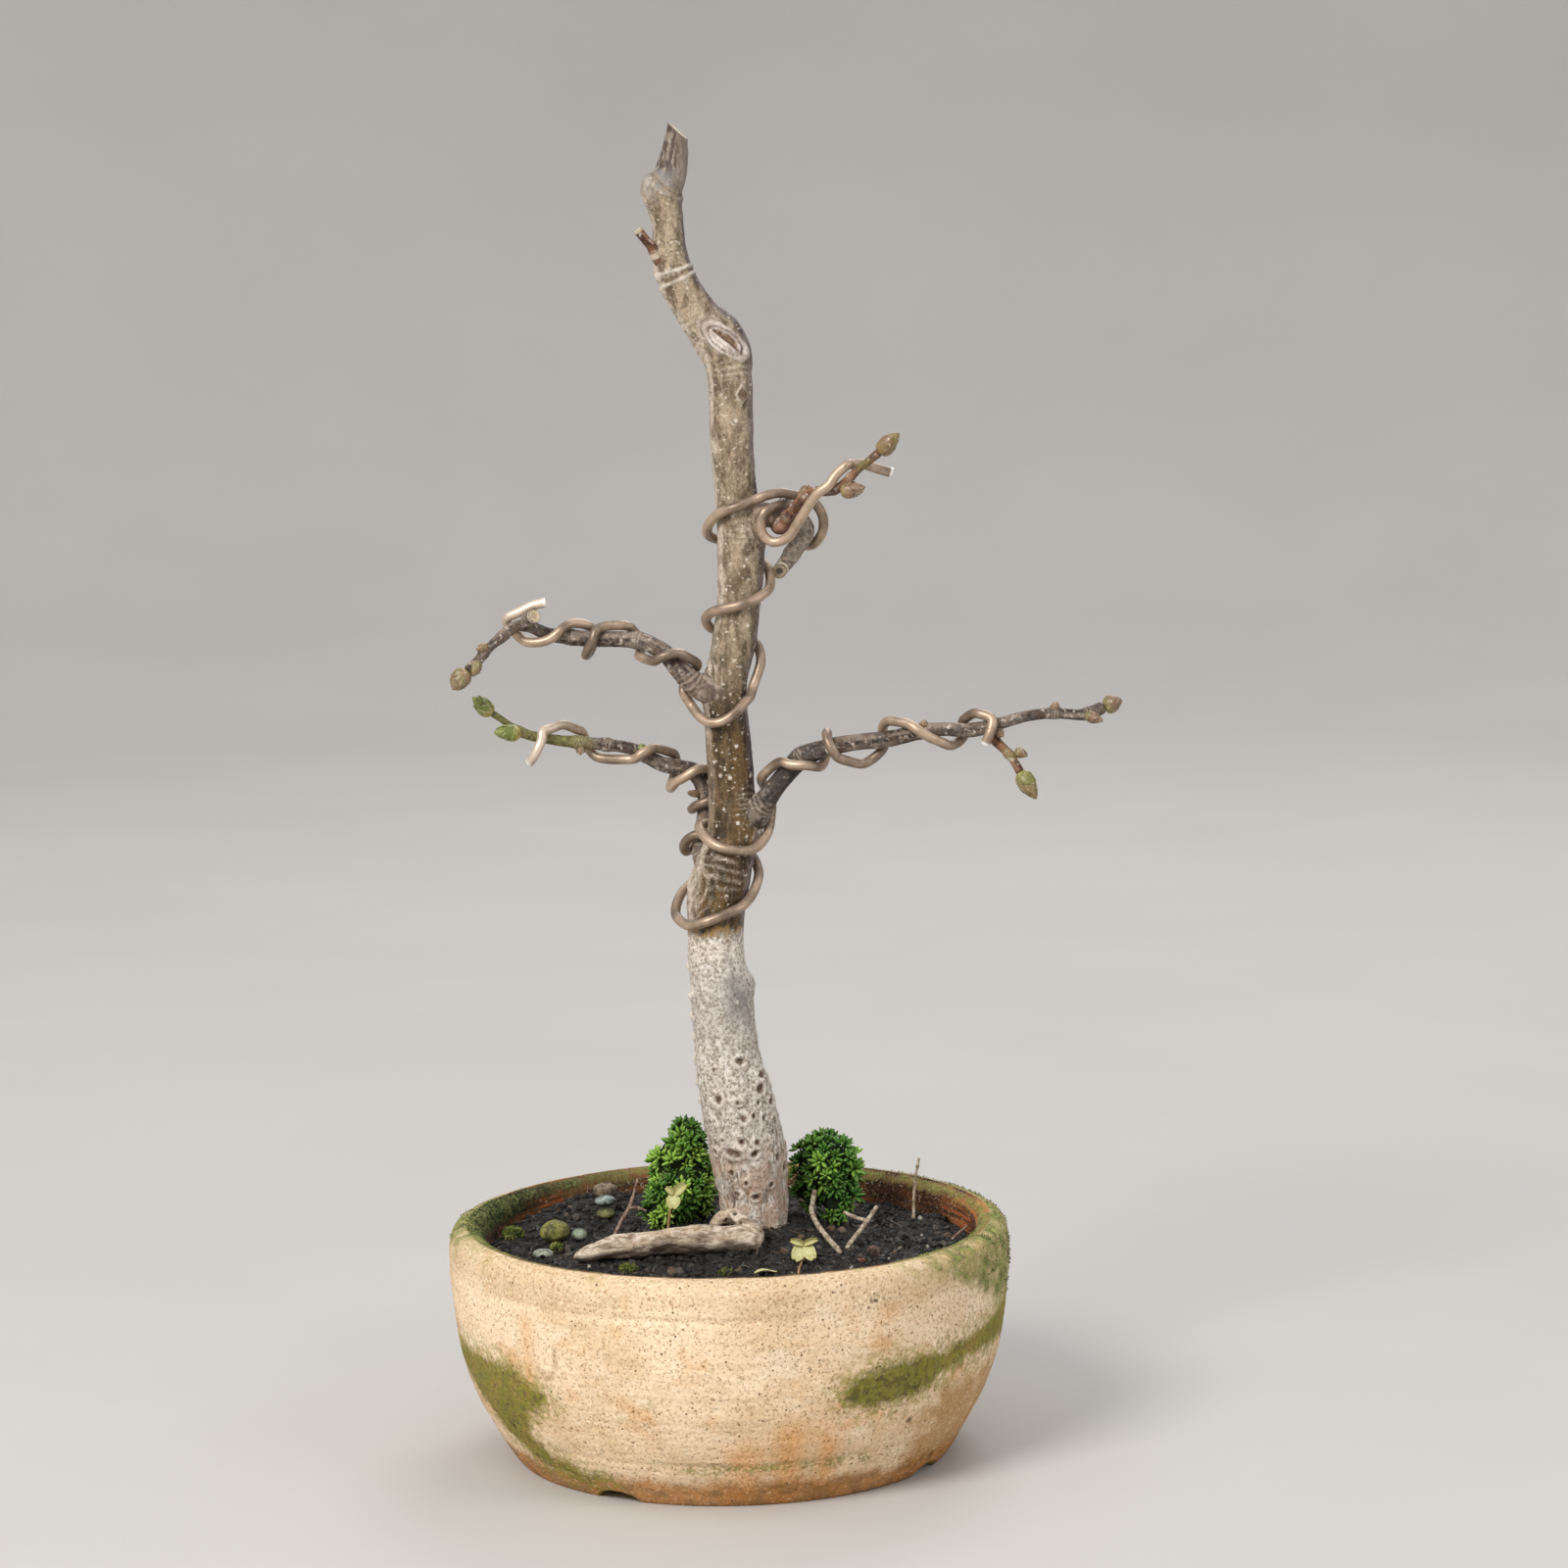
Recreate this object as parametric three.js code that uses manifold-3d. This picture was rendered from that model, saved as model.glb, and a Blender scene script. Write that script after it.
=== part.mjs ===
// Young deciduous bonsai in training, wired, in a round terracotta bowl.
// Millimetres, +Z up. The origin is the centre of the bowl's underside, -Y is the front.

import * as THREE from 'three';
import { mergeVertices } from 'three/addons/utils/BufferGeometryUtils.js';
import Module from 'manifold-3d';

const wasm = await Module();
wasm.setup();

// ---------------------------------------------------------------- driving dimensions

const GAP = 0.3; // running gap between pieces that touch

const POT_HEIGHT = 83.6;
const POT_RIM_RADIUS = 100;
const POT_MOUTH_RADIUS = 88;
const POT_FOOT_RADIUS = 78;
const POT_FLOOR = 9; // thickness of the bowl's floor
const POT_SIDES = 40;
const DRAIN_COUNT = 4;
const DRAIN_RADIUS = 6;
const DRAIN_SIDES = 24;
const DRAIN_CIRCLE = 44; // radius of the circle the drain holes sit on
const DRAIN_FIRST_ANGLE = 60; // degrees from +X
const NOTCH_WIDTH = 16;
const NOTCH_HEIGHT = 3.6;
const NOTCH_OVERRUN = 12; // how far the channel's cut runs past the foot's edge
const SCREEN_RADIUS = 58;
const SCREEN_THICKNESS = 1;
const SCREEN_SIDES = 32;
const SCREEN_PITCH = 5;
const SCREEN_OPENING = 3.5;

const SOIL_SIDES = 30;
const SOIL_LEVEL = 73.6; // at the wall
const SOIL_MOUND = { x: 9, y: 2, height: 10, spread: 22 }; // under the trunk
const SOIL_BANK = { x: -46, y: 52, height: 7, spread: 16 }; // heaped at the back left

const WIRE_RADIUS = 1.75;
const WIRE_ARC_STEPS = 4; // a full circle gets twice as many sides
const WIRE_STEP = 4; // length of one straight facet of the wire
const TURN_STEP = 20; // degrees between the points of a coil

const LIMB_SAMPLES = 800; // how finely the lengths of the centre lines are measured
const WIRE_SAMPLES = 2000;

// ---------------------------------------------------------------- the tree's wood
// Each row is a point of the centre line and the radius there: x, y, z, radius.

const TRUNK = [
  [10, 0, 58, 8], [9.6, 0, 70, 11.6], [9.3, 0, 84, 12], [9.2, 0, 92, 12], [8.3, -0.5, 101, 13.2],
  [6.8, -1, 111, 13.5], [4.9, -1.5, 120, 13.2], [3.1, -2, 129, 12.6], [1.2, -2.5, 138, 11.8],
  [-0.2, -3, 151, 11], [-1, -3, 165, 11], [-2.4, -2.5, 176, 10.1], [-2.8, -2, 184, 9.8],
  [-2.2, -1.5, 196, 10.3], [0.4, -1, 209, 10], [3.6, 0, 222, 8.8], [3.8, 1, 236, 8.1],
  [3, 2, 252, 8], [2.4, 2.5, 264, 7.6], [2.9, 3, 277, 7.2], [5.6, 3.5, 290, 7.8], [7.3, 4, 302, 7.6],
  [8.4, 4, 318, 8.3], [8.7, 3.5, 328, 8.5], [7.2, 3, 342, 7.5], [6.1, 2, 357, 7.5],
  [5.8, 1, 383, 7.9], [4.8, 0.5, 391, 8.8], [1.5, 0, 397, 9], [-4.5, -0.5, 404, 7.2],
  [-9.8, -1, 413, 6.5], [-13, -1, 420, 6.6], [-14.4, -1, 428, 5.8], [-14.8, -0.5, 436, 5.5],
  [-16, 0, 447, 6.6], [-13.6, 0.5, 453, 5.6], [-12, 1, 460, 4.8], [-10.8, 1, 468, 3.8],
];
const ROOTS = [
  [[10, 0, 67, 7], [24, 10, 60, 4.5], [40, 22, 50, 3], [52, 30, 38, 2]],
  [[9, 0, 66, 7], [6, -16, 58, 4.5], [2, -34, 48, 3], [-4, -50, 36, 2]],
  [[8, 0, 67, 7], [-8, 8, 60, 4.5], [-26, 16, 50, 3], [-44, 22, 38, 2]],
  [[10, 0, 65, 7], [26, -8, 56, 4], [44, -12, 44, 3], [56, -14, 34, 2]],
];
const UPPER_LEFT = [
  [1, 1, 272, 4.6], [-4, 0, 273.5, 4.2], [-8.5, -1, 275.5, 3.6], [-13.4, -2, 280.3, 3.2],
  [-19, -1, 286.6, 3.1], [-26, 1, 290.2, 3], [-34, 4, 291, 2.9], [-43, 7, 291, 2.8],
  [-51.5, 9, 291.5, 2.8], [-60, 9, 292.8, 2.4], [-67, 7, 296, 2.2], [-70.5, 5, 296.4, 2],
  [-76, 2, 293, 1.9], [-81, -2, 289, 1.7], [-84.5, -5, 285, 1.6], [-88.3, -8, 281.9, 1.5],
];
const LOWER_LEFT = [
  [-1, 4, 199, 5], [-4, 9, 207, 4.8], [-6.4, 13, 215, 4.2], [-5.8, 16.4, 223, 3.6],
  [-5.2, 18.5, 231, 3.2], [-6.4, 18.8, 237, 3.2], [-9.5, 18.6, 241.6, 3.2], [-14.5, 18.5, 243.2, 3],
  [-21, 19, 244.6, 2.8], [-26, 19, 247.2, 2.5], [-31, 19, 250, 2.2], [-37, 18, 251.6, 2.1],
  [-48, 15, 253.3, 2.2], [-58.5, 12, 254.8, 1.9], [-68, 9, 257.2, 1.7], [-73, 7.5, 259.8, 1.4],
  [-77.5, 5.6, 263.4, 1.2], [-80.6, 4.3, 265.6, 1.3],
];
const RIGHT = [
  [7, 0, 224, 4.4], [11.5, -1, 229, 3.9], [15, -3, 233, 3.5], [21, -5, 241, 3.4], [29, -8, 249.5, 3.8],
  [37.5, -11, 253, 3.2], [47, -14.5, 255.2, 2.9], [59.5, -18, 256.8, 2.9], [69, -20, 259, 2.7],
  [77, -21, 260.2, 2.4], [88, -22, 259.8, 2.5], [98, -22, 262, 2], [107.6, -20, 264.2, 1.9],
  [117, -18, 264.7, 1.9], [126.5, -16, 263.8, 1.9], [130.5, -15.2, 264.5, 2.2], [134.6, -14.4, 266.4, 2.2],
];
const RIGHT_SIDE = [
  [94.4, -21, 261, 1.5], [95, -21.2, 257.8, 1.6], [96.4, -22.2, 255.6, 1.7], [99.2, -25.4, 253, 1.6],
  [102.2, -29, 249.4, 1.5], [104.2, -31, 245.6, 1.6],
];
const TOP_STUB = [
  [9.5, 3, 334, 4], [16, 1, 334.4, 3.4], [23, -0.5, 333.6, 3.1], [29.2, 0, 332.4, 3.1],
  [31.4, 2, 328.8, 3.1], [28, 4.5, 322.4, 3], [22, 7, 314, 2.7],
];
const TOP_SHOOT = [
  [22.4, 0, 331, 2.6], [22.8, -3.6, 331, 2.5], [24.4, -6.4, 332.6, 2.3], [27.4, -8.8, 336.8, 2.1],
  [31.2, -11, 341, 2], [35.4, -12.6, 342.9, 1.9], [39.4, -14, 343.3, 1.8], [42.4, -15.2, 344, 1.7],
  [45.6, -16.5, 346.6, 1.5], [51, -18.5, 351.6, 1.4], [57.2, -20.2, 356.6, 1.5],
];
const SPUR = [[-15, -2, 421, 2], [-20, -6, 427.9, 1.7], [-22.6, -8, 431, 1.5], [-24.9, -9, 434, 1.6]];

// A pruned twig's stump on the upper left branch, in one piece with it.
const UPPER_LEFT_STUMP = [[-69, 5.6, 296, 2.1], [-66.4, 2.4, 298.8, 2.3], [-64.4, -0.2, 300.1, 2.5]];

// Buds: the limb each one stands on, where its foot and its tip are, and its radius.

const BUDS = {
  bud_upper_left_end: ['branch_upper_left', [-88.3, -8, 281.9], [-93.1, -11, 275.7], 3],
  bud_upper_left_side: ['branch_upper_left', [-81, -3, 289.8], [-85, -4.8, 289.3], 1.6],
  bud_upper_left_low: ['branch_upper_left', [-84.4, -6, 284.8], [-86, -8.8, 280], 1.9],
  bud_lower_left_end: ['branch_lower_left', [-80.6, 4.3, 265.6], [-87.1, 2, 271.8], 2.6],
  bud_lower_left_side: ['branch_lower_left', [-71.1, 5.6, 258.2], [-79.9, 1.6, 259.1], 2.7],
  bud_lower_left_elbow: ['branch_lower_left', [-8, 17, 233.8], [-12.4, 14.2, 235], 1.2],
  bud_lower_left_low: ['branch_lower_left', [-49.6, 14.6, 252.2], [-50.2, 12.4, 249.2], 1.5],
  bud_lower_left_top: ['branch_lower_left', [-28.2, 18.8, 248.8], [-28.2, 18.2, 252.4], 1.8],
  bud_right_end: ['branch_right', [134.6, -14.4, 266.4], [141, -13.6, 268.4], 2.9],
  bud_right_low: ['branch_right', [128, -17, 263.8], [133.8, -19.6, 261.8], 1.9],
  bud_right_top: ['branch_right', [116.6, -17.6, 265.4], [117.9, -18, 268.7], 1.7],
  bud_right_mid: ['branch_right', [71.2, -21, 260.6], [71.6, -21.6, 263.8], 1.6],
  bud_right_fork: ['branch_right', [96.6, -23, 259.6], [98.8, -25.6, 257.6], 1.4],
  bud_right_side_end: ['shoot_right', [104.2, -31, 245.6], [109.4, -35, 236.8], 3],
  bud_right_side_low: ['shoot_right', [102.6, -28, 252.8], [107.1, -27, 251], 1.7],
  bud_top_end: ['shoot_top', [57.2, -20.2, 356.6], [64.1, -22, 363.3], 2.9],
  bud_top_side: ['shoot_top', [44, -16.4, 342.9], [52.3, -18.4, 344.7], 2.6],
  bud_top_low: ['shoot_top', [30.9, -9.6, 341.4], [32.8, -7.8, 345.2], 2],
};

// ---------------------------------------------------------------- the training wires
// A stretch wound on a limb lists distance along the limb, angle round it, and lift off the bark.
// A stretch of free points lists x, y, z.

const WIRE_UPPER = [
  { points: [[-60.4, 4, 304.6], [-65.4, 4.5, 303.4], [-69.6, 5, 301.4]] },
  { limb: 'branch_upper_left', turns: [
    [83.2, 120, 0.6], [83.5, 150, 0.2], [82.5, 200, 0.2],
    [76, 275, 1.2], [71, 325, 0.1], [65, 395, 0.1], [61, 445, 0.3], [56.5, 480, 0.3], [55, 560, 0.1],
    [55.5, 640, 1], [52, 715, 0.3], [47.5, 795, 0.1], [43, 815, 0.1], [40, 865, 0.1], [36.5, 940, 0.1],
    [33.5, 995, 0.2], [29, 1012, 0.3], [24.5, 1070, 0.1], [21.5, 1130, 0.1], [17.5, 1160, 0.3],
    [13.5, 1205, 0.8],
  ] },
  { points: [[-11.5, 4.4, 276], [-12.6, 2, 272.4]] },
  { limb: 'trunk', turns: [
    [211.5, -88, 2.9], [207.5, -60, 0.8], [206, -12, 0.3], [212.5, 42, 0.2], [218.5, 78, 0.3],
    [229, 96, 1.1], [233, 118, 0.3], [236, 190, 0.1], [238.5, 255, 0.7], [241, 274, 1.2],
    [244.5, 308, 0.2], [246.5, 345, 0.1], [249, 385, 0.1], [251.5, 415, 0.1], [254.5, 448, 0.7],
    [259, 470, 0.5], [263.5, 520, 0.1], [268.5, 580, 0.1], [273, 626, 1.4], [276.5, 642, 1.2],
    [280.5, 672, 0.1], [282.5, 715, 0.4], [284, 752, 0.4],
  ] },
  { points: [
    [19.4, -4.6, 341.8], [23.2, -3.6, 342.2], [27, -3, 341.4], [31, -2, 340.4], [35.4, 0, 337.4],
    [37.6, 1.2, 332.8], [37.2, 3, 327.6], [33.6, 7, 323], [28.8, 10, 323.4], [26.4, 9.6, 327],
    [25.6, 8, 332], [25.4, 5.8, 336.8], [24.6, 1.4, 339.2], [22.6, -3.6, 338], [19.8, -6.4, 337.2],
    [17, -7.6, 335.6], [15.8, -7.4, 332.6], [15.9, -6.8, 329.4], [17.2, -6.4, 326.8], [19.8, -6.8, 325.3],
    [23.2, -8, 325.8], [26.1, -9.8, 328], [27.9, -11.6, 331],
  ] },
  { limb: 'shoot_top', turns: [
    [23.5, 24, 0.2], [29, -22, 0.1], [35, -76, 0.6], [40.5, -112, 0.5],
  ] },
  { points: [
    [47.7, -15.2, 352.2], [51.2, -14.2, 352.4], [54.4, -13.2, 351.3], [57.8, -12.6, 350.2],
    [61.8, -12.4, 349],
  ] },
];

const WIRE_LOWER = [
  { limb: 'branch_lower_left', turns: [
    [108, -76, 5.6], [106.5, -10, 0.2], [103.5, 68, 0.3], [98.5, 88, 1.8], [93.5, 104, 0.6],
    [89.5, 150, 0.1], [87, 215, 0.1], [81, 272, 1], [74, 297, 0.3], [67.5, 385, 0.1], [63.5, 440, 0.1],
    [58.5, 464, 0.1], [56, 510, 0.1], [55.5, 570, 0.6], [56, 622, 3], [53.5, 668, 0.8], [49, 725, 0.1],
    [47, 765, 0.1], [43, 830, 0.1], [38.5, 890, 0.1], [34.5, 945, 0.1], [33, 1000, 0.1],
    [35, 1050, 0.1], [36.5, 1105, 0.1], [34, 1165, 0.1], [28.5, 1230, 0.1], [22, 1290, 0.3],
    [19.4, 1330, 1], [20.4, 1362, 1.1], [22.2, 1410, 0.2], [21.6, 1462, 0.1],
  ] },
  { points: [
    [-1.2, 10, 216.4], [1.4, 14, 213.4], [0.8, 18.4, 209.4], [-4.8, 18.2, 205.2],
    [-11.4, 13.2, 202.2], [-15.2, 6, 199.2],
  ] },
  { limb: 'trunk', turns: [
    [136, -92, 2.2], [133, -50, 0.3], [135, -15, 0.3], [138.5, 20, 0.1], [142.5, 50, 0.1],
    [147.5, 78, 0.1], [153, 96, 0.7], [159, 128, 0.3], [163, 170, 0.1], [166.5, 205, 0.1],
    [168.5, 232, 0.3], [167.5, 266, 1], [163, 304, 0.2], [160.5, 345, 0.4], [161, 380, 0.3],
    [163.5, 422, 0.2], [167, 446, 1.8],
  ] },
  { points: [[17.4, 1.4, 227.4], [17.6, 4.4, 232.6], [15.4, 4.4, 237.8], [14.4, 0.4, 240.6]] },
  { limb: 'branch_right', turns: [
    [20.5, 268, 0.4], [25.5, 285, 0.1], [32.5, 355, 0.1], [38, 400, 0.1], [41, 490, 0.1],
    [45.5, 605, 0.1], [48.5, 725, 0.1], [51.5, 785, 1], [57, 808, 2.8], [62.5, 838, 0.9],
    [64.5, 900, 0.2], [65, 945, 0.2], [69, 985, 1.2], [73.5, 1006, 0.3], [79, 1064, 0.1],
    [85, 1134, 0.1], [90, 1172, 1.2], [94, 1222, 0.1], [94.5, 1312, 0.1], [99, 1345, 1.2],
    [103.5, 1378, 0.2], [103.3, 1450, 0.4], [100.6, 1490, 2.2],
  ] },
];

// ---------------------------------------------------------------- what lies on the soil
// Stones and crumbs: centre, half sizes, turn about Z in degrees.

const STONES = [
  ['pebble_olive', [-63, 9, 77], [5.4, 4.6, 4.2], 20, 0x8a8a3c],
  ['pebble_grey', [-54.2, 9, 75.7], [2.8, 2.5, 2.4], 0, 0x9aa392],
  ['pebble_pale', [-66, -16, 74.9], [3.8, 3, 1.9], 10, 0xc9c9bb],
  ['pebble_yellow', [-45.4, 31, 78.4], [3.5, 2.9, 2.1], -15, 0x9c9a4e],
  ['pebble_glassy', [-45.6, 33, 82.7], [3.8, 3.2, 2], 15, 0x8fa39b],
  ['bark_block', [-46.2, 51, 82.6], [4.2, 3, 2.5], 25, 0x8a6a52],
  ['moss_lump', [-78.2, 15, 75.3], [3.6, 3.2, 2.2], 0, 0x5d6b2e],
  ['moss_bead', [-61.6, -5, 74.7], [2, 1.8, 1.4], 0, 0x6b7a33],
  ['moss_front', [-1, -47, 74.2], [3, 2, 1.3], 12, 0x3f4d26],
  ['moss_front_left', [-35, -38, 74.3], [3.2, 2.2, 1.3], -20, 0x3f4d26],
  ['bark_crumb', [51.2, -24, 75.6], [2.2, 1.9, 2.1], 30, 0x6d4a3a],
  ['red_crumb', [46.2, -33, 74.3], [1.6, 1.2, 1], 0, 0x8c4532],
];
const CLUMPS = {
  leafy_clump_left: [
    [[-17, 14, 92], [13, 11.5, 15]], [[-15, 15.5, 106.5], [9.5, 9, 12]],
    [[-22.5, 12, 84], [10, 9, 9]], [[-10, 13.5, 85.5], [7, 7.5, 8]],
  ],
  leafy_clump_right: [
    [[34, 18, 97], [12.5, 10.5, 14.5]], [[38.5, 17, 86], [9, 8.5, 10]],
    [[28.5, 18.5, 92], [7.5, 7.5, 11]], [[43, 18, 97], [5.6, 6, 8]],
  ],
};
const SURFACE_ROOT_NECK = [
  [-5, -11.5, 80, 2.2], [-4, -14.2, 84.6, 2.4], [0.5, -16.4, 87, 2.6], [5, -19.4, 85, 3.1],
  [8.6, -24, 81, 3.9], [9.2, -26, 79.6, 3.4],
];
const SURFACE_ROOT_BODY = [
  [11.4, -26, 79.4, 3], [8, -26, 80.2, 4.1], [-1, -25.6, 80.8, 4.6], [-15, -25.4, 80.6, 4.5],
  [-28, -25, 79.8, 4.2], [-39, -24.6, 78.4, 3.6], [-48, -24, 76.6, 2.7], [-54.5, -23.6, 75.2, 1.3],
];
const STEMS = {
  clump_stem: [[
    [30, 3.5, 87.4, 0.85], [29.6, -2, 85.6, 0.85], [31.4, -9, 82.4, 0.9], [35, -15, 78.6, 0.9],
    [39, -22, 75.2, 1], [40, -24, 73, 0.9],
  ]],
  twig_forked: [
    [[52.8, -2, 86.6, 0.7], [47.6, -10, 81.2, 0.9], [42, -19, 76, 0.9], [40.8, -21, 73, 0.9]],
    [[41.2, -2.4, 85, 0.6], [44.6, -5, 83.8, 0.7], [49.2, -7.4, 82.9, 0.6]],
  ],
  stalk_back: [[[69.2, 34, 96.4, 0.4], [67.4, 33, 86, 0.5], [66.8, 31, 72, 0.55]]],
  stalk_red: [
    [[-32.4, -0.5, 98, 0.4], [-35, -5, 90, 0.55], [-40, -13, 81.6, 0.6], [-42.6, -18, 72, 0.6]],
    [[-29.4, -5.4, 87.4, 0.4], [-33, -6, 88.8, 0.45], [-36, -6, 88.6, 0.4]],
  ],
  rootlet: [[[79, 3, 72.4, 0.5], [82.6, 4, 75.6, 0.5], [84.9, 8, 76.2, 0.4], [85.4, 12, 76, 0.4]]],
};
const SPRIGS = {
  clover_front: {
    stalk: [[24.2, -52, 72, 0.5], [24.6, -47, 77, 0.5], [26.4, -37, 81.6, 0.5]],
    leaflets: [[-2.4, -0.4, -1.6], [2.5, -0.4, -1.4], [0, 0.4, 2.2]],
    size: [2.9, 0.9, 2.9],
  },
  clover_left: {
    stalk: [[-22, -4, 74, 0.5], [-21.4, -3, 84, 0.5], [-19.4, -1, 92.4, 0.5]],
    leaflets: [[1.6, -0.2, 1.6], [-1.4, -0.3, -1.9], [-1.6, 0.3, 1.5]],
    size: [2.5, 0.9, 2.4],
  },
};
const FALLEN_LEAF = [[13.3, -49, 74.6], [4.4, 2.6, 0.7]];

// ---------------------------------------------------------------- solids

const RADIANS = Math.PI / 180;

/** A closed geometry as a manifold solid. */
function solid(geometry) {
  const bare = geometry.index ? geometry : geometry.clone();
  bare.deleteAttribute('normal');
  bare.deleteAttribute('uv');
  const welded = mergeVertices(bare, 1e-4);
  const mesh = new wasm.Mesh({
    numProp: 3,
    vertProperties: new Float32Array(welded.attributes.position.array),
    triVerts: new Uint32Array(welded.index.array),
  });
  return new wasm.Manifold(mesh);
}

/** A manifold solid back as a geometry. */
function geometryOf(body) {
  const mesh = body.getMesh();
  const geometry = new THREE.BufferGeometry();
  geometry.setAttribute('position', new THREE.BufferAttribute(new Float32Array(mesh.vertProperties), 3));
  geometry.setIndex(new THREE.BufferAttribute(new Uint32Array(mesh.triVerts), 1));
  return geometry;
}

const joined = (bodies) => bodies.reduce((sum, body) => sum.add(body));

/** A tapering limb: a smooth centre line with a radius along it. */
class Limb {
  constructor(rows) {
    this.rows = rows;
    const points = rows.map(([x, y, z]) => new THREE.Vector3(x, y, z));
    this.curve = new THREE.CatmullRomCurve3(points, false, 'centripetal');
    this.curve.arcLengthDivisions = LIMB_SAMPLES;
    this.length = this.curve.getLength();
  }

  /** Centre, direction, radius, and the front and side directions at a distance along the limb. */
  at(distance) {
    const share = THREE.MathUtils.clamp(distance / this.length, 0, 1);
    const t = this.curve.getUtoTmapping(share);
    const along = this.curve.getTangent(t);
    const row = Math.min(Math.floor(t * (this.rows.length - 1)), this.rows.length - 2);
    const part = t * (this.rows.length - 1) - row;
    const front = new THREE.Vector3(0, -1, 0);
    front.addScaledVector(along, -front.dot(along)).normalize();
    return {
      centre: this.curve.getPoint(t),
      along,
      radius: THREE.MathUtils.lerp(this.rows[row][3], this.rows[row + 1][3], part),
      front,
      side: along.clone().cross(front),
    };
  }

  /** The direction square to the limb at an angle round it: 0 is the front. */
  outward(place, degrees) {
    const angle = degrees * RADIANS;
    return new THREE.Vector3()
      .addScaledVector(place.front, Math.cos(angle))
      .addScaledVector(place.side, Math.sin(angle));
  }

  /** The limb's closed surface, grown outwards by a margin. */
  geometry(sides, step, grow = 0) {
    const rings = Math.max(2, Math.ceil(this.length / step));
    const positions = [];
    for (let ring = 0; ring <= rings; ring += 1) {
      const place = this.at((this.length * ring) / rings);
      const overrun = ring === 0 ? -grow : ring === rings ? grow : 0;
      place.centre.addScaledVector(place.along, overrun);
      for (let side = 0; side < sides; side += 1) {
        const out = this.outward(place, (360 * side) / sides);
        positions.push(...place.centre.clone().addScaledVector(out, place.radius + grow).toArray());
      }
    }
    return sweptGeometry(positions, rings, sides);
  }
}

/** Rings of points joined into a closed skin, with a fan over each end. */
function sweptGeometry(positions, rings, sides) {
  const index = [];
  for (let ring = 0; ring < rings; ring += 1) {
    for (let side = 0; side < sides; side += 1) {
      const next = (side + 1) % sides;
      const a = ring * sides + side;
      const b = ring * sides + next;
      index.push(a, b, b + sides, a, b + sides, a + sides);
    }
  }
  const last = rings * sides;
  for (let side = 1; side < sides - 1; side += 1) {
    index.push(0, side + 1, side);
    index.push(last, last + side, last + side + 1);
  }
  const geometry = new THREE.BufferGeometry();
  geometry.setAttribute('position', new THREE.Float32BufferAttribute(positions, 3));
  geometry.setIndex(index);
  return geometry;
}

/** An egg-shaped lump. */
function lumpGeometry([x, y, z], [a, b, c], turn = 0, grow = 0) {
  const geometry = new THREE.IcosahedronGeometry(1, 1);
  geometry.scale(a + grow, b + grow, c + grow);
  geometry.rotateZ(turn * RADIANS);
  geometry.translate(x, y, z);
  return geometry;
}

// ---------------------------------------------------------------- the bowl

/** Half section of the bowl, from the middle of its underside round to the middle of its floor. */
function potProfile() {
  const outer = [
    [POT_FOOT_RADIUS - 0.6, 0], [POT_FOOT_RADIUS, 0.8], [81.4, 6], [86, 14], [91.2, 24], [95.6, 36],
    [98.2, 50], [99.6, 64], [POT_RIM_RADIUS, 74], [99.4, 79.6], [97.8, 82.2],
  ];
  const rim = [[95, 83.4], [93, POT_HEIGHT], [90.8, 83.2], [89, 81.8], [POT_MOUTH_RADIUS, 79.4]];
  const inner = [[87.6, 70], [86.4, 54], [83, 38], [78, 24], [71, 13], [66, POT_FLOOR]];
  const points = [[0, 0], ...outer, ...rim, ...inner, [0, POT_FLOOR]];
  return points.map(([radius, height]) => new THREE.Vector2(radius, height));
}

function lathe(points, sides) {
  const geometry = new THREE.LatheGeometry(points, sides);
  geometry.rotateX(Math.PI / 2);
  return geometry;
}

/** A drain hole and the channel that leads from it, across the underside, to the foot's edge. */
function drainCut(angle) {
  const hole = new THREE.CylinderGeometry(DRAIN_RADIUS, DRAIN_RADIUS, 3 * POT_FLOOR, DRAIN_SIDES);
  hole.rotateX(Math.PI / 2);
  hole.translate(DRAIN_CIRCLE, 0, 0);
  const reach = POT_FOOT_RADIUS + NOTCH_OVERRUN - DRAIN_CIRCLE;
  const channel = new THREE.BoxGeometry(reach, NOTCH_WIDTH, 2 * NOTCH_HEIGHT);
  channel.translate(DRAIN_CIRCLE + reach / 2, 0, 0);
  const cut = solid(hole).add(solid(channel));
  return cut.rotate([0, 0, angle]);
}

const drainAngles = [];
for (let i = 0; i < DRAIN_COUNT; i += 1) {
  drainAngles.push(DRAIN_FIRST_ANGLE + (360 * i) / DRAIN_COUNT);
}

function potGeometry() {
  const bowl = solid(lathe(potProfile(), POT_SIDES));
  return geometryOf(bowl.subtract(joined(drainAngles.map(drainCut))));
}

/** Round of plastic mesh on the bowl's floor, open over each drain hole. */
function drainScreenGeometry() {
  const disc = new THREE.CylinderGeometry(SCREEN_RADIUS, SCREEN_RADIUS, SCREEN_THICKNESS, SCREEN_SIDES);
  disc.rotateX(Math.PI / 2);
  const openings = drainAngles.map((angle) => joined(meshOpenings()).rotate([0, 0, angle]));
  const screen = solid(disc).subtract(joined(openings));
  return geometryOf(screen.translate([0, 0, POT_FLOOR + GAP + SCREEN_THICKNESS / 2]));
}

/** Four square openings over a drain hole on the X axis. */
function meshOpenings() {
  const openings = [];
  for (const i of [-0.5, 0.5]) {
    for (const j of [-0.5, 0.5]) {
      const opening = new THREE.BoxGeometry(SCREEN_OPENING, SCREEN_OPENING, 3 * SCREEN_THICKNESS);
      opening.translate(DRAIN_CIRCLE + i * SCREEN_PITCH, j * SCREEN_PITCH, 0);
      openings.push(solid(opening));
    }
  }
  return openings;
}

// ---------------------------------------------------------------- the soil

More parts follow.
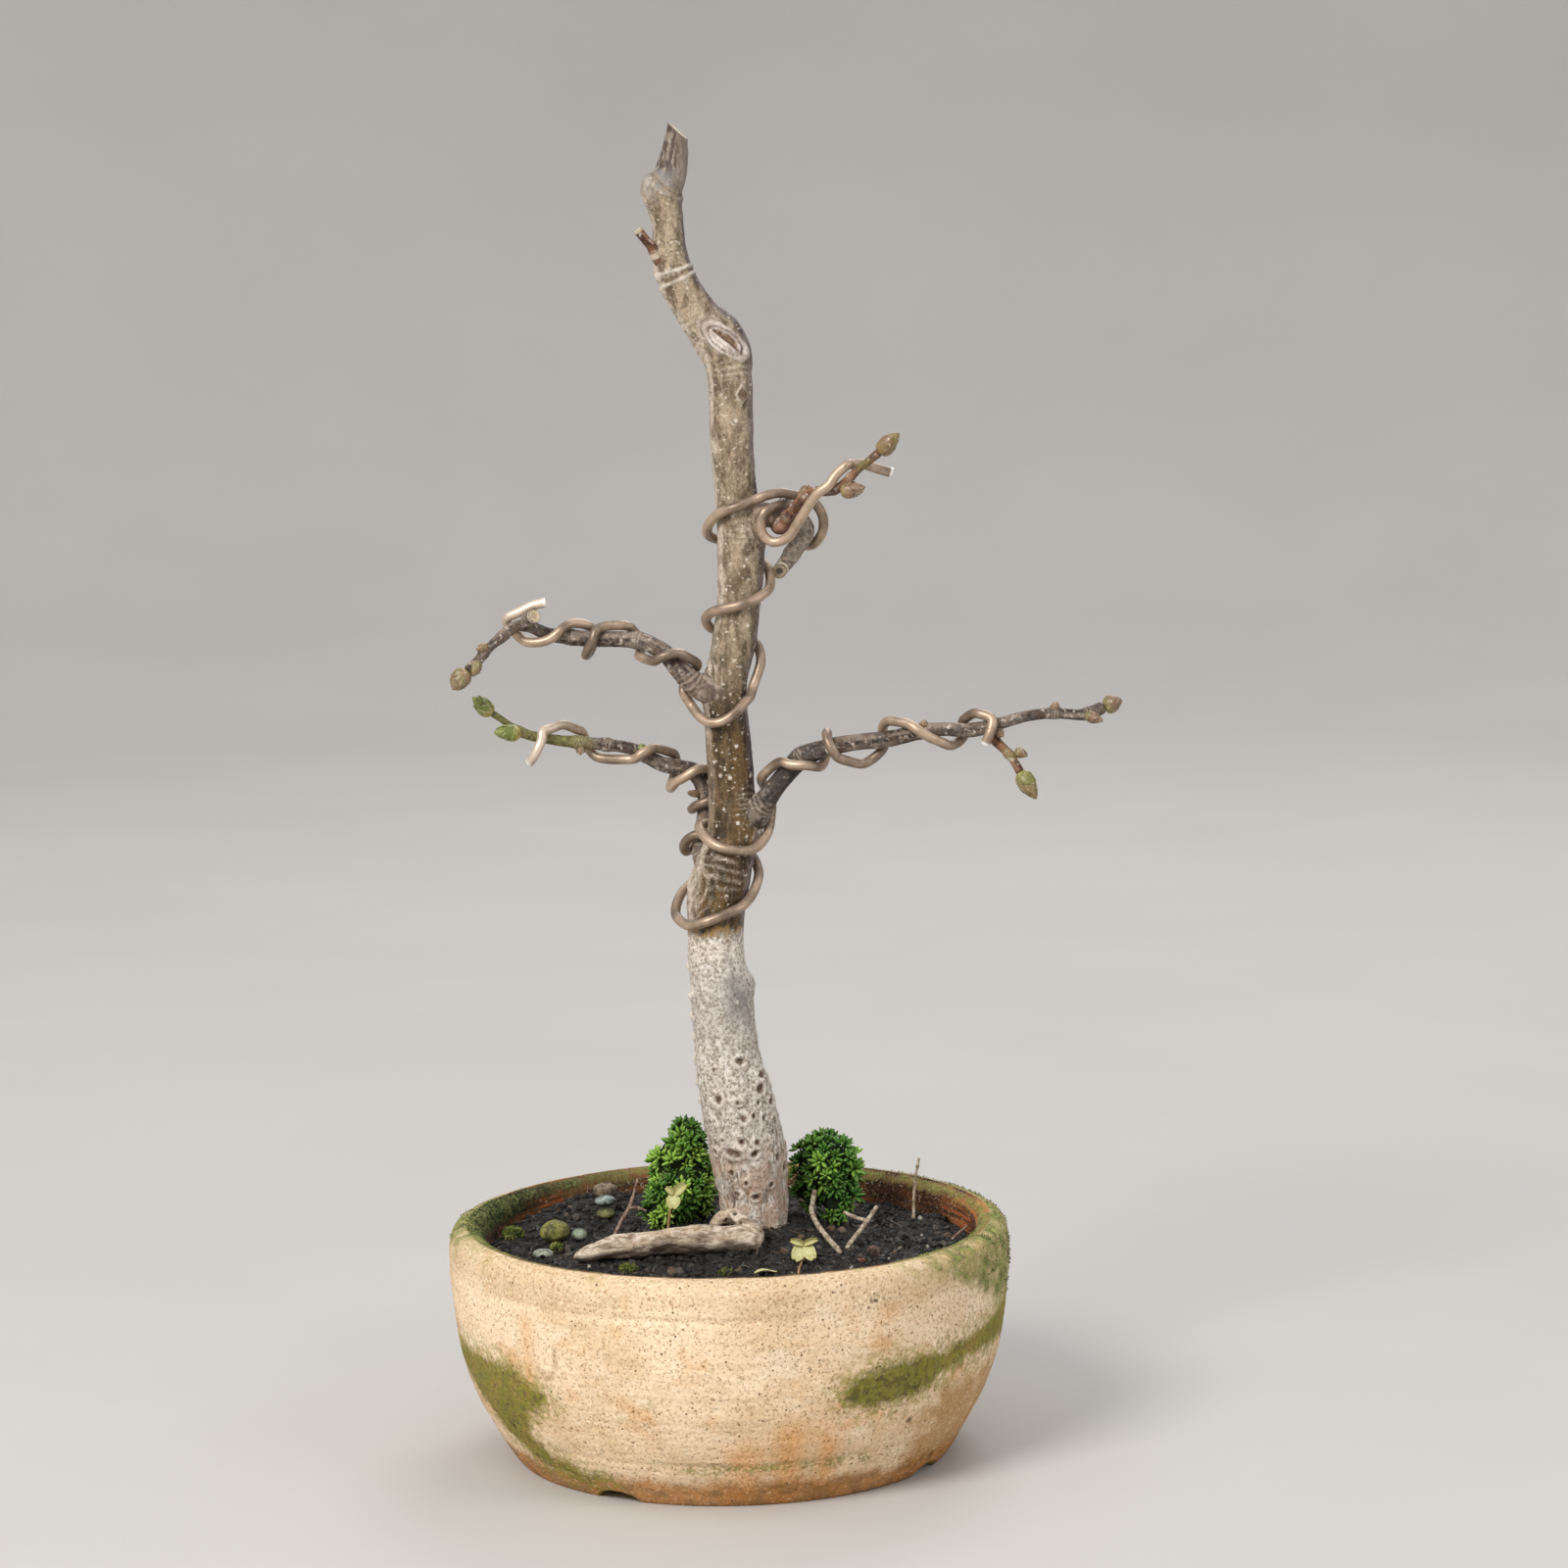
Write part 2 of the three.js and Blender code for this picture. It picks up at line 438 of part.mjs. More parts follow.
function hill(x, y, { x: cx, y: cy, height, spread }) {
  return height * Math.exp(-((x - cx) ** 2 + (y - cy) ** 2) / (2 * spread ** 2));
}

/** Height of the soil over the bowl's underside. */
function soilHeight(x, y) {
  const ripple = 0.35 * Math.sin(x * 0.31 + 1) * Math.cos(y * 0.27) + 0.25 * Math.sin(x * 0.13 - y * 0.21);
  return SOIL_LEVEL + hill(x, y, SOIL_MOUND) + hill(x, y, SOIL_BANK) + ripple;
}

/** The soil fills the bowl, and has a pocket for everything that is set in it. */
function soilGeometry(pockets) {
  const floor = POT_FLOOR + SCREEN_THICKNESS + 2 * GAP;
  const wall = [
    [65, floor], [70.2, 13.4], [77.2, 24.2], [82.2, 38.2], [85.6, 54.2], [86.8, SOIL_LEVEL - 1.5],
  ];
  const top = [82, 68, 54, 40, 26, 12, 0].map((radius) => [radius, SOIL_LEVEL]);
  const points = [[0, floor], ...wall, ...top].map(([r, z]) => new THREE.Vector2(r, z));
  const geometry = lathe(points, SOIL_SIDES);
  const position = geometry.attributes.position;
  for (let i = 0; i < position.count; i += 1) {
    if (position.getZ(i) > SOIL_LEVEL - 0.1) {
      position.setZ(i, soilHeight(position.getX(i), position.getY(i)));
    }
  }
  return geometryOf(solid(geometry).subtract(joined(pockets)));
}

// ---------------------------------------------------------------- the tree

const limbs = {
  trunk: new Limb(TRUNK),
  branch_upper_left: new Limb(UPPER_LEFT),
  branch_lower_left: new Limb(LOWER_LEFT),
  branch_right: new Limb(RIGHT),
  shoot_right: new Limb(RIGHT_SIDE),
  branch_top: new Limb(TOP_STUB),
  shoot_top: new Limb(TOP_SHOOT),
  spur_top: new Limb(SPUR),
};
// The limb that each one grows from.
const parents = {
  branch_upper_left: 'trunk',
  branch_lower_left: 'trunk',
  branch_right: 'trunk',
  shoot_right: 'branch_right',
  branch_top: 'trunk',
  shoot_top: 'branch_top',
  spur_top: 'trunk',
};

const TRUNK_SIDES = 12;
const TRUNK_STEP = 8;
const BRANCH_SIDES = 8;
const BRANCH_STEP = 5;
const ROOT_STEP = 9;
const BUD_SIDES = 7;
const STEM_SIDES = 6;
const STEM_STEP = 4.5;

function limbSolid(name, grow = 0) {
  const isTrunk = name === 'trunk';
  const sides = isTrunk ? TRUNK_SIDES : BRANCH_SIDES;
  const step = isTrunk ? TRUNK_STEP : BRANCH_STEP;
  const wood = solid(limbs[name].geometry(sides, step, grow));
  return name === 'branch_upper_left' ? wood.add(stumpSolid(grow)) : wood;
}

function stumpSolid(grow) {
  return solid(new Limb(UPPER_LEFT_STUMP).geometry(BRANCH_SIDES, BRANCH_STEP, grow));
}

/** The trunk with its leader, and the roots under it. */
function trunkSolid(grow = 0) {
  const roots = ROOTS.map((rows) => solid(new Limb(rows).geometry(BRANCH_SIDES, ROOT_STEP, grow)));
  return joined([limbSolid('trunk', grow), ...roots]);
}

/** A branch, cut to meet the limb it grows from. */
function branchGeometry(name) {
  return geometryOf(limbSolid(name).subtract(limbSolid(parents[name], GAP)));
}

/** A pointed bud, cut to stand on its limb. */
function budGeometry([limbName, foot, tip, radius]) {
  const base = new THREE.Vector3(...foot);
  const axis = new THREE.Vector3(...tip).sub(base);
  const length = axis.length();
  const outline = [[0, 0], [0.6, 0], [0.95, 0.22], [0.96, 0.45], [0.72, 0.72], [0.36, 0.9], [0, 1]];
  const profile = outline.map(([r, h]) => new THREE.Vector2(r * radius, h * length));
  const geometry = new THREE.LatheGeometry(profile, BUD_SIDES);
  const turn = new THREE.Quaternion().setFromUnitVectors(new THREE.Vector3(0, 1, 0), axis.normalize());
  geometry.applyQuaternion(turn);
  geometry.translate(base.x, base.y, base.z);
  return geometryOf(solid(geometry).subtract(limbSolid(limbName, GAP)));
}

// ---------------------------------------------------------------- the wires

/** Points of a stretch of wire wound on a limb: rows are joined by a smooth curve round the bark. */
function woundPoints(limb, turns) {
  const rows = turns.map(([distance, angle, lift]) => new THREE.Vector3(distance, angle, lift));
  const track = new THREE.CatmullRomCurve3(rows, false, 'chordal');
  const points = [];
  for (let row = 0; row < rows.length - 1; row += 1) {
    const span = Math.abs(rows[row + 1].y - rows[row].y);
    const steps = Math.max(1, Math.round(span / TURN_STEP));
    for (let step = 0; step < steps; step += 1) {
      points.push(track.getPoint((row + step / steps) / (rows.length - 1)));
    }
  }
  points.push(rows[rows.length - 1]);
  return points.map(({ x: distance, y: angle, z: lift }) => {
    const place = limb.at(distance);
    const reach = place.radius + GAP + WIRE_RADIUS + Math.max(0, lift);
    return place.centre.clone().addScaledVector(limb.outward(place, angle), reach);
  });
}

function wireGeometry(stretches) {
  const points = stretches.flatMap(({ limb, turns, points: free }) =>
    free ? free.map(([x, y, z]) => new THREE.Vector3(x, y, z)) : woundPoints(limbs[limb], turns),
  );
  const path = new THREE.CatmullRomCurve3(points, false, 'centripetal');
  path.arcLengthDivisions = WIRE_SAMPLES;
  const section = new THREE.Shape();
  section.absarc(0, 0, WIRE_RADIUS, 0, 2 * Math.PI);
  const steps = Math.round(path.getLength() / WIRE_STEP);
  const curveSegments = WIRE_ARC_STEPS;
  const settings = { steps, curveSegments, bevelEnabled: false, extrudePath: path };
  return new THREE.ExtrudeGeometry(section, settings);
}

// ---------------------------------------------------------------- things on the soil

const stoneSolid = ([, centre, half, turn], grow = 0) => solid(lumpGeometry(centre, half, turn, grow));
const stemSolid = (rows, grow = 0) =>
  joined(rows.map((row) => solid(new Limb(row).geometry(STEM_SIDES, STEM_STEP, grow))));
const clumpSolid = (lumps, grow = 0) =>
  joined(lumps.map(([centre, half]) => solid(lumpGeometry(centre, half, 0, grow))));

function surfaceRootSolid(grow = 0) {
  const parts = [SURFACE_ROOT_NECK, SURFACE_ROOT_BODY];
  return joined(parts.map((rows) => solid(new Limb(rows).geometry(BRANCH_SIDES, BRANCH_STEP, grow))));
}

/** A clover sprig: flat leaflets round the top of a thin stalk. */
function sprigSolid({ stalk, leaflets, size }, grow = 0) {
  const [x, y, z] = stalk[stalk.length - 1];
  const blades = leaflets.map(([dx, dy, dz]) =>
    solid(lumpGeometry([x + dx, y + dy, z + dz], size, 0, grow)),
  );
  return joined([stemSolid([stalk], grow), ...blades]);
}

const fallenLeafSolid = (grow = 0) => solid(lumpGeometry(...FALLEN_LEAF, 12, grow));

// ---------------------------------------------------------------- assembly

const bonsai = new THREE.Group();

function add(name, geometry, color, roughness, metalness = 0) {
  const material = new THREE.MeshStandardMaterial({ color, roughness, metalness });
  const mesh = new THREE.Mesh(geometry, material);
  mesh.name = name;
  bonsai.add(mesh);
}

const setInSoil = (grow) => [
  trunkSolid(grow),
  surfaceRootSolid(grow),
  ...STONES.map((stone) => stoneSolid(stone, grow)),
  ...Object.values(CLUMPS).map((lumps) => clumpSolid(lumps, grow)),
  ...Object.values(STEMS).map((rows) => stemSolid(rows, grow)),
  ...Object.values(SPRIGS).map((sprig) => sprigSolid(sprig, grow)),
  fallenLeafSolid(grow),
];

add('pot', potGeometry(), 0xc9a27c, 0.9);
add('drain_screen', drainScreenGeometry(), 0x2c2f2b, 0.7);
add('soil', soilGeometry(setInSoil(GAP)), 0x2b211b, 1);

add('trunk', geometryOf(trunkSolid()), 0x8d7c62, 0.85);
for (const name of Object.keys(parents)) {
  add(name, branchGeometry(name), 0x75685c, 0.8);
}
for (const [name, bud] of Object.entries(BUDS)) {
  add(name, budGeometry(bud), 0x8f8a4a, 0.6);
}
add('wire_upper', wireGeometry(WIRE_UPPER), 0xa8805c, 0.4, 0.9);
add('wire_lower', wireGeometry(WIRE_LOWER), 0xa8805c, 0.4, 0.9);

add('surface_root', geometryOf(surfaceRootSolid()), 0xb09a82, 0.9);
for (const stone of STONES) {
  add(stone[0], geometryOf(stoneSolid(stone)), stone[4], 0.7);
}
for (const [name, lumps] of Object.entries(CLUMPS)) {
  add(name, geometryOf(clumpSolid(lumps)), 0x4c7d2c, 0.8);
}
for (const [name, rows] of Object.entries(STEMS)) {
  add(name, geometryOf(stemSolid(rows)), 0xb9a98c, 0.8);
}
for (const [name, sprig] of Object.entries(SPRIGS)) {
  add(name, geometryOf(sprigSolid(sprig)), 0xb5bf6a, 0.7);
}
add('fallen_leaf', geometryOf(fallenLeafSolid()), 0xb8b86e, 0.7);

export default bonsai;
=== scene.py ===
# A young deciduous tree without leaves, wired for training, in a round terracotta bowl.
# The origin is the centre of the bowl's underside, +Z is up and -Y is the front.
# Shapes are worked out in millimetres, and made in metres.
import math

import bpy
import numpy as np
from mathutils import Matrix, Vector


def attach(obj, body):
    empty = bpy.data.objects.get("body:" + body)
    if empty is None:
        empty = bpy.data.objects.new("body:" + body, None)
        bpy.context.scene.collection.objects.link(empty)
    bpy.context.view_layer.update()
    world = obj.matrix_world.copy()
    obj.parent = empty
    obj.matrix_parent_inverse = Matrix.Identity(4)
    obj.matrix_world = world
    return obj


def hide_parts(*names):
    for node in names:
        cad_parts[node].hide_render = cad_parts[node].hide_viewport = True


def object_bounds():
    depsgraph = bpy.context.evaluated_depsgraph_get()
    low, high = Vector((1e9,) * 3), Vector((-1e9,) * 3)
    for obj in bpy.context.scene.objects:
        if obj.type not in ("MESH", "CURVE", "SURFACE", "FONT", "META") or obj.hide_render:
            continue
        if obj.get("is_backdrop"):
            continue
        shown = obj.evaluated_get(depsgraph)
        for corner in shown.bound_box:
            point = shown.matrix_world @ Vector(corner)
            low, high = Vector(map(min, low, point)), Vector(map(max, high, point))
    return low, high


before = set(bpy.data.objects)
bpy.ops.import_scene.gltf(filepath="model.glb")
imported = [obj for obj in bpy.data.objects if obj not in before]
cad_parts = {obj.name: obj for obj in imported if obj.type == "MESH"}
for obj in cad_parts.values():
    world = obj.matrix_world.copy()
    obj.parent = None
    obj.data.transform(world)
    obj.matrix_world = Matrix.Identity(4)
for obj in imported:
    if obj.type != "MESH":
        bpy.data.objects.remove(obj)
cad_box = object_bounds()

# ----------------------------------------------------------------------------------------------
# The view: a long lens 1.5 m in front of the bowl, a little above the tree's middle. It looks
# slightly down, and is tilted by a degree as the photograph is.

scene = bpy.context.scene
scene.view_settings.view_transform = "Standard"

LENS = 101.25
PITCH, ROLL = math.radians(7.26), math.radians(0.98)

ahead = Vector((0, math.cos(PITCH), -math.sin(PITCH)))
level_right = Vector((1, 0, 0))
level_up = Vector((0, math.sin(PITCH), math.cos(PITCH)))
right = math.cos(ROLL) * level_right - math.sin(ROLL) * level_up
up = math.sin(ROLL) * level_right + math.cos(ROLL) * level_up

camera = bpy.data.objects.new("camera", bpy.data.cameras.new("camera"))
camera.data.lens = LENS
camera.data.sensor_width = 36
turn = Matrix((right, up, -ahead)).transposed().to_4x4()
camera.matrix_world = Matrix.Translation((0.0223, -1.545, 0.436)) @ turn
scene.collection.objects.link(camera)
scene.camera = camera

# ----------------------------------------------------------------------------------------------
# The light: a soft sky, one large soft lamp at the front left, a weak one at the right, and one
# behind that lifts the edges.

world = bpy.data.worlds.new("sky")
world.use_nodes = True
world.node_tree.nodes["Background"].inputs["Color"].default_value = (0.93, 0.95, 1, 1)
world.node_tree.nodes["Background"].inputs["Strength"].default_value = 0.75
scene.world = world


def soft_lamp(name, place, aim, width, power, tint=(1, 1, 1)):
    lamp = bpy.data.lights.new(name, "AREA")
    lamp.shape, lamp.size, lamp.energy, lamp.color = "DISK", width, power, tint
    made = bpy.data.objects.new(name, lamp)
    made.location = place
    made.rotation_euler = (Vector(aim) - Vector(place)).to_track_quat("-Z", "Y").to_euler()
    scene.collection.objects.link(made)


soft_lamp("lamp_front_left", (-1.25, -1.7, 1.75), (0, 0, 0.2), 1.1, 56, (1, 0.975, 0.94))
soft_lamp("lamp_right", (1.7, -1.1, 1.1), (0, 0, 0.2), 1.3, 9, (0.95, 0.97, 1))
soft_lamp("lamp_back", (0.5, 1.8, 1.9), (0, 0, 0.3), 1.2, 16)

# ----------------------------------------------------------------------------------------------
# The floor: a plain pale sweep that rises all round, well outside the view's near part.

MM = 0.001


def colour(code):
    """A colour as the shader wants it, from the six-figure code of the screen colour."""
    shares = [((code >> shift) & 255) / 255 for shift in (16, 8, 0)]
    return tuple(s / 12.92 if s <= 0.04045 else ((s + 0.055) / 1.055) ** 2.4 for s in shares) + (1,)


class Signal:
    """One value inside a finish or a recipe. Arithmetic on signals adds Math nodes."""

    def __init__(self, tree, socket):
        self.tree, self.socket = tree, socket

    def math(self, operation, *others):
        sockets = dict(enumerate((self,) + others))
        return self.tree.node("ShaderNodeMath", {"operation": operation}, sockets)

    def __add__(self, other):
        return self.math("ADD", other)

    def __mul__(self, other):
        return self.math("MULTIPLY", other)

    def __sub__(self, other):
        return self.math("SUBTRACT", other)

    def __rsub__(self, other):
        return (self * -1).math("ADD", other)

    def __truediv__(self, other):
        return self.math("DIVIDE", other)

    __radd__, __rmul__ = __add__, __mul__

    def rises(self, low, high):
        """0 below low, 1 above high, smooth between. It falls if high is the lower one."""
        settings = {"interpolation_type": "SMOOTHSTEP"}
        sockets = {"Value": self, "From Min": low, "From Max": high}
        return self.tree.node("ShaderNodeMapRange", settings, sockets)

    def peaks(self, middle, half_width):
        """1 at middle, falling smoothly to 0 at half_width from it."""
        return (self - middle).math("ABSOLUTE").rises(half_width, 0)


class NodeTree:
    """A node tree with one method that adds any node. It gives one output, or several by name."""

    def __init__(self, tree):
        self.tree = tree
        self.tree.nodes.clear()

    def node(self, kind, settings=None, sockets=None, output=0):
        made = self.tree.nodes.new(kind)
        for name, value in (settings or {}).items():
            setattr(made, name, value)
        for key, value in (sockets or {}).items():
            if isinstance(value, Signal):
                self.tree.links.new(value.socket, made.inputs[key])
            else:
                made.inputs[key].default_value = value
        if isinstance(output, tuple):
            return [Signal(self, made.outputs[key]) for key in output]
        return Signal(self, made.outputs[output]) if len(made.outputs) else None

    def scaled(self, vector, amount):
        """A vector or a colour, times a number."""
        return self.node("ShaderNodeVectorMath", {"operation": "SCALE"}, {0: vector, "Scale": amount})


class Finish(NodeTree):
    """A surface finish. Patterns are laid out in millimetres on the object's own coordinates."""

    def __init__(self, name):
        self.material = bpy.data.materials.new(name)
        self.material.use_nodes = True
        super().__init__(self.material.node_tree)
        self.place = self.node("ShaderNodeTexCoord", output="Object")

    def pattern_place(self, size, stretch=(1, 1, 1), shift=0.0):
        scale = [1 / MM / size / s for s in stretch]
        sockets = {"Vector": self.place, "Scale": scale, "Location": (shift, shift, shift)}
        return self.node("ShaderNodeMapping", sockets=sockets)

    def noise(self, size, detail=3.0, stretch=(1, 1, 1), shift=0.0, roughness=0.55):
        """Cloudy pattern whose patches are about size mm wide."""
        place = self.pattern_place(size, stretch, shift)
        sockets = {"Vector": place, "Scale": 1.0, "Detail": detail, "Roughness": roughness}
        return self.node("ShaderNodeTexNoise", sockets=sockets)

    def cells(self, size, stretch=(1, 1, 1), shift=0.0):
        """Distance from the middle of the nearest of many scattered points."""
        place = self.pattern_place(size, stretch, shift)
        return self.node("ShaderNodeTexVoronoi", sockets={"Vector": place, "Scale": 1.0})

    def layer(self, name):
        """A value that the mesh holds at each point."""
        return self.node("ShaderNodeAttribute", {"attribute_name": name}, output="Fac")

    def height(self):
        """Height over the surface the bowl stands on, in mm."""
        return self.axis(2)

    def axis(self, index):
        return self.node("ShaderNodeSeparateXYZ", sockets={0: self.place}, output=index) / MM

    def mix(self, share, under, over):
        """The under colour where share is 0, the over colour where it is 1."""
        under, over = (colour(c) if isinstance(c, int) else c for c in (under, over))
        return self.node("ShaderNodeMix", {"data_type": "RGBA"}, {0: share, 6: under, 7: over}, 2)

    def shaded(self, tone, amount):
        """A colour made darker where amount is below 1, and lighter above it."""
        return self.scaled(tone, amount)

    def done(self, tone, roughness, relief, relief_height, **fixed):
        """Joins the finish up. relief_height is the bump's full height in mm."""
        bump_sockets = {"Strength": 1.0, "Distance": relief_height * MM, "Height": relief}
        bump = self.node("ShaderNodeBump", sockets=bump_sockets)
        sockets = {"Base Color": tone, "Roughness": roughness, "Normal": bump}
        sockets.update({name.replace("_", " "): value for name, value in fixed.items()})
        shader = self.node("ShaderNodeBsdfPrincipled", sockets=sockets)
        self.node("ShaderNodeOutputMaterial", sockets={"Surface": shader})
        return self.material


def pale_floor_finish():
    floor = Finish("pale_floor")
    tone = floor.mix(floor.noise(240, 2), 0xBDBAB6, 0xC6C3BF)
    return floor.done(tone, 0.85, floor.noise(3, 2), 0.02)


def make_object(name, points, faces, finish):
    """A mesh object at the origin, from points in mm."""
    mesh = bpy.data.meshes.new(name)
    mesh.from_pydata((np.asarray(points, float) * MM).tolist(), [], faces)
    mesh.polygons.foreach_set("use_smooth", [True] * len(mesh.polygons))
    mesh.materials.append(finish)
    mesh.update()
    made = bpy.data.objects.new(name, mesh)
    scene.collection.objects.link(made)
    return made


def grid_faces(rings, sides):
    """Faces of a tube of rings, closed over a pole at each end: the last two points."""
    ring, side = np.meshgrid(np.arange(rings - 1), np.arange(sides), indexing="ij")
    after = (side + 1) % sides
    quads = [ring * sides + side, ring * sides + after, (ring + 1) * sides + after, (ring + 1) * sides + side]
    faces = np.stack(quads, -1).reshape(-1, 4).tolist()
    first, last = rings * sides, rings * sides + 1
    top = (rings - 1) * sides
    for i in range(sides):
        faces.append((first, (i + 1) % sides, i))
        faces.append((last, top + i, top + (i + 1) % sides))
    return faces


def skin(name, rings, finish, layers=None):
    """A closed object from rings of points (ring, side, xyz), each end closed over a pole."""
    count, sides = rings.shape[:2]
    points = np.concatenate([rings.reshape(-1, 3), [rings[0].mean(0), rings[-1].mean(0)]])
    made = make_object(name, points, grid_faces(count, sides), finish)
    for key, values in (layers or {}).items():
        ends = [values[0].mean(), values[-1].mean()]
        store(made, key, np.concatenate([values.reshape(-1), ends]))
    return made


def store(piece, name, values):
    layer = piece.data.attributes.new(name, "FLOAT", "POINT")
    layer.data.foreach_set("value", np.asarray(values, np.float32))


FLOOR_PROFILE = [  # radius and height, from the flat middle to the top of the sweep
    (400, 0), (2200, 0), (2600, 60), (2900, 260), (3060, 560), (3100, 900), (3100, 2300),
]
FLOOR_SIDES = 96
FLOOR_DROP = 0.15  # below the bowl's foot, so that the two don't share a plane
floor_turn = np.linspace(0, 2 * math.pi, FLOOR_SIDES, endpoint=False)
floor_rings = np.array([
    [(r * math.cos(a), r * math.sin(a), z - FLOOR_DROP) for a in floor_turn]
    for r, z in reversed(FLOOR_PROFILE)
])
floor_points = np.concatenate([floor_rings.reshape(-1, 3), [(0, 0, -FLOOR_DROP)]])
floor_faces = [f for f in grid_faces(len(floor_rings), FLOOR_SIDES) if len(f) == 4]
inner_ring = (len(floor_rings) - 1) * FLOOR_SIDES
for i in range(FLOOR_SIDES):
    floor_faces.append((len(floor_points) - 1, inner_ring + i, inner_ring + (i + 1) % FLOOR_SIDES))
make_object("floor", floor_points, floor_faces, pale_floor_finish())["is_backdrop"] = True

# ----------------------------------------------------------------------------------------------
# The bowl: thick terracotta thrown on a wheel and fired bare, so it shows faint throwing rings
# and a dark speckle. Algae and moss grow on its rim, in two patches low on its wall, and inside.

BOWL_SIDES = 380
BOWL_PROFILE = [  # radius and height, from the underside's middle round to the middle of its floor
    (20, 0), (60, 0), (77.2, 0), (78, 0.8), (81.4, 6), (86, 14), (91.2, 24), (95.6, 36), (98.2, 50),
    (99.6, 64), (100, 74), (99.4, 79.6), (97.8, 82.2), (95, 83.4), (93, 83.6), (90.8, 83.2),
    (89, 81.8), (88, 79.4), (87.6, 70), (86.4, 54), (83, 38), (78, 24), (71, 13), (66, 9.2),
    (63, 9), (20, 9),
]
DRAIN_ANGLES = [60, 150, 240, 330]  # degrees from +X
DRAIN_CIRCLE, DRAIN_RADIUS = 44, 6
CHANNEL_HALF_WIDTH, CHANNEL_HEIGHT = 8.4, 3.6
BOWL_PITS = [(26.7, 42), (7.3, 58), (21.5, -57)]  # height and degrees from the front
THROWING_GROOVE = 70.2  # height of the groove under the rim, at the front left
FOOT_LINE = 16.6  # height of the faint line where the foot was turned
PATCH_RADIUS = 96  # of the wall at the patches
DEGREE = 1.67  # mm along the wall to a degree round it
# Outlines of the two patches of algae: degrees from the front towards the right, and height.
PATCH_LEFT = [
    (-76, 47), (-62, 46.5), (-51.5, 46.4), (-46, 43), (-40.9, 39.6), (-40.2, 35.5), (-43, 32.2),
    (-47.5, 28.4), (-50, 20.6), (-45.5, 13.6), (-38, 10.5), (-30, 8.4), (-36, 5), (-52, 8),
    (-61, 16), (-66, 26), (-74, 34), (-84, 38),
]
PATCH_RIGHT = [
    (22.5, 43.4), (25.4, 47.8), (32.1, 50.6), (43.2, 50.6), (52, 51.8), (60.3, 53.6), (74, 58),
    (86, 58), (95, 54.5), (101, 50), (96, 46), (84, 43), (72, 42), (58, 42.6), (48.8, 40.4), (44, 36),
    (36, 33.6), (28.5, 34), (23.6, 38),
]


def value_noise(points, size, seed=0):
    """Smooth random values from about -1 to 1; one bump is about size mm wide."""
    spot = np.asarray(points) / size
    cell = np.floor(spot).astype(np.int64)
    part = spot - cell
    part = part * part * (3 - 2 * part)
    total = np.zeros(spot.shape[:-1])
    for corner in np.ndindex(2, 2, 2):
        keys = (cell + np.array(corner)).astype(np.uint32)
        mixed = keys * np.array([73856093, 19349663, 83492791], np.uint32)
        mixed = np.bitwise_xor.reduce(mixed, axis=-1) ^ np.uint32(seed * 7919 + 17)
        mixed = (mixed ^ (mixed >> np.uint32(13))) * np.uint32(1274126177)
        mixed = mixed ^ (mixed >> np.uint32(16))
        share = np.prod(np.where(np.array(corner) == 1, part, 1 - part), axis=-1)
        total += share * (mixed.astype(float) / 2**31 - 1)
    return total


def rough_noise(points, size, octaves=3, seed=0):
    """Value noise with finer, weaker noise on top."""
    layers = [value_noise(points, size / 2**i, seed + i) / 2**i for i in range(octaves)]
    return sum(layers) / sum(1 / 2**i for i in range(octaves))


def step_between(low, high, values):
    share = np.clip((values - low) / (high - low), 0, 1)
    return share * share * (3 - 2 * share)


def hump(values, middle, width):
    """1 at middle, dying away over width."""
    return np.exp(-(((values - middle) / width) ** 2))


def resample(points, spacing):
    """The same open line with its points about spacing apart."""
    points = np.asarray(points, float)
    marks = np.concatenate([[0], np.cumsum(np.linalg.norm(np.diff(points, axis=0), axis=1))])
    stops = np.linspace(0, marks[-1], max(2, int(marks[-1] / spacing) + 1))
    return np.stack([np.interp(stops, marks, points[:, k]) for k in range(points.shape[1])], -1)


def smooth_curve(rows, samples=24, power=0.5):
    """Rows of x, y, z and any more values, joined by a centripetal curve (chordal if power is 1)."""
    rows = np.asarray(rows, float)
    spots = rows[:, :3]
    spots = np.concatenate([[2 * spots[0] - spots[1]], spots, [2 * spots[-1] - spots[-2]]])
    gaps = np.maximum(np.linalg.norm(np.diff(spots, axis=0), axis=1), 1e-6) ** power
    share = np.arange(samples) / samples
    parts = []
    for i in range(len(rows) - 1):
        before, start, end, after = spots[i : i + 4]
        d0, d1, d2 = gaps[i : i + 3]
        leave = ((start - before) / d0 - (end - before) / (d0 + d1) + (end - start) / d1) * d1
        arrive = ((end - start) / d1 - (after - start) / (d1 + d2) + (after - end) / d2) * d1
        t = share[:, None]
        place = start + leave * t + (3 * (end - start) - 2 * leave - arrive) * t**2
        place += (2 * (start - end) + leave + arrive) * t**3
        others = rows[i, 3:] + (rows[i + 1, 3:] - rows[i, 3:]) * t
        parts.append(np.concatenate([place, others], axis=1))
    parts.append(rows[-1:])
    return np.concatenate(parts)


def outline_distance(x, y, corners):
    """Distance outside a closed outline; it is negative inside."""
    corners = np.asarray(corners, float)
    nearest = np.full(x.shape, 1e9)
    inside = np.zeros(x.shape, bool)
    for (ax, ay), (bx, by) in zip(corners, np.roll(corners, -1, axis=0)):
        ex, ey = bx - ax, by - ay
        share = np.clip(((x - ax) * ex + (y - ay) * ey) / (ex * ex + ey * ey), 0, 1)
        nearest = np.minimum(nearest, np.hypot(x - ax - share * ex, y - ay - share * ey))
        if ay != by:
            crosses = ((ay > y) != (by > y)) & (x < ex * (y - ay) / (by - ay) + ax)
            inside ^= crosses
    return np.where(inside, -nearest, nearest)


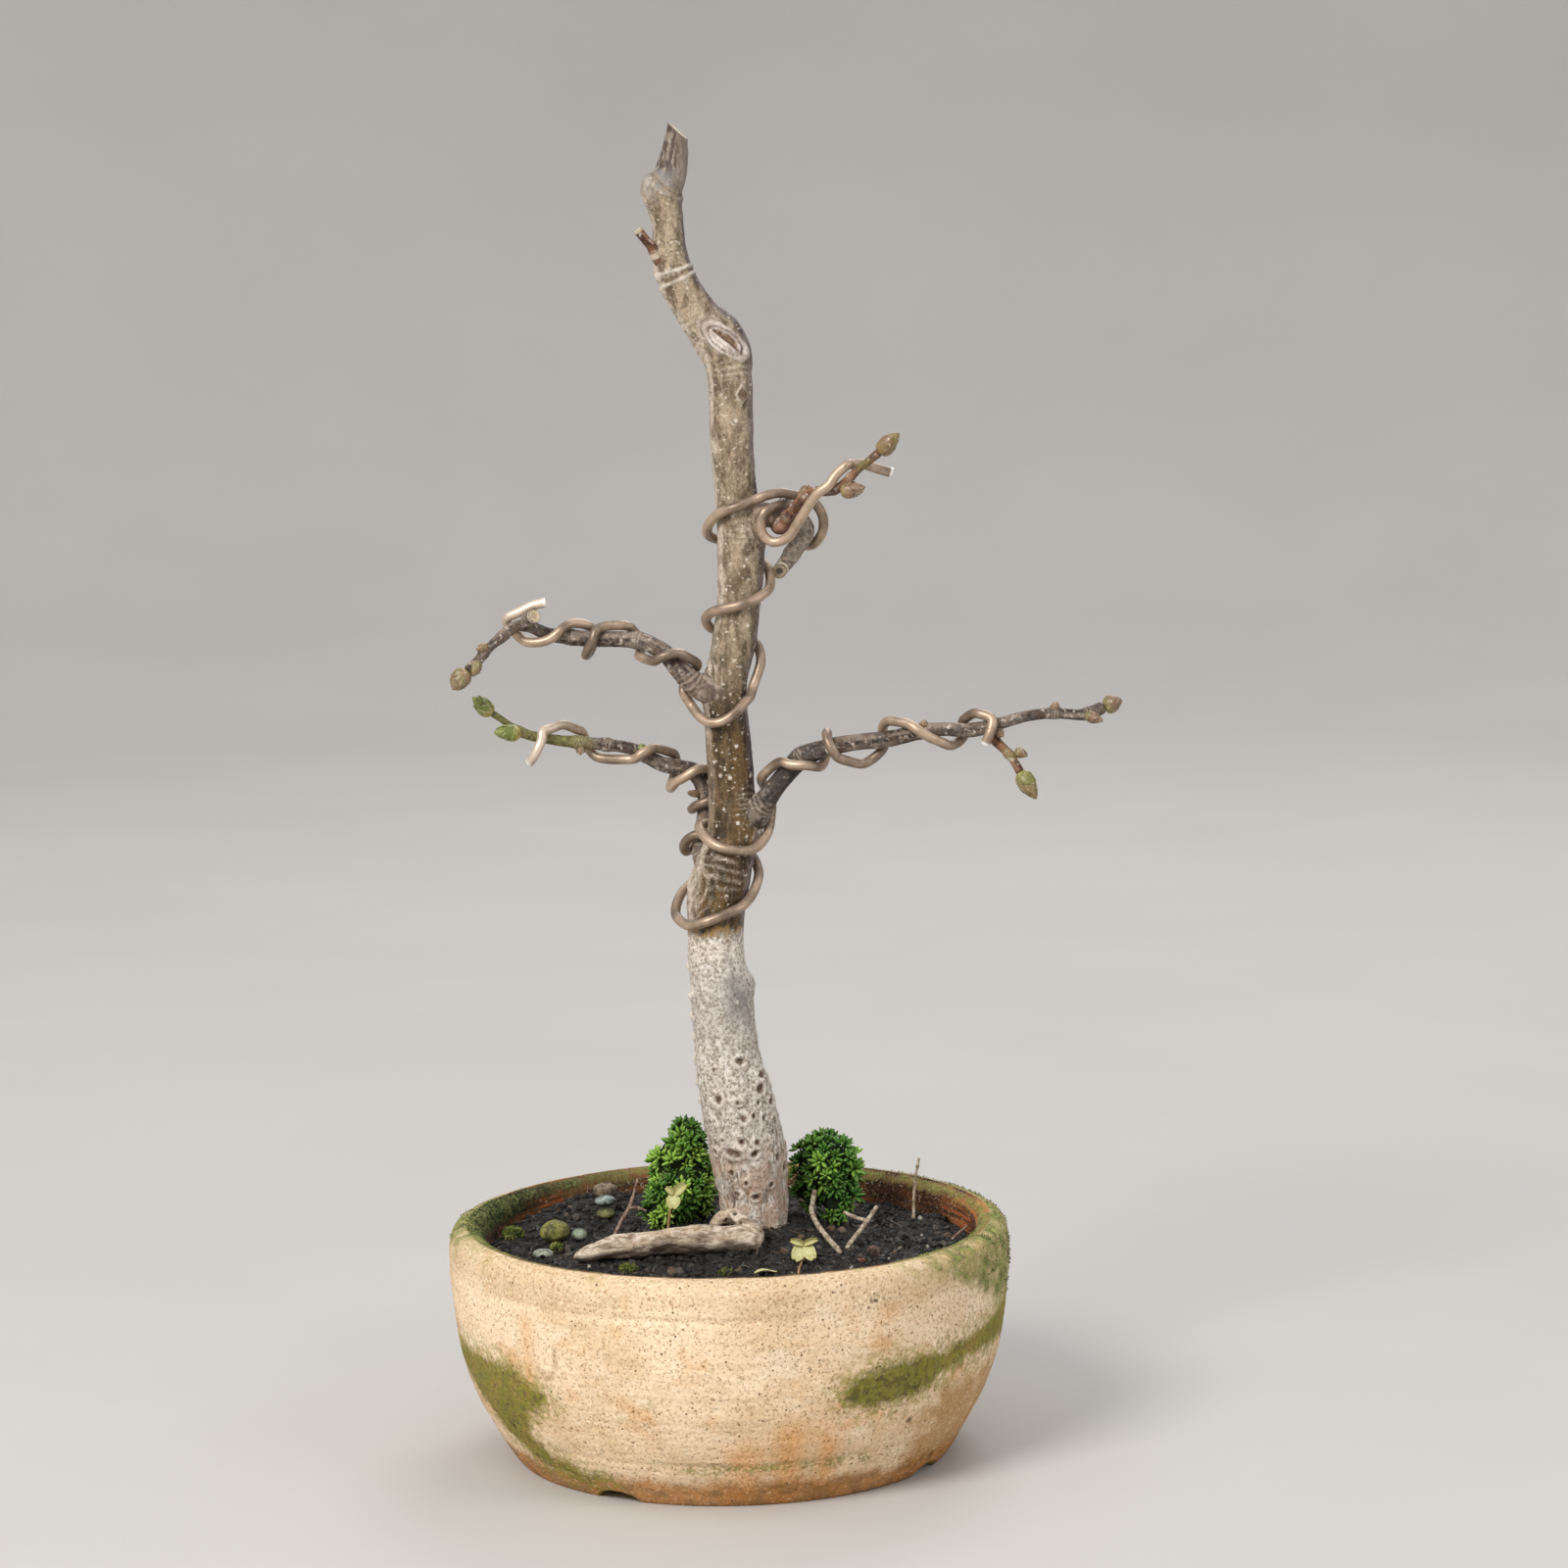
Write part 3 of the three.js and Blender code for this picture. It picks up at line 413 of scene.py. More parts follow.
def patch_distance(bearing, height, outline):
    """Distance outside a patch on the wall, in mm, from degrees round the bowl and heights."""
    across = np.radians(bearing) * PATCH_RADIUS
    corners = [(math.radians(b) * PATCH_RADIUS, h) for b, h in outline]
    return outline_distance(across, height, corners)


wall = resample(smooth_curve([(r, z, 0) for r, z in BOWL_PROFILE[2:-2]])[:, :2], 1.05)
profile = np.concatenate([resample(BOWL_PROFILE[:3], 8)[:-1], wall, resample(BOWL_PROFILE[-3:], 8)[1:]])
along = np.gradient(profile, axis=0)
along /= np.linalg.norm(along, axis=1)[:, None]
crown = int(np.argmax(profile[:, 1]))  # the first point past it is on the inner wall

bearing = np.linspace(-180, 180, BOWL_SIDES, endpoint=False)[None, :]  # 0 front, 90 right
radius, height = profile[:, :1] + 0 * bearing, profile[:, 1:] + 0 * bearing
bearing = bearing + 0 * radius
inner = np.zeros(radius.shape)
inner[crown:] = 1
turned = np.stack([np.sin(np.radians(bearing)), -np.cos(np.radians(bearing))], -1)
spots = np.concatenate([turned * radius[..., None], height[..., None]], -1)

on_wall = step_between(1.0, 5.0, height) * (1 - inner)
groove_reach = step_between(-62, -48, bearing) * (1 - step_between(8, 40, bearing))
relief = 0.42 * value_noise(spots, 75, 1) * step_between(0.6, 12, height)
relief += 0.07 * on_wall * np.sin(height * 2.1 + 2 * value_noise(spots, 40, 2))
relief += on_wall * (
    0.22 * rough_noise(spots * (1, 1, 3.2), 16, 3, 3) + 0.1 * rough_noise(spots, 2.6, 2, 5)
)
relief += inner * (
    0.35 * rough_noise(spots * (1, 1, 3), 12, 3, 4) + 0.1 * rough_noise(spots, 2.6, 2, 9)
)
groove_line = THROWING_GROOVE + 0.5 * value_noise(spots * (1, 1, 0), 22, 6)
relief -= on_wall * (0.12 + 0.5 * groove_reach) * hump(height, groove_line, 0.75)
relief -= 0.3 * on_wall * hump(height, FOOT_LINE, 0.7)
for level, turn in BOWL_PITS:
    relief -= 0.7 * hump(np.hypot((bearing - turn) * DEGREE, height - level), 0, 1.4)
across, lift = along[:, 1][:, None, None], -along[:, 0][:, None]
bowl_rings = np.concatenate([
    turned * (radius[..., None] + across * relief[..., None]),
    (height + lift * relief)[..., None],
], -1)

# By degrees from the front: how thick the moss is on the rim, and the height that it reaches down
# to on the outside and on the inside.
RIM_MOSS = [
    (-180, 0.4), (-150, 0.25), (-128, 0.3), (-112, 0.75), (-85, 0.9), (-66, 0.55), (-45, 0.26),
    (-20, 0.18), (20, 0.16), (36, 0.34), (50, 0.58), (68, 0.72), (95, 0.76), (112, 0.8), (140, 0.75),
    (160, 0.42), (180, 0.38),
]
MOSS_LINE = [
    (-180, 80), (-120, 80), (-95, 77), (-77, 78.5), (-64, 80), (-49, 82), (-38, 82.5), (-20, 83),
    (25, 82.8), (39, 79), (45, 75), (61, 66), (74, 56), (90, 54), (120, 72), (180, 80),
]
INNER_MOSS_LINE = [
    (-180, 82), (-150, 77), (-120, 74), (-95, 77), (-60, 80), (0, 82.4), (60, 82.5), (95, 84),
    (120, 86.5), (165, 86.5), (180, 82),
]
rim_share, moss_line, inner_line = (
    np.interp(bearing, *zip(*rows)) for rows in (RIM_MOSS, MOSS_LINE, INNER_MOSS_LINE)
)
grown_inside = step_between(-3, 3, height - inner_line)
grown_outside = step_between(-7, 8, height - moss_line)
growth = rim_share * np.where(inner > 0.5, grown_inside, grown_outside)
rim_edge = hump(np.abs(radius - 90) + 3 * (height < 80), 0, 2.0)  # where the rim turns inwards
growth += 0.42 * rim_edge * (0.5 + rim_share)
left_edge = patch_distance(bearing, height, PATCH_LEFT)
patches = np.minimum(left_edge, patch_distance(bearing, height, PATCH_RIGHT) + 0.6)
core = hump(np.hypot((bearing - 34) * DEGREE / 19, (height - 43) / 8.5), 0.3, 0.75)
fringe = hump(height, 15.6, 2.6) * step_between(-24, -6, bearing) * step_between(46, 34, bearing)
warm_left = 0.85 * hump(bearing, -126, 15) * step_between(88, 80, height)
warm = inner * np.maximum(hump(bearing, 97, 14), warm_left)
shade = inner * hump(bearing, -118, 42)
soot = hump(np.hypot((bearing - 30) * 1.7 / 6, (height - 72.5) / 2.6), 0, 1)
drip = np.hypot((bearing + 39.6) * DEGREE / 4.6, (height - 54) / 8.5)  # a dried drip's outline
drip_line = hump(drip, 1, 0.12) * step_between(60, 54, height)
streak = hump(bearing, -44.5, 1.6) * step_between(34, 44, height) * step_between(70, 62, height)
for middle, width, top in ((3, 5, 32), (13, 4, 40), (22, 3, 36)):  # orange runs over the foot
    run = hump(bearing, middle, width) * step_between(top, top - 12, height) * (inner < 0.5)
    streak = np.maximum(streak, run)


def terracotta_finish():
    clay = Finish("terracotta")
    height = clay.height()
    cloud = clay.noise(34, 4, (1, 1, 0.7))
    tone = clay.mix(cloud.rises(0.38, 0.62), 0xF4DBBA, 0xE5C7A0)
    tone = clay.mix(clay.noise(19, 4, (1, 1, 0.8), 8).rises(0.53, 0.7) * 0.5, tone, 0xDDA365)
    tone = clay.mix(clay.noise(13, 5, (1, 1, 0.7), 3, 0.65).rises(0.52, 0.7) * 0.45, tone, 0xF8EAD2)
    tone = clay.mix(clay.layer("streak") * (0.2 + cloud * 0.8), tone, 0xDE9F5E)
    bands = clay.noise(9, 4, (6, 6, 0.4), 11)
    tone = clay.shaded(tone, 0.86 + bands * 0.26)
    # a greyer stretch over the groove, a browner one low on the right, and the turned foot's orange
    tone = clay.mix((height + cloud * 12).rises(73, 82) * 0.45, tone, 0xC9AF8C)
    stain = clay.layer("stain") + (clay.noise(9, 4, shift=21) - 0.5) * 1.4
    tone = clay.mix(stain.rises(0.3, 1.0) * 0.75, tone, 0xAB7C43)
    foot = (height + clay.noise(12, 4, shift=5) * 11).rises(17.5, 12)
    orange = clay.mix(clay.noise(6, 4, shift=17).rises(0.4, 0.6), 0xB77C3C, 0x8F6330)
    tone = clay.mix(foot * 0.85, tone, orange)
    # algae: an olive film in two patches, darkest in the right one's core, and a fringe at the foot
    fine = clay.noise(1.4, 4, shift=4, roughness=0.7)
    edge = clay.layer("patches") + (clay.noise(5, 5, shift=2) - 0.5) * 9 + (fine - 0.5) * 6
    film = clay.mix(fine.rises(0.36, 0.62), 0x5C4816, 0xA0893F)
    greener = clay.mix(fine.rises(0.4, 0.62), 0x3A440E, 0x74792B)
    film = clay.mix(clay.noise(9, 4, shift=6).rises(0.42, 0.58) * 0.7, film, greener)
    darker = clay.mix(fine.rises(0.35, 0.65), 0x23280A, 0x66661E)
    film = clay.mix((clay.layer("core") + (fine - 0.5)).rises(0.25, 0.65) * 0.9, film, darker)
    covered = edge.rises(2.2, -3.2)
    tone = clay.mix(covered * (0.74 + fine * 0.4), tone, film)
    scattered = clay.noise(2.6, 4, shift=19).rises(0.4, 0.58)
    tone = clay.mix(edge.rises(9, 0) * scattered * 0.65, tone, 0x8C8838)
    fringe = clay.layer("fringe") * clay.noise(8, 4, (1, 1, 0.6), 23).rises(0.42, 0.56)
    tone = clay.mix(fringe * fine.rises(0.35, 0.6) * 0.85, tone, 0x737A2C)
    # the inner wall stays dark brown, orange at both ends, with dark runs along the throwing rings
    runs = clay.noise(5, 5, (5, 5, 0.26), 15)
    raw = clay.mix(clay.noise(17, 3, shift=9).rises(0.4, 0.6), 0x452A1C, 0x754629)
    raw = clay.mix(clay.layer("warm") * 0.85, raw, 0xC26A33)
    raw = clay.mix(runs.rises(0.44, 0.6) * 0.85, raw, 0x1E130C)
    tone = clay.mix(clay.layer("inner"), tone, raw)
    # grain: a dense fine dark speckle, with larger black specks here and there
    grain = clay.noise(1.15, 3, shift=7, roughness=0.75)
    tone = clay.shaded(tone, 0.62 + grain * 0.76)
    bare = 0.6 + covered * -0.5
    tone = clay.mix(grain.rises(0.44, 0.34) * bare * 1.25, tone, 0x9A7246)
    tone = clay.mix(grain.rises(0.58, 0.7) * bare, tone, 0xFDF1DC)
    dots = clay.cells(1.5, shift=1).rises(0.27, 0.15)
    tone = clay.mix(dots * clay.noise(11, 3, shift=12).rises(0.3, 0.56) * 0.7, tone, 0x7C5632)
    specks = clay.cells(3.8, shift=6).rises(0.12, 0.07)
    tone = clay.mix(specks * 0.8, tone, 0x3E2C1E)
    tone = clay.mix(clay.layer("soot") * clay.cells(1.8, shift=3).rises(0.4, 0.28) * 0.9, tone, 0x2E2018)
    tone = clay.mix(clay.layer("drip") * 0.5, tone, 0x8A6238)
    tone = clay.mix(clay.layer("pit").rises(0.2, 0.7) * 0.8, tone, 0x4A3120)
    # moss: yellow-olive where it is thin, dark to bright green where it is thick
    tufts = clay.noise(1.6, 5, shift=13, roughness=0.65)
    green = clay.mix(tufts.rises(0.36, 0.62), 0x26340F, 0x9AA458)
    green = clay.mix(clay.noise(8, 4, shift=18).rises(0.48, 0.6) * 0.6, green, 0xAAA560)
    green = clay.mix(clay.noise(4.5, 4, shift=26).rises(0.54, 0.64) * 0.7, green, 0x33321A)
    shaded_green = clay.mix(tufts.rises(0.4, 0.64), 0x10190A, 0x55633A)
    green = clay.mix(clay.layer("shade") * 0.75, green, shaded_green)
    reach = clay.layer("growth") + (clay.noise(7, 5, shift=14, roughness=0.6) - 0.5) * 1.5
    reach = reach + (tufts - 0.5) * 0.9
    shaded_film = clay.mix(tufts.rises(0.4, 0.6), 0x1A1C10, 0x4A4630)
    film = clay.mix(clay.layer("shade"), 0xA29A58, shaded_film)
    tone = clay.mix(reach.rises(0.1, 0.55) * (clay.layer("shade") * 0.4 + 0.5), tone, film)
    tone = clay.mix(reach.rises(0.45, 0.85) * 0.9, tone, green)
    relief = grain * 0.9 + tufts * reach.rises(0.4, 0.9) * 2.2 + clay.noise(3, 3, (2, 2, 0.7)) - specks * 0.8
    return clay.done(tone, 0.92, relief, 0.36, Specular_IOR_Level=0.22)


terracotta = terracotta_finish()
stain = step_between(30, 56, bearing) * step_between(50, 28, height) * step_between(120, 90, bearing)
stain = np.maximum(stain, 0.55 * step_between(-60, -80, bearing) * step_between(80, 60, height))
pit = sum(hump(np.hypot((bearing - turn) * DEGREE, height - level), 0, 1.4) for level, turn in BOWL_PITS)
bowl = skin("pot_bowl", bowl_rings, terracotta, {
    "growth": growth, "patches": patches, "inner": inner, "drip": drip_line, "stain": stain, "core": core,
    "fringe": fringe, "warm": warm, "shade": shade, "soot": soot, "streak": streak, "pit": pit,
})


def cutter(name, radii, length, place, turn, across):
    """A rod with an oval section, made only to cut with."""
    angles = np.linspace(0, 2 * math.pi, 40, endpoint=False)
    ring = np.stack([np.cos(angles) * radii[0], np.sin(angles) * radii[1]], -1)
    ends = []
    for z in np.linspace(-length / 2, length / 2, 2):
        ends.append(np.concatenate([ring, np.full((len(ring), 1), z)], -1))
    rings = np.array(ends)
    if across:  # laid along the radius
        rings = np.stack([rings[..., 2], rings[..., 0], rings[..., 1]], -1)
    spin = np.array([[math.cos(turn), -math.sin(turn)], [math.sin(turn), math.cos(turn)]])
    rings = rings + np.array(place)
    rings[..., :2] = rings[..., :2] @ spin.T
    return skin(name, rings, terracotta)


def cut_away(piece, tools):
    for tool in tools:
        cut = piece.modifiers.new(tool.name, "BOOLEAN")
        cut.operation, cut.solver, cut.object = "DIFFERENCE", "MANIFOLD", tool
    bake_modifiers(piece)
    for tool in tools:
        bpy.data.objects.remove(tool)


def bake_modifiers(piece):
    """Turns an object with modifiers into a plain mesh."""
    view = bpy.context.evaluated_depsgraph_get()
    before = piece.data
    piece.data = bpy.data.meshes.new_from_object(piece.evaluated_get(view), depsgraph=view)
    piece.modifiers.clear()
    bpy.data.meshes.remove(before)


def join_meshes(objects):
    """One object made of several; the first one keeps its name."""
    with bpy.context.temp_override(active_object=objects[0], selected_editable_objects=objects):
        bpy.ops.object.join()
    return objects[0]


channels, holes = [], []
for angle in map(math.radians, DRAIN_ANGLES):
    radii = (CHANNEL_HALF_WIDTH, CHANNEL_HEIGHT)
    channels.append(cutter("channel", radii, 46, (DRAIN_CIRCLE + 23, 0, 0), angle, True))
    holes.append(cutter("hole", (DRAIN_RADIUS, DRAIN_RADIUS), 30, (DRAIN_CIRCLE, 0, 0), angle, False))
cut_away(bowl, [join_meshes(channels), join_meshes(holes)])
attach(bowl, "root")
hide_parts("pot")

# ----------------------------------------------------------------------------------------------
# The drain screen: a round of plastic mesh cut from a sheet. It lies on the bowl's floor, under
# the soil, and shows only through the drain holes.

SCREEN_RADIUS = 57.4
SCREEN_PITCH = 2.5
STRAND = 0.42  # half the thickness of a strand
SCREEN_HEIGHT = 9.8


class Recipe(NodeTree):
    """A Geometry Nodes tree with named inputs. It ends in Realize Instances and Set Material."""

    def __init__(self, name):
        super().__init__(bpy.data.node_groups.new(name, "GeometryNodeTree"))
        self.values = {}
        for side in ("INPUT", "OUTPUT"):
            self.tree.interface.new_socket("Geometry", in_out=side, socket_type="NodeSocketGeometry")
        self.entry = self.tree.nodes.new("NodeGroupInput")
        self.shape = Signal(self, self.entry.outputs["Geometry"])

    def given(self, name, value, kind="Float"):
        """A named input, and the value that the piece's modifier gives it."""
        socket = self.tree.interface.new_socket(name, in_out="INPUT", socket_type="NodeSocket" + kind)
        self.values[socket.identifier] = value
        return Signal(self, self.entry.outputs[name])

    def random(self, low, high, seed):
        is_vector = isinstance(low, tuple)
        first = 0 if is_vector else 2
        settings = {"data_type": "FLOAT_VECTOR" if is_vector else "FLOAT"}
        sockets = {first: low, first + 1: high, "Seed": seed}
        return self.node("FunctionNodeRandomValue", settings, sockets, 0 if is_vector else 1)

    def vector(self, x, y, z):
        return self.node("ShaderNodeCombineXYZ", sockets={0: x, 1: y, 2: z})

    def part_of(self, vector, index):
        return self.node("ShaderNodeSeparateXYZ", sockets={0: vector}, output=index)

    def moved(self, shape, offset):
        return self.node("GeometryNodeSetPosition", sockets={"Geometry": shape, "Offset": offset})

    def placed(self, points, shape, rotation, scale):
        sockets = {"Points": points, "Instance": shape, "Rotation": rotation, "Scale": scale}
        return self.node("GeometryNodeInstanceOnPoints", sockets=sockets)

    def marked(self, shape, name, value, domain="INSTANCE"):
        settings = {"data_type": "FLOAT", "domain": domain}
        sockets = {"Geometry": shape, "Name": name, "Value": value}
        return self.node("GeometryNodeStoreNamedAttribute", settings, sockets)

    def joined(self, *shapes):
        made = self.tree.nodes.new("GeometryNodeJoinGeometry")
        for shape in shapes:
            self.tree.links.new(shape.socket, made.inputs[0])
        return Signal(self, made.outputs[0])

    def position(self):
        return self.node("GeometryNodeInputPosition")

    def jitter(self, size, amount):
        """An uneven offset; size is the width of one bump in mm, amount its height."""
        sockets = {"Vector": self.position(), "Scale": 1 / size / MM, "Detail": 1.0}
        cloud = self.node("ShaderNodeTexNoise", sockets=sockets, output="Color")
        sockets = {0: cloud, 1: (0.5, 0.5, 0.5)}
        centred = self.node("ShaderNodeVectorMath", {"operation": "SUBTRACT"}, sockets)
        return self.scaled(centred, amount * 2 * MM)

    def tube(self, line, sides, radius):
        """A rod along a line, with closed ends."""
        circle = {"Resolution": sides, "Radius": radius}
        section = self.node("GeometryNodeCurvePrimitiveCircle", sockets=circle)
        sockets = {"Curve": line, "Profile Curve": section, "Fill Caps": True}
        return self.node("GeometryNodeCurveToMesh", sockets=sockets)

    def run(self, piece, shape, finish):
        """Ends the tree, runs it on the piece, and leaves a plain mesh."""
        real = self.node("GeometryNodeRealizeInstances", sockets={"Geometry": shape})
        made = self.node("GeometryNodeSetMaterial", sockets={"Geometry": real, "Material": finish})
        self.node("NodeGroupOutput", sockets={0: made})
        work = piece.modifiers.new(self.tree.name, "NODES")
        work.node_group = self.tree
        for identifier, value in self.values.items():
            work[identifier] = value
        bake_modifiers(piece)
        return piece


def keep(piece, slot, *nodes):
    """The piece is part of the object: it stands for the CAD nodes, which it hides. The slot is not used."""
    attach(piece, "root")
    if nodes:
        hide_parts(*nodes)


def screen_finish():
    plastic = Finish("drain_mesh")
    dust = plastic.noise(4, 4).rises(0.45, 0.7)
    tone = plastic.mix(dust, 0x1C211C, 0x54483A)
    return plastic.done(tone, 0.55 + dust * 0.35, plastic.noise(1.2, 3), 0.08)


def strand_lines():
    """End points of the strands: one way a little over the other, cut off at the round's edge."""
    points = []
    for across in np.arange(-SCREEN_RADIUS + 1, SCREEN_RADIUS, SCREEN_PITCH):
        half = math.sqrt(SCREEN_RADIUS**2 - across**2)
        points += [(-half, across, SCREEN_HEIGHT - 0.2), (half, across, SCREEN_HEIGHT - 0.2)]
        points += [(across, -half, SCREEN_HEIGHT + 0.2), (across, half, SCREEN_HEIGHT + 0.2)]
    return np.array(points), [(i, i + 1) for i in range(0, len(points), 2)]


def line_object(name, points, edges=None):
    """A line in space with no surface, for a recipe to work on."""
    edges = edges or [(i, i + 1) for i in range(len(points) - 1)]
    mesh = bpy.data.meshes.new(name)
    mesh.from_pydata((np.asarray(points) * MM).tolist(), edges, [])
    made = bpy.data.objects.new(name, mesh)
    scene.collection.objects.link(made)
    return made


recipe = Recipe("strands")
lines = recipe.node("GeometryNodeMeshToCurve", sockets={"Mesh": recipe.shape})
strands = recipe.tube(lines, 6, recipe.given("Strand radius", STRAND * MM))
screen = recipe.run(line_object("drain_screen_mesh", *strand_lines()), strands, screen_finish())
keep(screen, "drain_mesh", "drain_screen")

# ----------------------------------------------------------------------------------------------
# The soil: dark, moist potting mix, heaped a little round the trunk and at the back left. Crumbs,
# shreds, chips and fibres lie on it. It hides the roots and holds all that is set in it.

SOIL_LEVEL = 73.6
SOIL_HILLS = [(9, 2, 10, 22), (-46, 52, 7, 16)]  # x, y, height, spread
SOIL_WALL = [  # radius and height, from the bowl's floor up its wall
    (40, 10.6), (64.6, 10.6), (70.0, 13.6), (77.0, 24.4), (82.0, 38.4), (85.3, 54.4), (86.6, 66),
    (86.9, 72.2),
]
SOIL_SIDES = 270
LITTER_FROM = 72.2  # height from which loose bits lie on the soil
CRUMBS, SHREDS, CHIPS, FIBRES = 150000, 26000, 9000, 5200  # to a square metre
ANY_WAY = ((0.0, 0.0, 0.0), (6.28, 6.28, 6.28))  # radians, about each axis


def soil_height(x, y):
    ripple = 0.35 * np.sin(x * 0.31 + 1) * np.cos(y * 0.27) + 0.25 * np.sin(x * 0.13 - y * 0.21)
    total = 0
    for middle_x, middle_y, height, spread in SOIL_HILLS:
        away = (x - middle_x) ** 2 + (y - middle_y) ** 2
        total = total + height * np.exp(-away / (2 * spread**2))
    return SOIL_LEVEL + total + ripple


def soil_finish():
    soil = Finish("soil")
    crumb = soil.layer("tone")
    clods = soil.noise(2.4, 5, roughness=0.65)
    tone = soil.mix(clods.rises(0.36, 0.7), 0x050403, 0x2A2520)
    tone = soil.mix(soil.noise(16, 3, shift=4).rises(0.45, 0.62) * 0.35, tone, 0x241B14)
    tone = soil.mix(crumb.rises(0.3, 0.8), tone, soil.mix(clods.rises(0.3, 0.7), 0x0A0806, 0x302A24))
    tone = soil.mix(crumb.rises(0.62, 0.66) * crumb.rises(0.74, 0.7) * 0.7, tone, 0x5E564E)
    tone = soil.mix(crumb.rises(0.88, 0.94), tone, 0x5E4A38)
    tone = soil.mix(crumb.rises(0.965, 0.98), tone, 0xA39C90)
    damp = soil.noise(11, 2, shift=9).rises(0.5, 0.7)
    tone = soil.mix(damp * soil.noise(1.6, 3, shift=6).rises(0.56, 0.66) * 0.5, tone, 0x36452C)
    wet = soil.noise(1.8, 3, shift=13).rises(0.52, 0.62) * 0.55
    relief = clods + soil.noise(0.7, 2) * 0.3
    return soil.done(tone, 0.95 - damp * 0.2 - wet, relief, 1.1, Specular_IOR_Level=0.5)


soil_turn = np.linspace(0, 2 * math.pi, SOIL_SIDES, endpoint=False)
top_radii = np.linspace(86.2, 1.2, 80)
wall_rings = [(r, z) for r, z in resample(SOIL_WALL, 3)]
soil_radii = np.array([r for r, _ in wall_rings] + list(top_radii))[:, None] + 0 * soil_turn
x, y = soil_radii * np.sin(soil_turn), -soil_radii * np.cos(soil_turn)
level = np.array([z for _, z in wall_rings] + [0] * len(top_radii))[:, None] + 0 * x
is_top = np.arange(len(level)) >= len(wall_rings)
flat = np.stack([x, y, 0 * x], -1)
clods = 1.1 * rough_noise(flat, 11, 3, 31) + 2.3 * np.abs(rough_noise(flat, 5.2, 3, 35)) - 0.8
edge_fade = step_between(88, 78, soil_radii)
clods = clods * (0.35 + 0.65 * edge_fade)
level[is_top] = (soil_height(x, y) + clods - 1.1 * (1 - edge_fade))[is_top]
soil = skin("soil_fill", np.stack([x, y, level], -1), soil_finish())

recipe = Recipe("crumbs_and_shreds")
high_enough = recipe.part_of(recipe.position(), 2).math("GREATER_THAN", LITTER_FROM * MM)


def litter_spots(name, density, seed):
    """Where one kind of loose bit lies."""
    sockets = {"Mesh": recipe.shape, "Selection": high_enough, "Seed": seed}
    sockets["Density"] = recipe.given(name, density)
    return recipe.node("GeometryNodeDistributePointsOnFaces", sockets=sockets)


def bent_rod(samples, start, middle, end, sides, radius):
    """A thin bit of bark or root, about 1 long before it is scaled."""
    sockets = {"Resolution": samples, "Start": start, "Middle": middle, "End": end}
    line = recipe.node("GeometryNodeCurveQuadraticBezier", sockets=sockets)
    return recipe.tube(line, sides, radius)


def knocked(bits, bump, height):
    """The bits as plain faces, each with an uneven shape of its own."""
    bits = recipe.node("GeometryNodeRealizeInstances", sockets={"Geometry": bits})
    return recipe.moved(bits, recipe.jitter(bump, height))


crumb_spots = litter_spots("Crumbs", CRUMBS, 3)
ball = recipe.node("GeometryNodeMeshIcoSphere", sockets={"Radius": 0.5, "Subdivisions": 1})
small = recipe.random(0.0, 1.0, 5).math("POWER", 2.6)
crumb_size = (small * 2.1 + 0.3) * recipe.given("Crumb size", 1.9 * MM)
crumb_size = recipe.scaled(recipe.random((0.6, 0.6, 0.45), (1.3, 1.1, 0.9), 7), crumb_size)
crumbs = recipe.placed(crumb_spots, ball, recipe.random(*ANY_WAY, 8), crumb_size)
crumbs = knocked(recipe.marked(crumbs, "tone", recipe.random(0.0, 0.985, 9)), 1.1, 0.32)

shred_spots = litter_spots("Shreds", SHREDS, 4)
shred = bent_rod(4, (-0.5, 0, 0), (0, 0.12, 0.3), (0.5, 0, 0), 4, 0.05)
shred_size = recipe.random((2.2, 3.5, 1.2), (8.5, 9.0, 5.0), 12)
shred_size = recipe.scaled(shred_size, recipe.given("Shred size", 1.0 * MM))
lean = recipe.random((-0.25, -0.35, 0.0), (0.25, 0.35, 6.28), 13)
shreds = recipe.placed(shred_spots, shred, lean, shred_size)
shreds = recipe.marked(shreds, "tone", recipe.random(0.35, 0.97, 14))

chip_spots = litter_spots("Chips", CHIPS, 6)
pebbly = recipe.node("GeometryNodeMeshIcoSphere", sockets={"Radius": 0.5, "Subdivisions": 2})
chip_size = recipe.random((2.4, 1.8, 1.0), (5.4, 4.0, 2.4), 16)
chip_size = recipe.scaled(chip_size, recipe.given("Chip size", 1.0 * MM))
lean = recipe.random((-0.6, -0.6, 0.0), (0.6, 0.6, 6.28), 17)
chips = recipe.placed(chip_spots, pebbly, lean, chip_size)
chips = knocked(recipe.marked(chips, "tone", recipe.random(0.2, 0.93, 18)), 1.7, 0.75)

fibre_spots = litter_spots("Fibres", FIBRES, 8)
fibre = bent_rod(8, (-0.5, 0, -0.1), (0.1, 0.3, 0.35), (0.5, -0.1, -0.1), 5, 0.02)
fibre_size = recipe.random((9.0, 9.0, 3.0), (19.0, 24.0, 9.0), 19)
fibre_size = recipe.scaled(fibre_size, recipe.given("Fibre size", 1.0 * MM))
lean = recipe.random((-0.15, -0.15, 0.0), (0.15, 0.15, 6.28), 20)
fibres = recipe.placed(fibre_spots, fibre, lean, fibre_size)
fibres = recipe.marked(fibres, "tone", recipe.random(0.5, 0.96, 21))

covered = recipe.joined(recipe.shape, crumbs, shreds, chips, fibres)
soil = recipe.run(soil, covered, soil.data.materials[0])
keep(soil, "soil", "soil")

# ----------------------------------------------------------------------------------------------
# The trunk: one grown stem, grey and pitted where it is old, olive-brown above the lowest wire.
# Its tip was cut off on a slant, and a branch was cut off near the top, where a callus has grown.

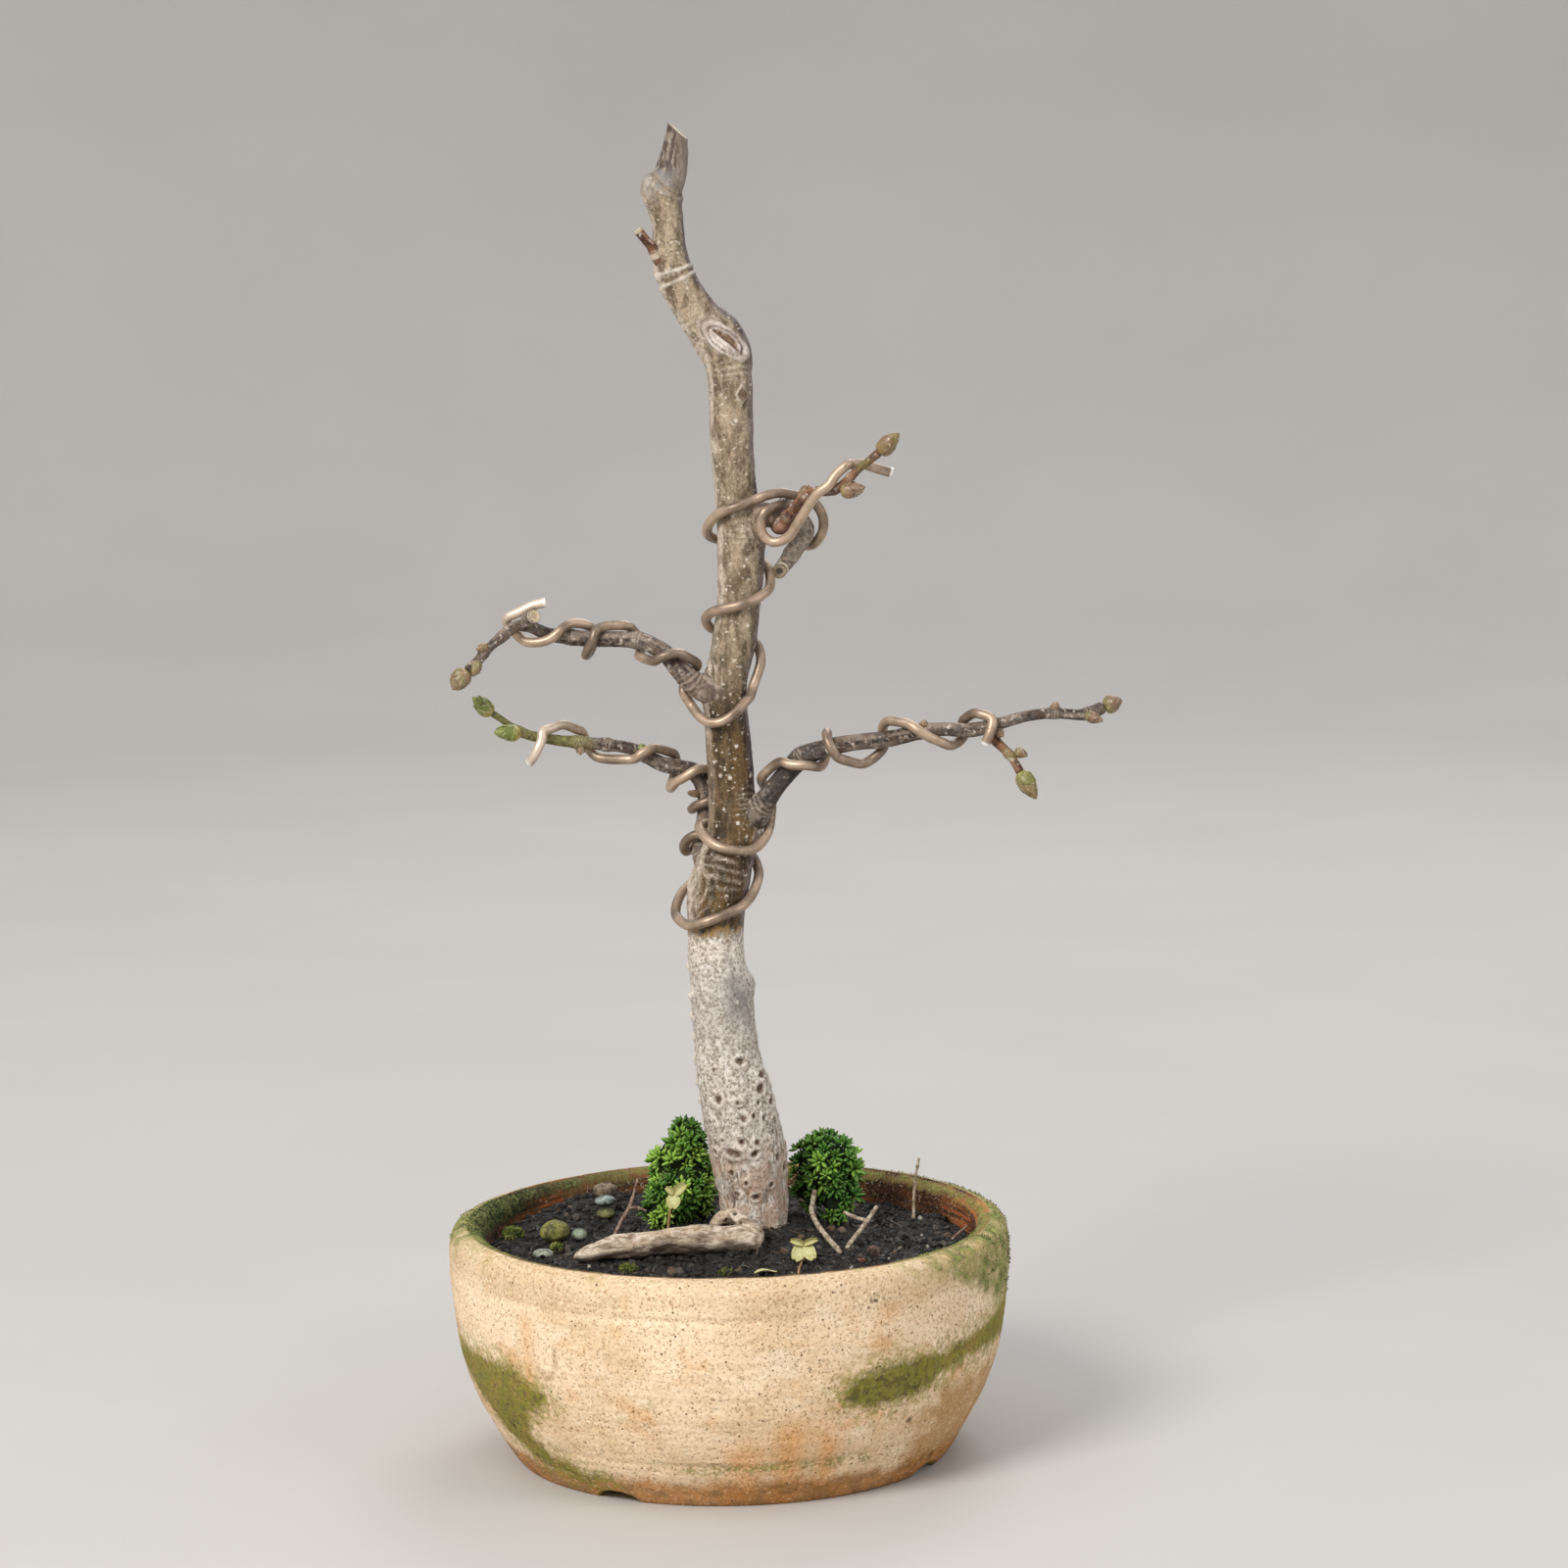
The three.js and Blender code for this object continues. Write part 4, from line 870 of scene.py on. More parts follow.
TRUNK = [  # x, y, z and radius along the centre line, as for every limb and root below
    [10, 0, 58, 8], [9.6, 0, 70, 11.6], [9.3, 0, 84, 12], [9.2, 0, 92, 12], [8.3, -0.5, 101, 13.2],
    [6.8, -1, 111, 13.5], [4.9, -1.5, 120, 13.2], [3.1, -2, 129, 12.6], [1.2, -2.5, 138, 11.8],
    [-0.2, -3, 151, 11], [-1, -3, 165, 11], [-2.4, -2.5, 176, 10.1], [-2.8, -2, 184, 9.8],
    [-2.2, -1.5, 196, 10.3], [0.4, -1, 209, 10], [3.6, 0, 222, 8.8], [3.8, 1, 236, 8.1],
    [3, 2, 252, 8], [2.4, 2.5, 264, 7.6], [2.9, 3, 277, 7.2], [5.6, 3.5, 290, 7.8], [7.3, 4, 302, 7.6],
    [8.4, 4, 318, 8.3], [8.7, 3.5, 328, 8.5], [7.2, 3, 342, 7.5], [6.1, 2, 357, 7.5],
    [5.8, 1, 383, 7.9], [4.8, 0.5, 391, 8.8], [1.5, 0, 397, 9], [-4.5, -0.5, 404, 7.2],
    [-9.8, -1, 413, 6.5], [-13, -1, 420, 6.6], [-14.4, -1, 428, 5.8], [-14.8, -0.5, 436, 5.5],
    [-16, 0, 447, 6.6], [-13.6, 0.5, 453, 5.6], [-12, 1, 460, 4.8], [-10.8, 1, 468, 3.8],
]
ROOTS = [
    [[10, 0, 67, 7], [24, 10, 60, 4.5], [40, 22, 50, 3], [52, 30, 38, 2]],
    [[9, 0, 66, 7], [6, -16, 58, 4.5], [2, -34, 48, 3], [-4, -50, 36, 2]],
    [[8, 0, 67, 7], [-8, 8, 60, 4.5], [-26, 16, 50, 3], [-44, 22, 38, 2]],
    [[10, 0, 65, 7], [26, -8, 56, 4], [44, -12, 44, 3], [56, -14, 34, 2]],
]
PITS = [  # height and degrees from the front: open breathing pores on the old bark
    (128, 3), (122, 6), (122, 23), (126, 36), (120, 40), (112, -25), (111, -16), (113, 18), (116, -35),
    (131, -28), (114, -5), (109, 11), (103, -31), (100, -9), (95, -27), (94, 4), (112, -55), (122, -53),
    (134, 63), (125, 72), (119, 63), (140, -27), (143, 22), (97, 30), (106, 50), (101, 66), (131, 48),
    (117, 118), (126, 150), (109, 170), (121, -160), (113, -130), (129, -110), (103, -150), (98, 140),
    (135, 175), (139, -140), (119, -95), (106, 100), (131, 98), (96, -100),
]
SPECKS = [  # height, degrees, radius: raised pale breathing pores, most of them on the young bark
    (368, 13, 1.3), (317, 9, 1.0), (319.5, 15, 0.9), (248, -41, 1.1), (243, -26, 1.2), (242, -1, 1.3),
    (242, 58, 1.1), (233, 48, 1.0), (245, -12, 0.9), (252, -32, 1.0), (253, 21, 1.2), (261, 5, 0.9),
    (270, 40, 0.9), (283, -20, 0.9), (296, 30, 1.0), (308, -35, 0.9), (335, -15, 0.9), (349, 35, 1.0),
    (358, -30, 0.8), (340, 50, 0.8), (376, -12, 0.8), (226, 12, 1.0), (231, -20, 0.9), (220, -30, 0.8),
    (238, 30, 0.8), (222, 35, 0.8), (264, -50, 0.8), (290, -48, 0.9), (325, -40, 0.8), (275, -8, 0.7),
    (250, 100, 1.0), (262, 140, 1.1), (281, 170, 1.0), (300, -150, 1.0), (318, 130, 0.9), (334, -120, 1.0),
    (349, 160, 1.1), (362, -90, 0.9), (240, -130, 1.0), (228, 160, 1.0), (310, 95, 0.9), (372, 120, 0.9),
    (174, 6, 0.8), (168, -15, 0.8), (147, -49, 0.9), (163, 29, 1.2), (158, -30, 0.9), (152, 12, 0.8),
]
KNOBS = [  # height, degrees, radius, how far it stands out
    (166.4, -70, 2.2, 1.6), (167.6, 84, 3.6, 1.5), (176, -86, 1.4, 1.1), (158, -84, 1.4, 1.1),
    (150.5, -88, 1.3, 1.1), (143, -85, 1.4, 1.2), (136, -84, 1.5, 1.2), (129.5, -86, 1.3, 1.1),
    (123, -84, 1.5, 0.7), (447.5, -78, 3.2, 1.6), (413, -84, 2.6, 0.9), (330, 24, 5.5, 1.2),
    (272.5, -82, 6, 1.7), (224.5, 82, 6.5, 1.9), (208, -26, 5.5, 1.0), (202, -100, 6.5, 1.2),
    (427.5, -39, 3.2, 1.4), (377, 29, 2.4, 0.7),
]
PALE_KNOBS = [  # height and degrees of those with a pale tip
    (166.4, -70), (176, -86), (158, -84), (150.5, -88), (143, -85), (136, -84), (129.5, -86),
    (123, -84),
]
WOUND = {  # where a branch was cut off, as seen from the front
    "x": 4.6, "z": 395.5, "long": 6.9, "short": 3.0, "lean": math.radians(-40),
}


def wrapped(degrees):
    return (degrees + 180) % 360 - 180


class Limb:
    """A tapering limb: places along its centre line, and directions square to it."""

    def __init__(self, rows):
        self.path = smooth_curve(rows)
        steps = np.linalg.norm(np.diff(self.path[:, :3], axis=0), axis=1)
        self.marks = np.concatenate([[0], np.cumsum(steps)])
        self.slope = np.gradient(self.path[:, :3], self.marks, axis=0)
        self.length = self.marks[-1]

    def at(self, distance):
        """Centre, direction, radius, front and side directions at distances along the limb."""
        place, along = (
            np.stack([np.interp(distance, self.marks, table[:, k]) for k in range(table.shape[1])], -1)
            for table in (self.path, self.slope)
        )
        along /= np.linalg.norm(along, axis=-1, keepdims=True)
        front = np.array([0.0, -1.0, 0.0]) + along[..., 1:2] * along
        front /= np.linalg.norm(front, axis=-1, keepdims=True)
        return place[..., :3], along, place[..., 3], front, np.cross(along, front)


class Bark:
    """The skin of a limb as a grid of points, and how far each one stands out from the limb."""

    def __init__(self, limb, sides, spacing):
        self.limb = limb
        count = int(limb.length / spacing) + 2
        stops = np.linspace(0, limb.length, count)
        self.angle = np.linspace(-180, 180, sides, endpoint=False) + np.zeros((count, 1))
        self.distance = stops[:, None] + 0 * self.angle
        centre, along, radius, front, side = (part[:, None] for part in limb.at(stops))
        turn = np.radians(self.angle)[..., None]
        self.out = front * np.cos(turn) + side * np.sin(turn)
        self.centre, self.along, self.radius = centre, along, radius + 0 * self.angle
        self.spots = centre + self.out * self.radius[..., None]
        self.level = self.distance  # what the places of marks are measured along
        self.relief = np.zeros(self.angle.shape)
        self.layers = {"wood": np.zeros(self.angle.shape)}

    def offset(self, level, angle):
        """How far each point is across and up from a place on the bark, in mm."""
        return np.radians(wrapped(self.angle - angle)) * self.radius, self.level - level

    def near(self, level, angle):
        return np.hypot(*self.offset(level, angle))

    def raise_by(self, amount, layer=None, share=0):
        self.relief = self.relief + amount
        if layer:
            self.paint(layer, share)

    def paint(self, layer, share):
        self.layers[layer] = np.maximum(self.layers.get(layer, 0 * self.angle), share)

    def wrinkles(self, level, spread, pitch, depth, seed=0, angle=None, width=70):
        """Close rings round the limb, such as bud scales leave; round part of it if angle is given."""
        bend = 1.3 * value_noise(self.spots, 7, 40 + seed) + 0.5 * value_noise(self.spots, 2.4, 41 + seed)
        wave = np.sin((self.level - level + bend) * 2 * math.pi / pitch)
        gaps = step_between(-0.9, 0.1, value_noise(self.spots, 4, 42 + seed))
        share = hump(self.level, level, spread) * gaps
        if angle is not None:
            share = share * hump(wrapped(self.angle - angle), 0, width)
        self.raise_by(depth * (wave + 0.3) * share, "ringed", share * step_between(-0.2, 0.9, wave))

    def flare(self, distance, width, gain):
        """The collar where a limb leaves the one it grows from."""
        swell = gain * np.exp(-np.maximum(self.distance - distance, 0) / width)
        self.raise_by(swell)

    def grain(self, size, depth, stretch=3.0, seed=0):
        """Bark texture, drawn out along the limb."""
        flat = np.stack([
            np.cos(np.radians(self.angle)) * self.radius,
            np.sin(np.radians(self.angle)) * self.radius,
            self.distance / stretch,
        ], -1)
        return depth * rough_noise(flat, size, 3, 50 + seed)

    def lift(self, slant=0.0, reach=8.0, toward=0.0):
        """Rings of points. A slanted end is drawn out on the side that toward names."""
        rings = self.centre + self.out * (self.radius + self.relief)[..., None]
        near_end = step_between(self.distance.max() - reach, self.distance.max(), self.distance)
        tilt = slant * near_end * np.cos(np.radians(wrapped(self.angle - toward)))
        return rings + self.along * tilt[..., None]

    def rounded_end(self, reach):
        """Draws the last stretch in to a dome."""
        share = np.clip((self.distance - self.distance.max() + reach) / reach, 0, 0.97)
        self.relief -= (self.radius + self.relief) * (1 - np.sqrt(1 - share**2))

    def piece(self, name, finish, cut=None, heart=0.6, **slant):
        """The object. A sawn end gets a bevel and a face of bare wood; a low heart is a dark middle."""
        rings = self.lift(**slant)
        layers = self.layers
        if cut is not None:
            last = rings[-1]
            middle = last.mean(0)
            face, wood = [], []  # rings from the edge to the middle, and how bare their wood is
            for share, rise, bare in (
                (0.985, 0.1, 0.0), (0.93, 0.2, 0.25), (0.86, 0.16, 0.9), (0.6, 0.05, 0.8), (0.3, -0.1, heart),
            ):
                face.append(middle + (last - middle) * share + self.along[-1] * rise * cut)
                wood.append(bare + np.zeros(len(last)))
            rings = np.concatenate([rings, np.array(face)])
            fades = {key: np.repeat(rows[-1:], len(face), 0) * 0.3 for key, rows in layers.items()}
            fades["wood"] = np.array(wood)
            layers = {key: np.concatenate([rows, fades[key]]) for key, rows in layers.items()}
        return skin(name, rings, finish, layers)


def trunk_finish():
    bark = Finish("trunk_bark")
    height = bark.height() + (bark.noise(7, 4, shift=31) - 0.5) * 14
    # old bark: cream mottled with grey and brown, smoother and greyer above, pinker at its foot
    fine = bark.noise(1.15, 5, roughness=0.72)
    mottle = bark.noise(4.6, 5, (1, 1, 1.2), 2, 0.65)
    old = bark.mix(fine.rises(0.38, 0.59), 0x887969, 0xE0D7CA)
    old = bark.mix(mottle.rises(0.54, 0.66) * 0.5, old, 0x8E847C)
    old = bark.mix(bark.noise(2.2, 5, (1, 1, 1.2), 6, 0.65).rises(0.53, 0.63) * 0.75, old, 0xF6EFE6)
    old = bark.mix(height.rises(138, 156) * height.rises(182, 172) * 0.3, old, 0xA39C98)
    cloud = height.peaks(164, 13) * bark.layer("cloud") * (0.4 + mottle)
    old = bark.mix(cloud * 0.85, old, 0x827D7A)
    # at the foot: dark furrow lines, deepened as painted shade, and a painted highlight on the ridges between
    # them
    seams_and_shade = bark.noise(1.7, 4, (1, 1, 4.5), 35).rises(0.42, 0.34) * height.rises(134, 112)
    old = bark.mix(seams_and_shade * 0.75, old, 0x735C49)
    ribs_highlight = bark.noise(1.5, 4, (1, 1, 4.5), 35).rises(0.54, 0.62) * height.rises(134, 112)
    old = bark.mix(ribs_highlight * 0.7, old, 0xF3EADE)
    rust = height.rises(118, 100) * bark.noise(6, 4, (1, 1, 1.3), 9).rises(0.38, 0.56)
    old = bark.mix(rust * 0.65, old, 0xBE9A80)
    old = bark.mix(bark.cells(3.3, (1, 1, 1.2), 4).rises(0.19, 0.1) * 0.7, old, 0x66503F)
    # young bark: olive-brown in front, with painted light down the left side and painted shade, purplish
    # grey, down the right side
    grain = bark.noise(0.95, 4, roughness=0.7)
    broad = bark.noise(4.2, 5, (1, 1, 2.6), 14, 0.66)
    strips = bark.noise(2.4, 4, (1, 1, 6), 40)
    young = bark.mix(broad.rises(0.4, 0.6), 0x332511, 0x644C2A)
    young = bark.mix(strips.rises(0.54, 0.68) * 0.4, young, 0x806D50)
    paler = height.rises(258, 296) * 0.75
    young = bark.mix(paler, young, bark.mix(broad.rises(0.38, 0.6), 0x75644E, 0xB4A28A))
    young = bark.mix(bark.noise(4, 5, (1, 1, 2.4), 19, 0.65).rises(0.55, 0.65) * 0.6, young, 0x453724)
    # painted highlight down the left side
    left = (bark.layer("left") + (strips - 0.5) * 0.9 + (broad - 0.5) * 1.1).rises(0.2, 0.9)
    left = left * (height.rises(216, 226) * height.rises(266, 250) * -0.7 + 1.0)
    young = bark.mix(left * 0.8, young, bark.mix(broad.rises(0.38, 0.62), 0x8E8070, 0xCDC0AF))
    # painted shade, purplish grey, down the right side
    right = (bark.layer("right") + (strips - 0.5) * 0.9 + (broad - 0.5) * 0.6).rises(0.2, 0.85)
    young = bark.mix(right * 0.8, young, bark.mix(broad.rises(0.36, 0.62), 0x41363A, 0x7E706F))
    hidden = bark.layer("behind") * (0.45 + broad * 0.4)
    young = bark.mix(hidden, young, bark.mix(broad, 0x5C5248, 0x988B7A))
    young = bark.shaded(young, 0.7 + grain.rises(0.3, 0.7) * 0.6)
    young = bark.mix(bark.noise(1.5, 4, (1.6, 1.6, 1), 18, 0.65).rises(0.6, 0.67) * 0.75, young, 0xD6CBBB)
    young = bark.mix(bark.noise(2, 4, (2.2, 2.2, 1), 21).rises(0.62, 0.7) * 0.5, young, 0x33281C)
    tone = bark.mix(height.rises(183, 191), old, young)
    ochre = height.peaks(188.5, 3.6) * bark.noise(3.4, 4, shift=24).rises(0.46, 0.6)
    tone = bark.mix(ochre * 0.7, tone, 0xB08A4C)
    pores = bark.cells(4.4, (1, 1, 1.5), 28).rises(0.13, 0.07) * height.rises(186, 200)
    tone = bark.mix(pores * 0.7, tone, 0xD5C8B4)
    # marks: rings, pores, callus, pits and sawn wood
    tone = bark.mix(bark.layer("ringed") * grain.rises(0.3, 0.62) * 0.75, tone, 0xCFC2B1)
    tone = bark.mix(bark.layer("pale").rises(0.15, 0.8) * 0.8, tone, 0xDFD5C7)
    callus = bark.layer("callus").rises(0.15, 0.6) * (0.95 - fine.rises(0.56, 0.36) * 0.45)
    tone = bark.mix(callus, tone, bark.mix(mottle.rises(0.4, 0.6), 0xE0D6CF, 0xB5A89F))
    tone = bark.mix(bark.layer("blue") * bark.noise(3, 3).rises(0.35, 0.6) * 0.85, tone, 0x5E6A74)
    tone = bark.mix(height.rises(444, 455) * 0.5, tone, 0x8F857C)
    weathered = bark.layer("tip") * bark.noise(1.3, 4, (1, 1, 4), 33).rises(0.4, 0.54)
    tone = bark.mix(weathered * 0.9, tone, 0x3E2E28)
    hollow = bark.mix(fine.rises(0.4, 0.6), 0x4A3226, 0x75523C)
    tone = bark.mix(bark.layer("pit").rises(0.2, 0.75) * 0.88, tone, hollow)
    rays = bark.noise(0.8, 4, (1, 1, 3), 27)
    wood = bark.mix(rays.rises(0.3, 0.7), 0xA28D6E, 0xE6DCC6)
    tone = bark.mix(bark.layer("wood").rises(0.3, 0.7), tone, wood)
    relief = grain * 0.35 + fine * height.rises(190, 176) * 0.8
    relief = relief + mottle * 0.6 - seams_and_shade * 0.6 + ribs_highlight * 0.6
    return bark.done(tone, 0.74 - height.rises(180, 196) * 0.16, relief, 0.5, Specular_IOR_Level=0.35)


trunk_limb = Limb(TRUNK)
bark = Bark(trunk_limb, 140, 0.64)
bark.level = bark.centre[..., 2] + 0 * bark.angle
old = step_between(186, 172, bark.level)
foot = step_between(128, 100, bark.level)
bark.raise_by(bark.grain(5.5, 0.28, 1.8) + bark.grain(2.2, 0.16, 1.8, 3) * (1 + old))
bark.raise_by(bark.grain(1.6, 0.1, 1.3, 23))
bark.raise_by(bark.grain(3.6, 1.2, 5, 6) * foot + bark.grain(13, 0.9, 4, 8) * foot)
# painted shade: the deepest furrows at the foot take the dark pit colour
bark.paint("pit", foot * step_between(-0.1, -0.45, bark.grain(3.6, 1.0, 5, 6)) * 0.55)
warp = value_noise(bark.spots, 1.6, 91)
broken = step_between(-0.5, 0.3, value_noise(bark.spots, 1.9, 95))
bark.paint("cloud", hump(wrapped(bark.angle - 34), 0, 30))
# painted light and shade: the layer left lightens the young bark's left side, the layer right darkens its
# right side
bark.paint("left", step_between(-22, -72, bark.angle) * step_between(-175, -120, bark.angle))
bark.paint("right", step_between(32, 76, bark.angle) * step_between(175, 130, bark.angle))
bark.paint("behind", step_between(95, 140, np.abs(bark.angle)))
bark.paint("tip", step_between(450, 456, bark.level) * step_between(60, -10, bark.angle))
for level, angle in PITS:
    across, rise = bark.offset(level + 0.7 * math.sin(level), angle)
    wide = 1.0 + 0.35 * math.sin(level * 1.7 + angle)  # some pores are slots across the stem
    near = np.hypot(across / wide, rise) + 0.4 * warp
    size = 1.35 + 0.4 * math.sin(level * 3.1 + angle)
    bark.raise_by(0.65 * hump(near, size * 1.3, size * 0.55) - 0.8 * hump(near, 0, size * 0.75))
    bark.paint("pit", hump(near, 0, size * 0.85))
    bark.paint("pale", hump(near, size * 1.4, size * 0.45) * 0.9 * broken)
for level, angle, size in SPECKS:
    size *= 0.72
    near = bark.near(level, angle) + 0.2 * warp
    bark.raise_by(0.3 * hump(near, size * 0.5, size * 0.6))
    bark.paint("pale", hump(near, size * 0.4, size * 0.5) * 0.85)
for level, angle, width, height in KNOBS:
    bark.raise_by(height * np.exp(-((bark.near(level, angle) / width) ** 2)))
for level, angle in PALE_KNOBS:
    bark.paint("pale", hump(bark.near(level, angle), 0, 1.8))
bark.paint("pit", hump(bark.near(164.2, 86), 0, 1.5) * 0.8)
bark.paint("pit", hump(bark.near(167.6, -78), 0, 0.9) * 0.7)
for level, angle, reach, pitch in (  # folds that curve round the foot of a limb, or round an old knot
    (203, -74, 11, 2.7), (276, -96, 9, 2.4), (222, 88, 8, 2.4), (330, 62, 8, 2.4), (399, -70, 6, 2.2),
):
    near = bark.near(level, angle) + 1.3 * value_noise(bark.spots, 4.2, int(level)) + 0.4 * warp
    gaps = step_between(-0.7, 0.4, value_noise(bark.spots, 2.6, int(level) + 1))
    share = step_between(reach * 1.5, reach * 0.8, near) * gaps
    wave = np.sin(near * 2 * math.pi / pitch)
    bark.raise_by(0.24 * wave * share, "ringed", share * step_between(0.0, 1.0, wave))
for level, spread, pitch, depth, angle in (
    (209, 6, 3.1, 0.2, -30), (330, 6, 2.4, 0.2, 36),
    (418.5, 2.0, 3.4, 0.3, None), (403.5, 5, 2.0, 0.34, -50), (427.5, 3.2, 1.7, 0.26, -42),
    (181, 3, 2.2, 0.14, None), (386, 4.4, 2.3, 0.12, 10), (234, 5, 2.1, 0.22, 70),
):
    bark.wrinkles(level, spread, pitch, depth, int(level), angle)
wavy = bark.level + 0.35 * value_noise(bark.spots, 5, 93)
flecks = 0.9 + 0.35 * value_noise(bark.spots, 1.5, 94)
for level in (416.7, 420.2):  # two raised pale rings, where a winter's buds opened
    bark.raise_by(0.45 * hump(wavy, level, 0.85))
    bark.paint("pale", hump(wavy, level, 0.8) * 0.72 * flecks)
bark.raise_by(0.5 * hump(wavy, 425.6, 1.2) * hump(bark.angle, -60, 60))
tilted = wavy + 0.45 * (bark.spots[..., 0] - bark.centre[..., 0])
bark.raise_by(0.65 * hump(tilted, 446.5, 1.1))
bark.paint("pale", hump(tilted, 446.2, 0.7) * 0.5 * flecks)
bark.paint("pit", hump(tilted, 448.2, 0.6) * 0.6)
for angle in range(-170, 181, 16):  # dark dashes between the two rings near the top
    bark.paint("pit", 0.7 * hump(bark.near(418.4 + 0.2 * math.sin(angle), angle), 0, 0.6))
across, rise = bark.offset(377, 29)  # a leaf's scar: a brown diamond with a pale edge
diamond = np.abs(across) / 2.1 + np.abs(rise) / 3.0 + 0.15 * warp
bark.raise_by(0.5 * hump(diamond, 1.0, 0.35) - 0.2 * hump(diamond, 0, 0.5))
bark.paint("pale", hump(diamond, 1.15, 0.25) * 0.6)
bark.paint("pit", step_between(0.95, 0.6, diamond) * 0.55)
flakes = step_between(-0.2, 0.5, bark.grain(2.4, 1, 5, 12))  # pale, at the right branch's foot
bark.paint("pale", hump(bark.level, 225, 6) * hump(wrapped(bark.angle - 86), 0, 34) * flakes)
bark.paint("blue", hump(bark.near(451.5, -25), 0, 5.5))
# the callus: two raised lips round a split
across, rise = bark.spots[..., 0] - WOUND["x"], bark.spots[..., 2] - WOUND["z"]
long_way = across * math.cos(WOUND["lean"]) + rise * math.sin(WOUND["lean"])
short_way = rise * math.cos(WOUND["lean"]) - across * math.sin(WOUND["lean"])
oval = np.hypot(long_way / WOUND["long"], short_way / WOUND["short"])
oval = oval + 9 * (np.abs(bark.angle) > 95)  # only on the front half
oval = oval + 0.1 * value_noise(bark.spots, 2.2, 71) + 0.05 * warp
ripple = 0.35 * value_noise(bark.spots, 3, 72)
inside = step_between(1.08, 0.95, oval)
outer_fold = hump(oval, 1.26, 0.2) + 0.5 * hump(oval, 1.68, 0.16) * step_between(2, -3, across)
split = step_between(-0.2, 0.6, short_way + 0.3 * ripple) * step_between(0.95, 0.7, oval)
dark_line = hump(short_way - 0.2 + 0.6 * ripple, 0, 0.4) * step_between(1.0, 0.8, oval)
lip_line = hump(short_way + 1.5 + ripple, 0, 0.28) * step_between(0.95, 0.75, oval)
bark.raise_by(1.0 * outer_fold + 0.6 * inside - 0.4 * hump(oval, 1.03, 0.08))
bark.raise_by(-1.2 * split - 0.5 * dark_line - 0.3 * lip_line)
bark.paint("callus", np.clip(inside * (1 - split) + 0.7 * outer_fold, 0, 1))
bark.paint("pit", split * (0.55 + 0.45 * value_noise(bark.spots, 1.0, 73)))
bark.paint("pit", np.maximum(dark_line, lip_line * 0.6))
bark.paint("pit", hump(oval, 1.05, 0.07) * 0.75)
bark.paint("pit", hump(oval, 1.52, 0.07) * 0.5 * step_between(3, -3, across))
trunk = bark.piece("trunk_bark", trunk_finish(), cut=1.0, slant=2.6, reach=9, toward=-100)
roots = [Bark(Limb(rows), 12, 3).piece("root", trunk.data.materials[0]) for rows in ROOTS]
trunk = join_meshes([trunk] + roots)
keep(trunk, "trunk_bark", "trunk")

# ----------------------------------------------------------------------------------------------
# The branches: three grown limbs and a short stub at the top right that was bent back and sawn
# off. Each leaves the trunk from a wrinkled collar, and has rings where a year's growth stopped.

UPPER_LEFT = [
    [1, 1, 272, 4.6], [-4, 0, 273.5, 4.2], [-8.5, -1, 275.5, 3.6], [-13.4, -2, 280.3, 3.2],
    [-19, -1, 286.6, 3.1], [-26, 1, 290.2, 3], [-34, 4, 291, 2.9], [-43, 7, 291, 2.8],
    [-51.5, 9, 291.5, 2.8], [-60, 9, 292.8, 2.4], [-67, 7, 296, 2.2], [-70.5, 5, 296.4, 2],
    [-76, 2, 293, 1.9], [-81, -2, 289, 1.7], [-84.5, -5, 285, 1.6], [-88.3, -8, 281.9, 1.5],
]
LOWER_LEFT = [
    [-1, 4, 199, 5], [-4, 9, 207, 4.8], [-6.4, 13, 215, 4.2], [-5.8, 16.4, 223, 3.6],
    [-5.2, 18.5, 231, 3.2], [-6.4, 18.8, 237, 3.2], [-9.5, 18.6, 241.6, 3.2], [-14.5, 18.5, 243.2, 3],
    [-21, 19, 244.6, 2.8], [-26, 19, 247.2, 2.5], [-31, 19, 250, 2.2], [-37, 18, 251.6, 2.1],
    [-48, 15, 253.3, 2.2], [-58.5, 12, 254.8, 1.9], [-68, 9, 257.2, 1.7], [-73, 7.5, 259.8, 1.4],
    [-77.5, 5.6, 263.4, 1.2], [-80.6, 4.3, 265.6, 1.3],
]
RIGHT = [
    [7, 0, 224, 4.4], [11.5, -1, 229, 3.9], [15, -3, 233, 3.5], [21, -5, 241, 3.4], [29, -8, 249.5, 3.8],
    [37.5, -11, 253, 3.2], [47, -14.5, 255.2, 2.9], [59.5, -18, 256.8, 2.9], [69, -20, 259, 2.7],
    [77, -21, 260.2, 2.4], [88, -22, 259.8, 2.5], [98, -22, 262, 2], [107.6, -20, 264.2, 1.9],
    [117, -18, 264.7, 1.9], [126.5, -16, 263.8, 1.9], [130.5, -15.2, 264.5, 2.2], [134.6, -14.4, 266.4, 2.2],
]
TOP_STUB = [
    [9.5, 3, 334, 4], [16, 1, 334.4, 3.4], [23, -0.5, 333.6, 3.1], [29.2, 0, 332.4, 3.1],
    [31.4, 2, 328.8, 3.1], [28, 4.5, 322.4, 3], [22, 7, 314, 2.7],
]
UPPER_LEFT_STUMP = [(-69, 5.6, 296, 2.1), (-66.4, 2.4, 298.8, 2.3), (-64.4, -0.2, 300.1, 2.5)]
BRANCH_SIDES, BRANCH_SPACING = 44, 0.5


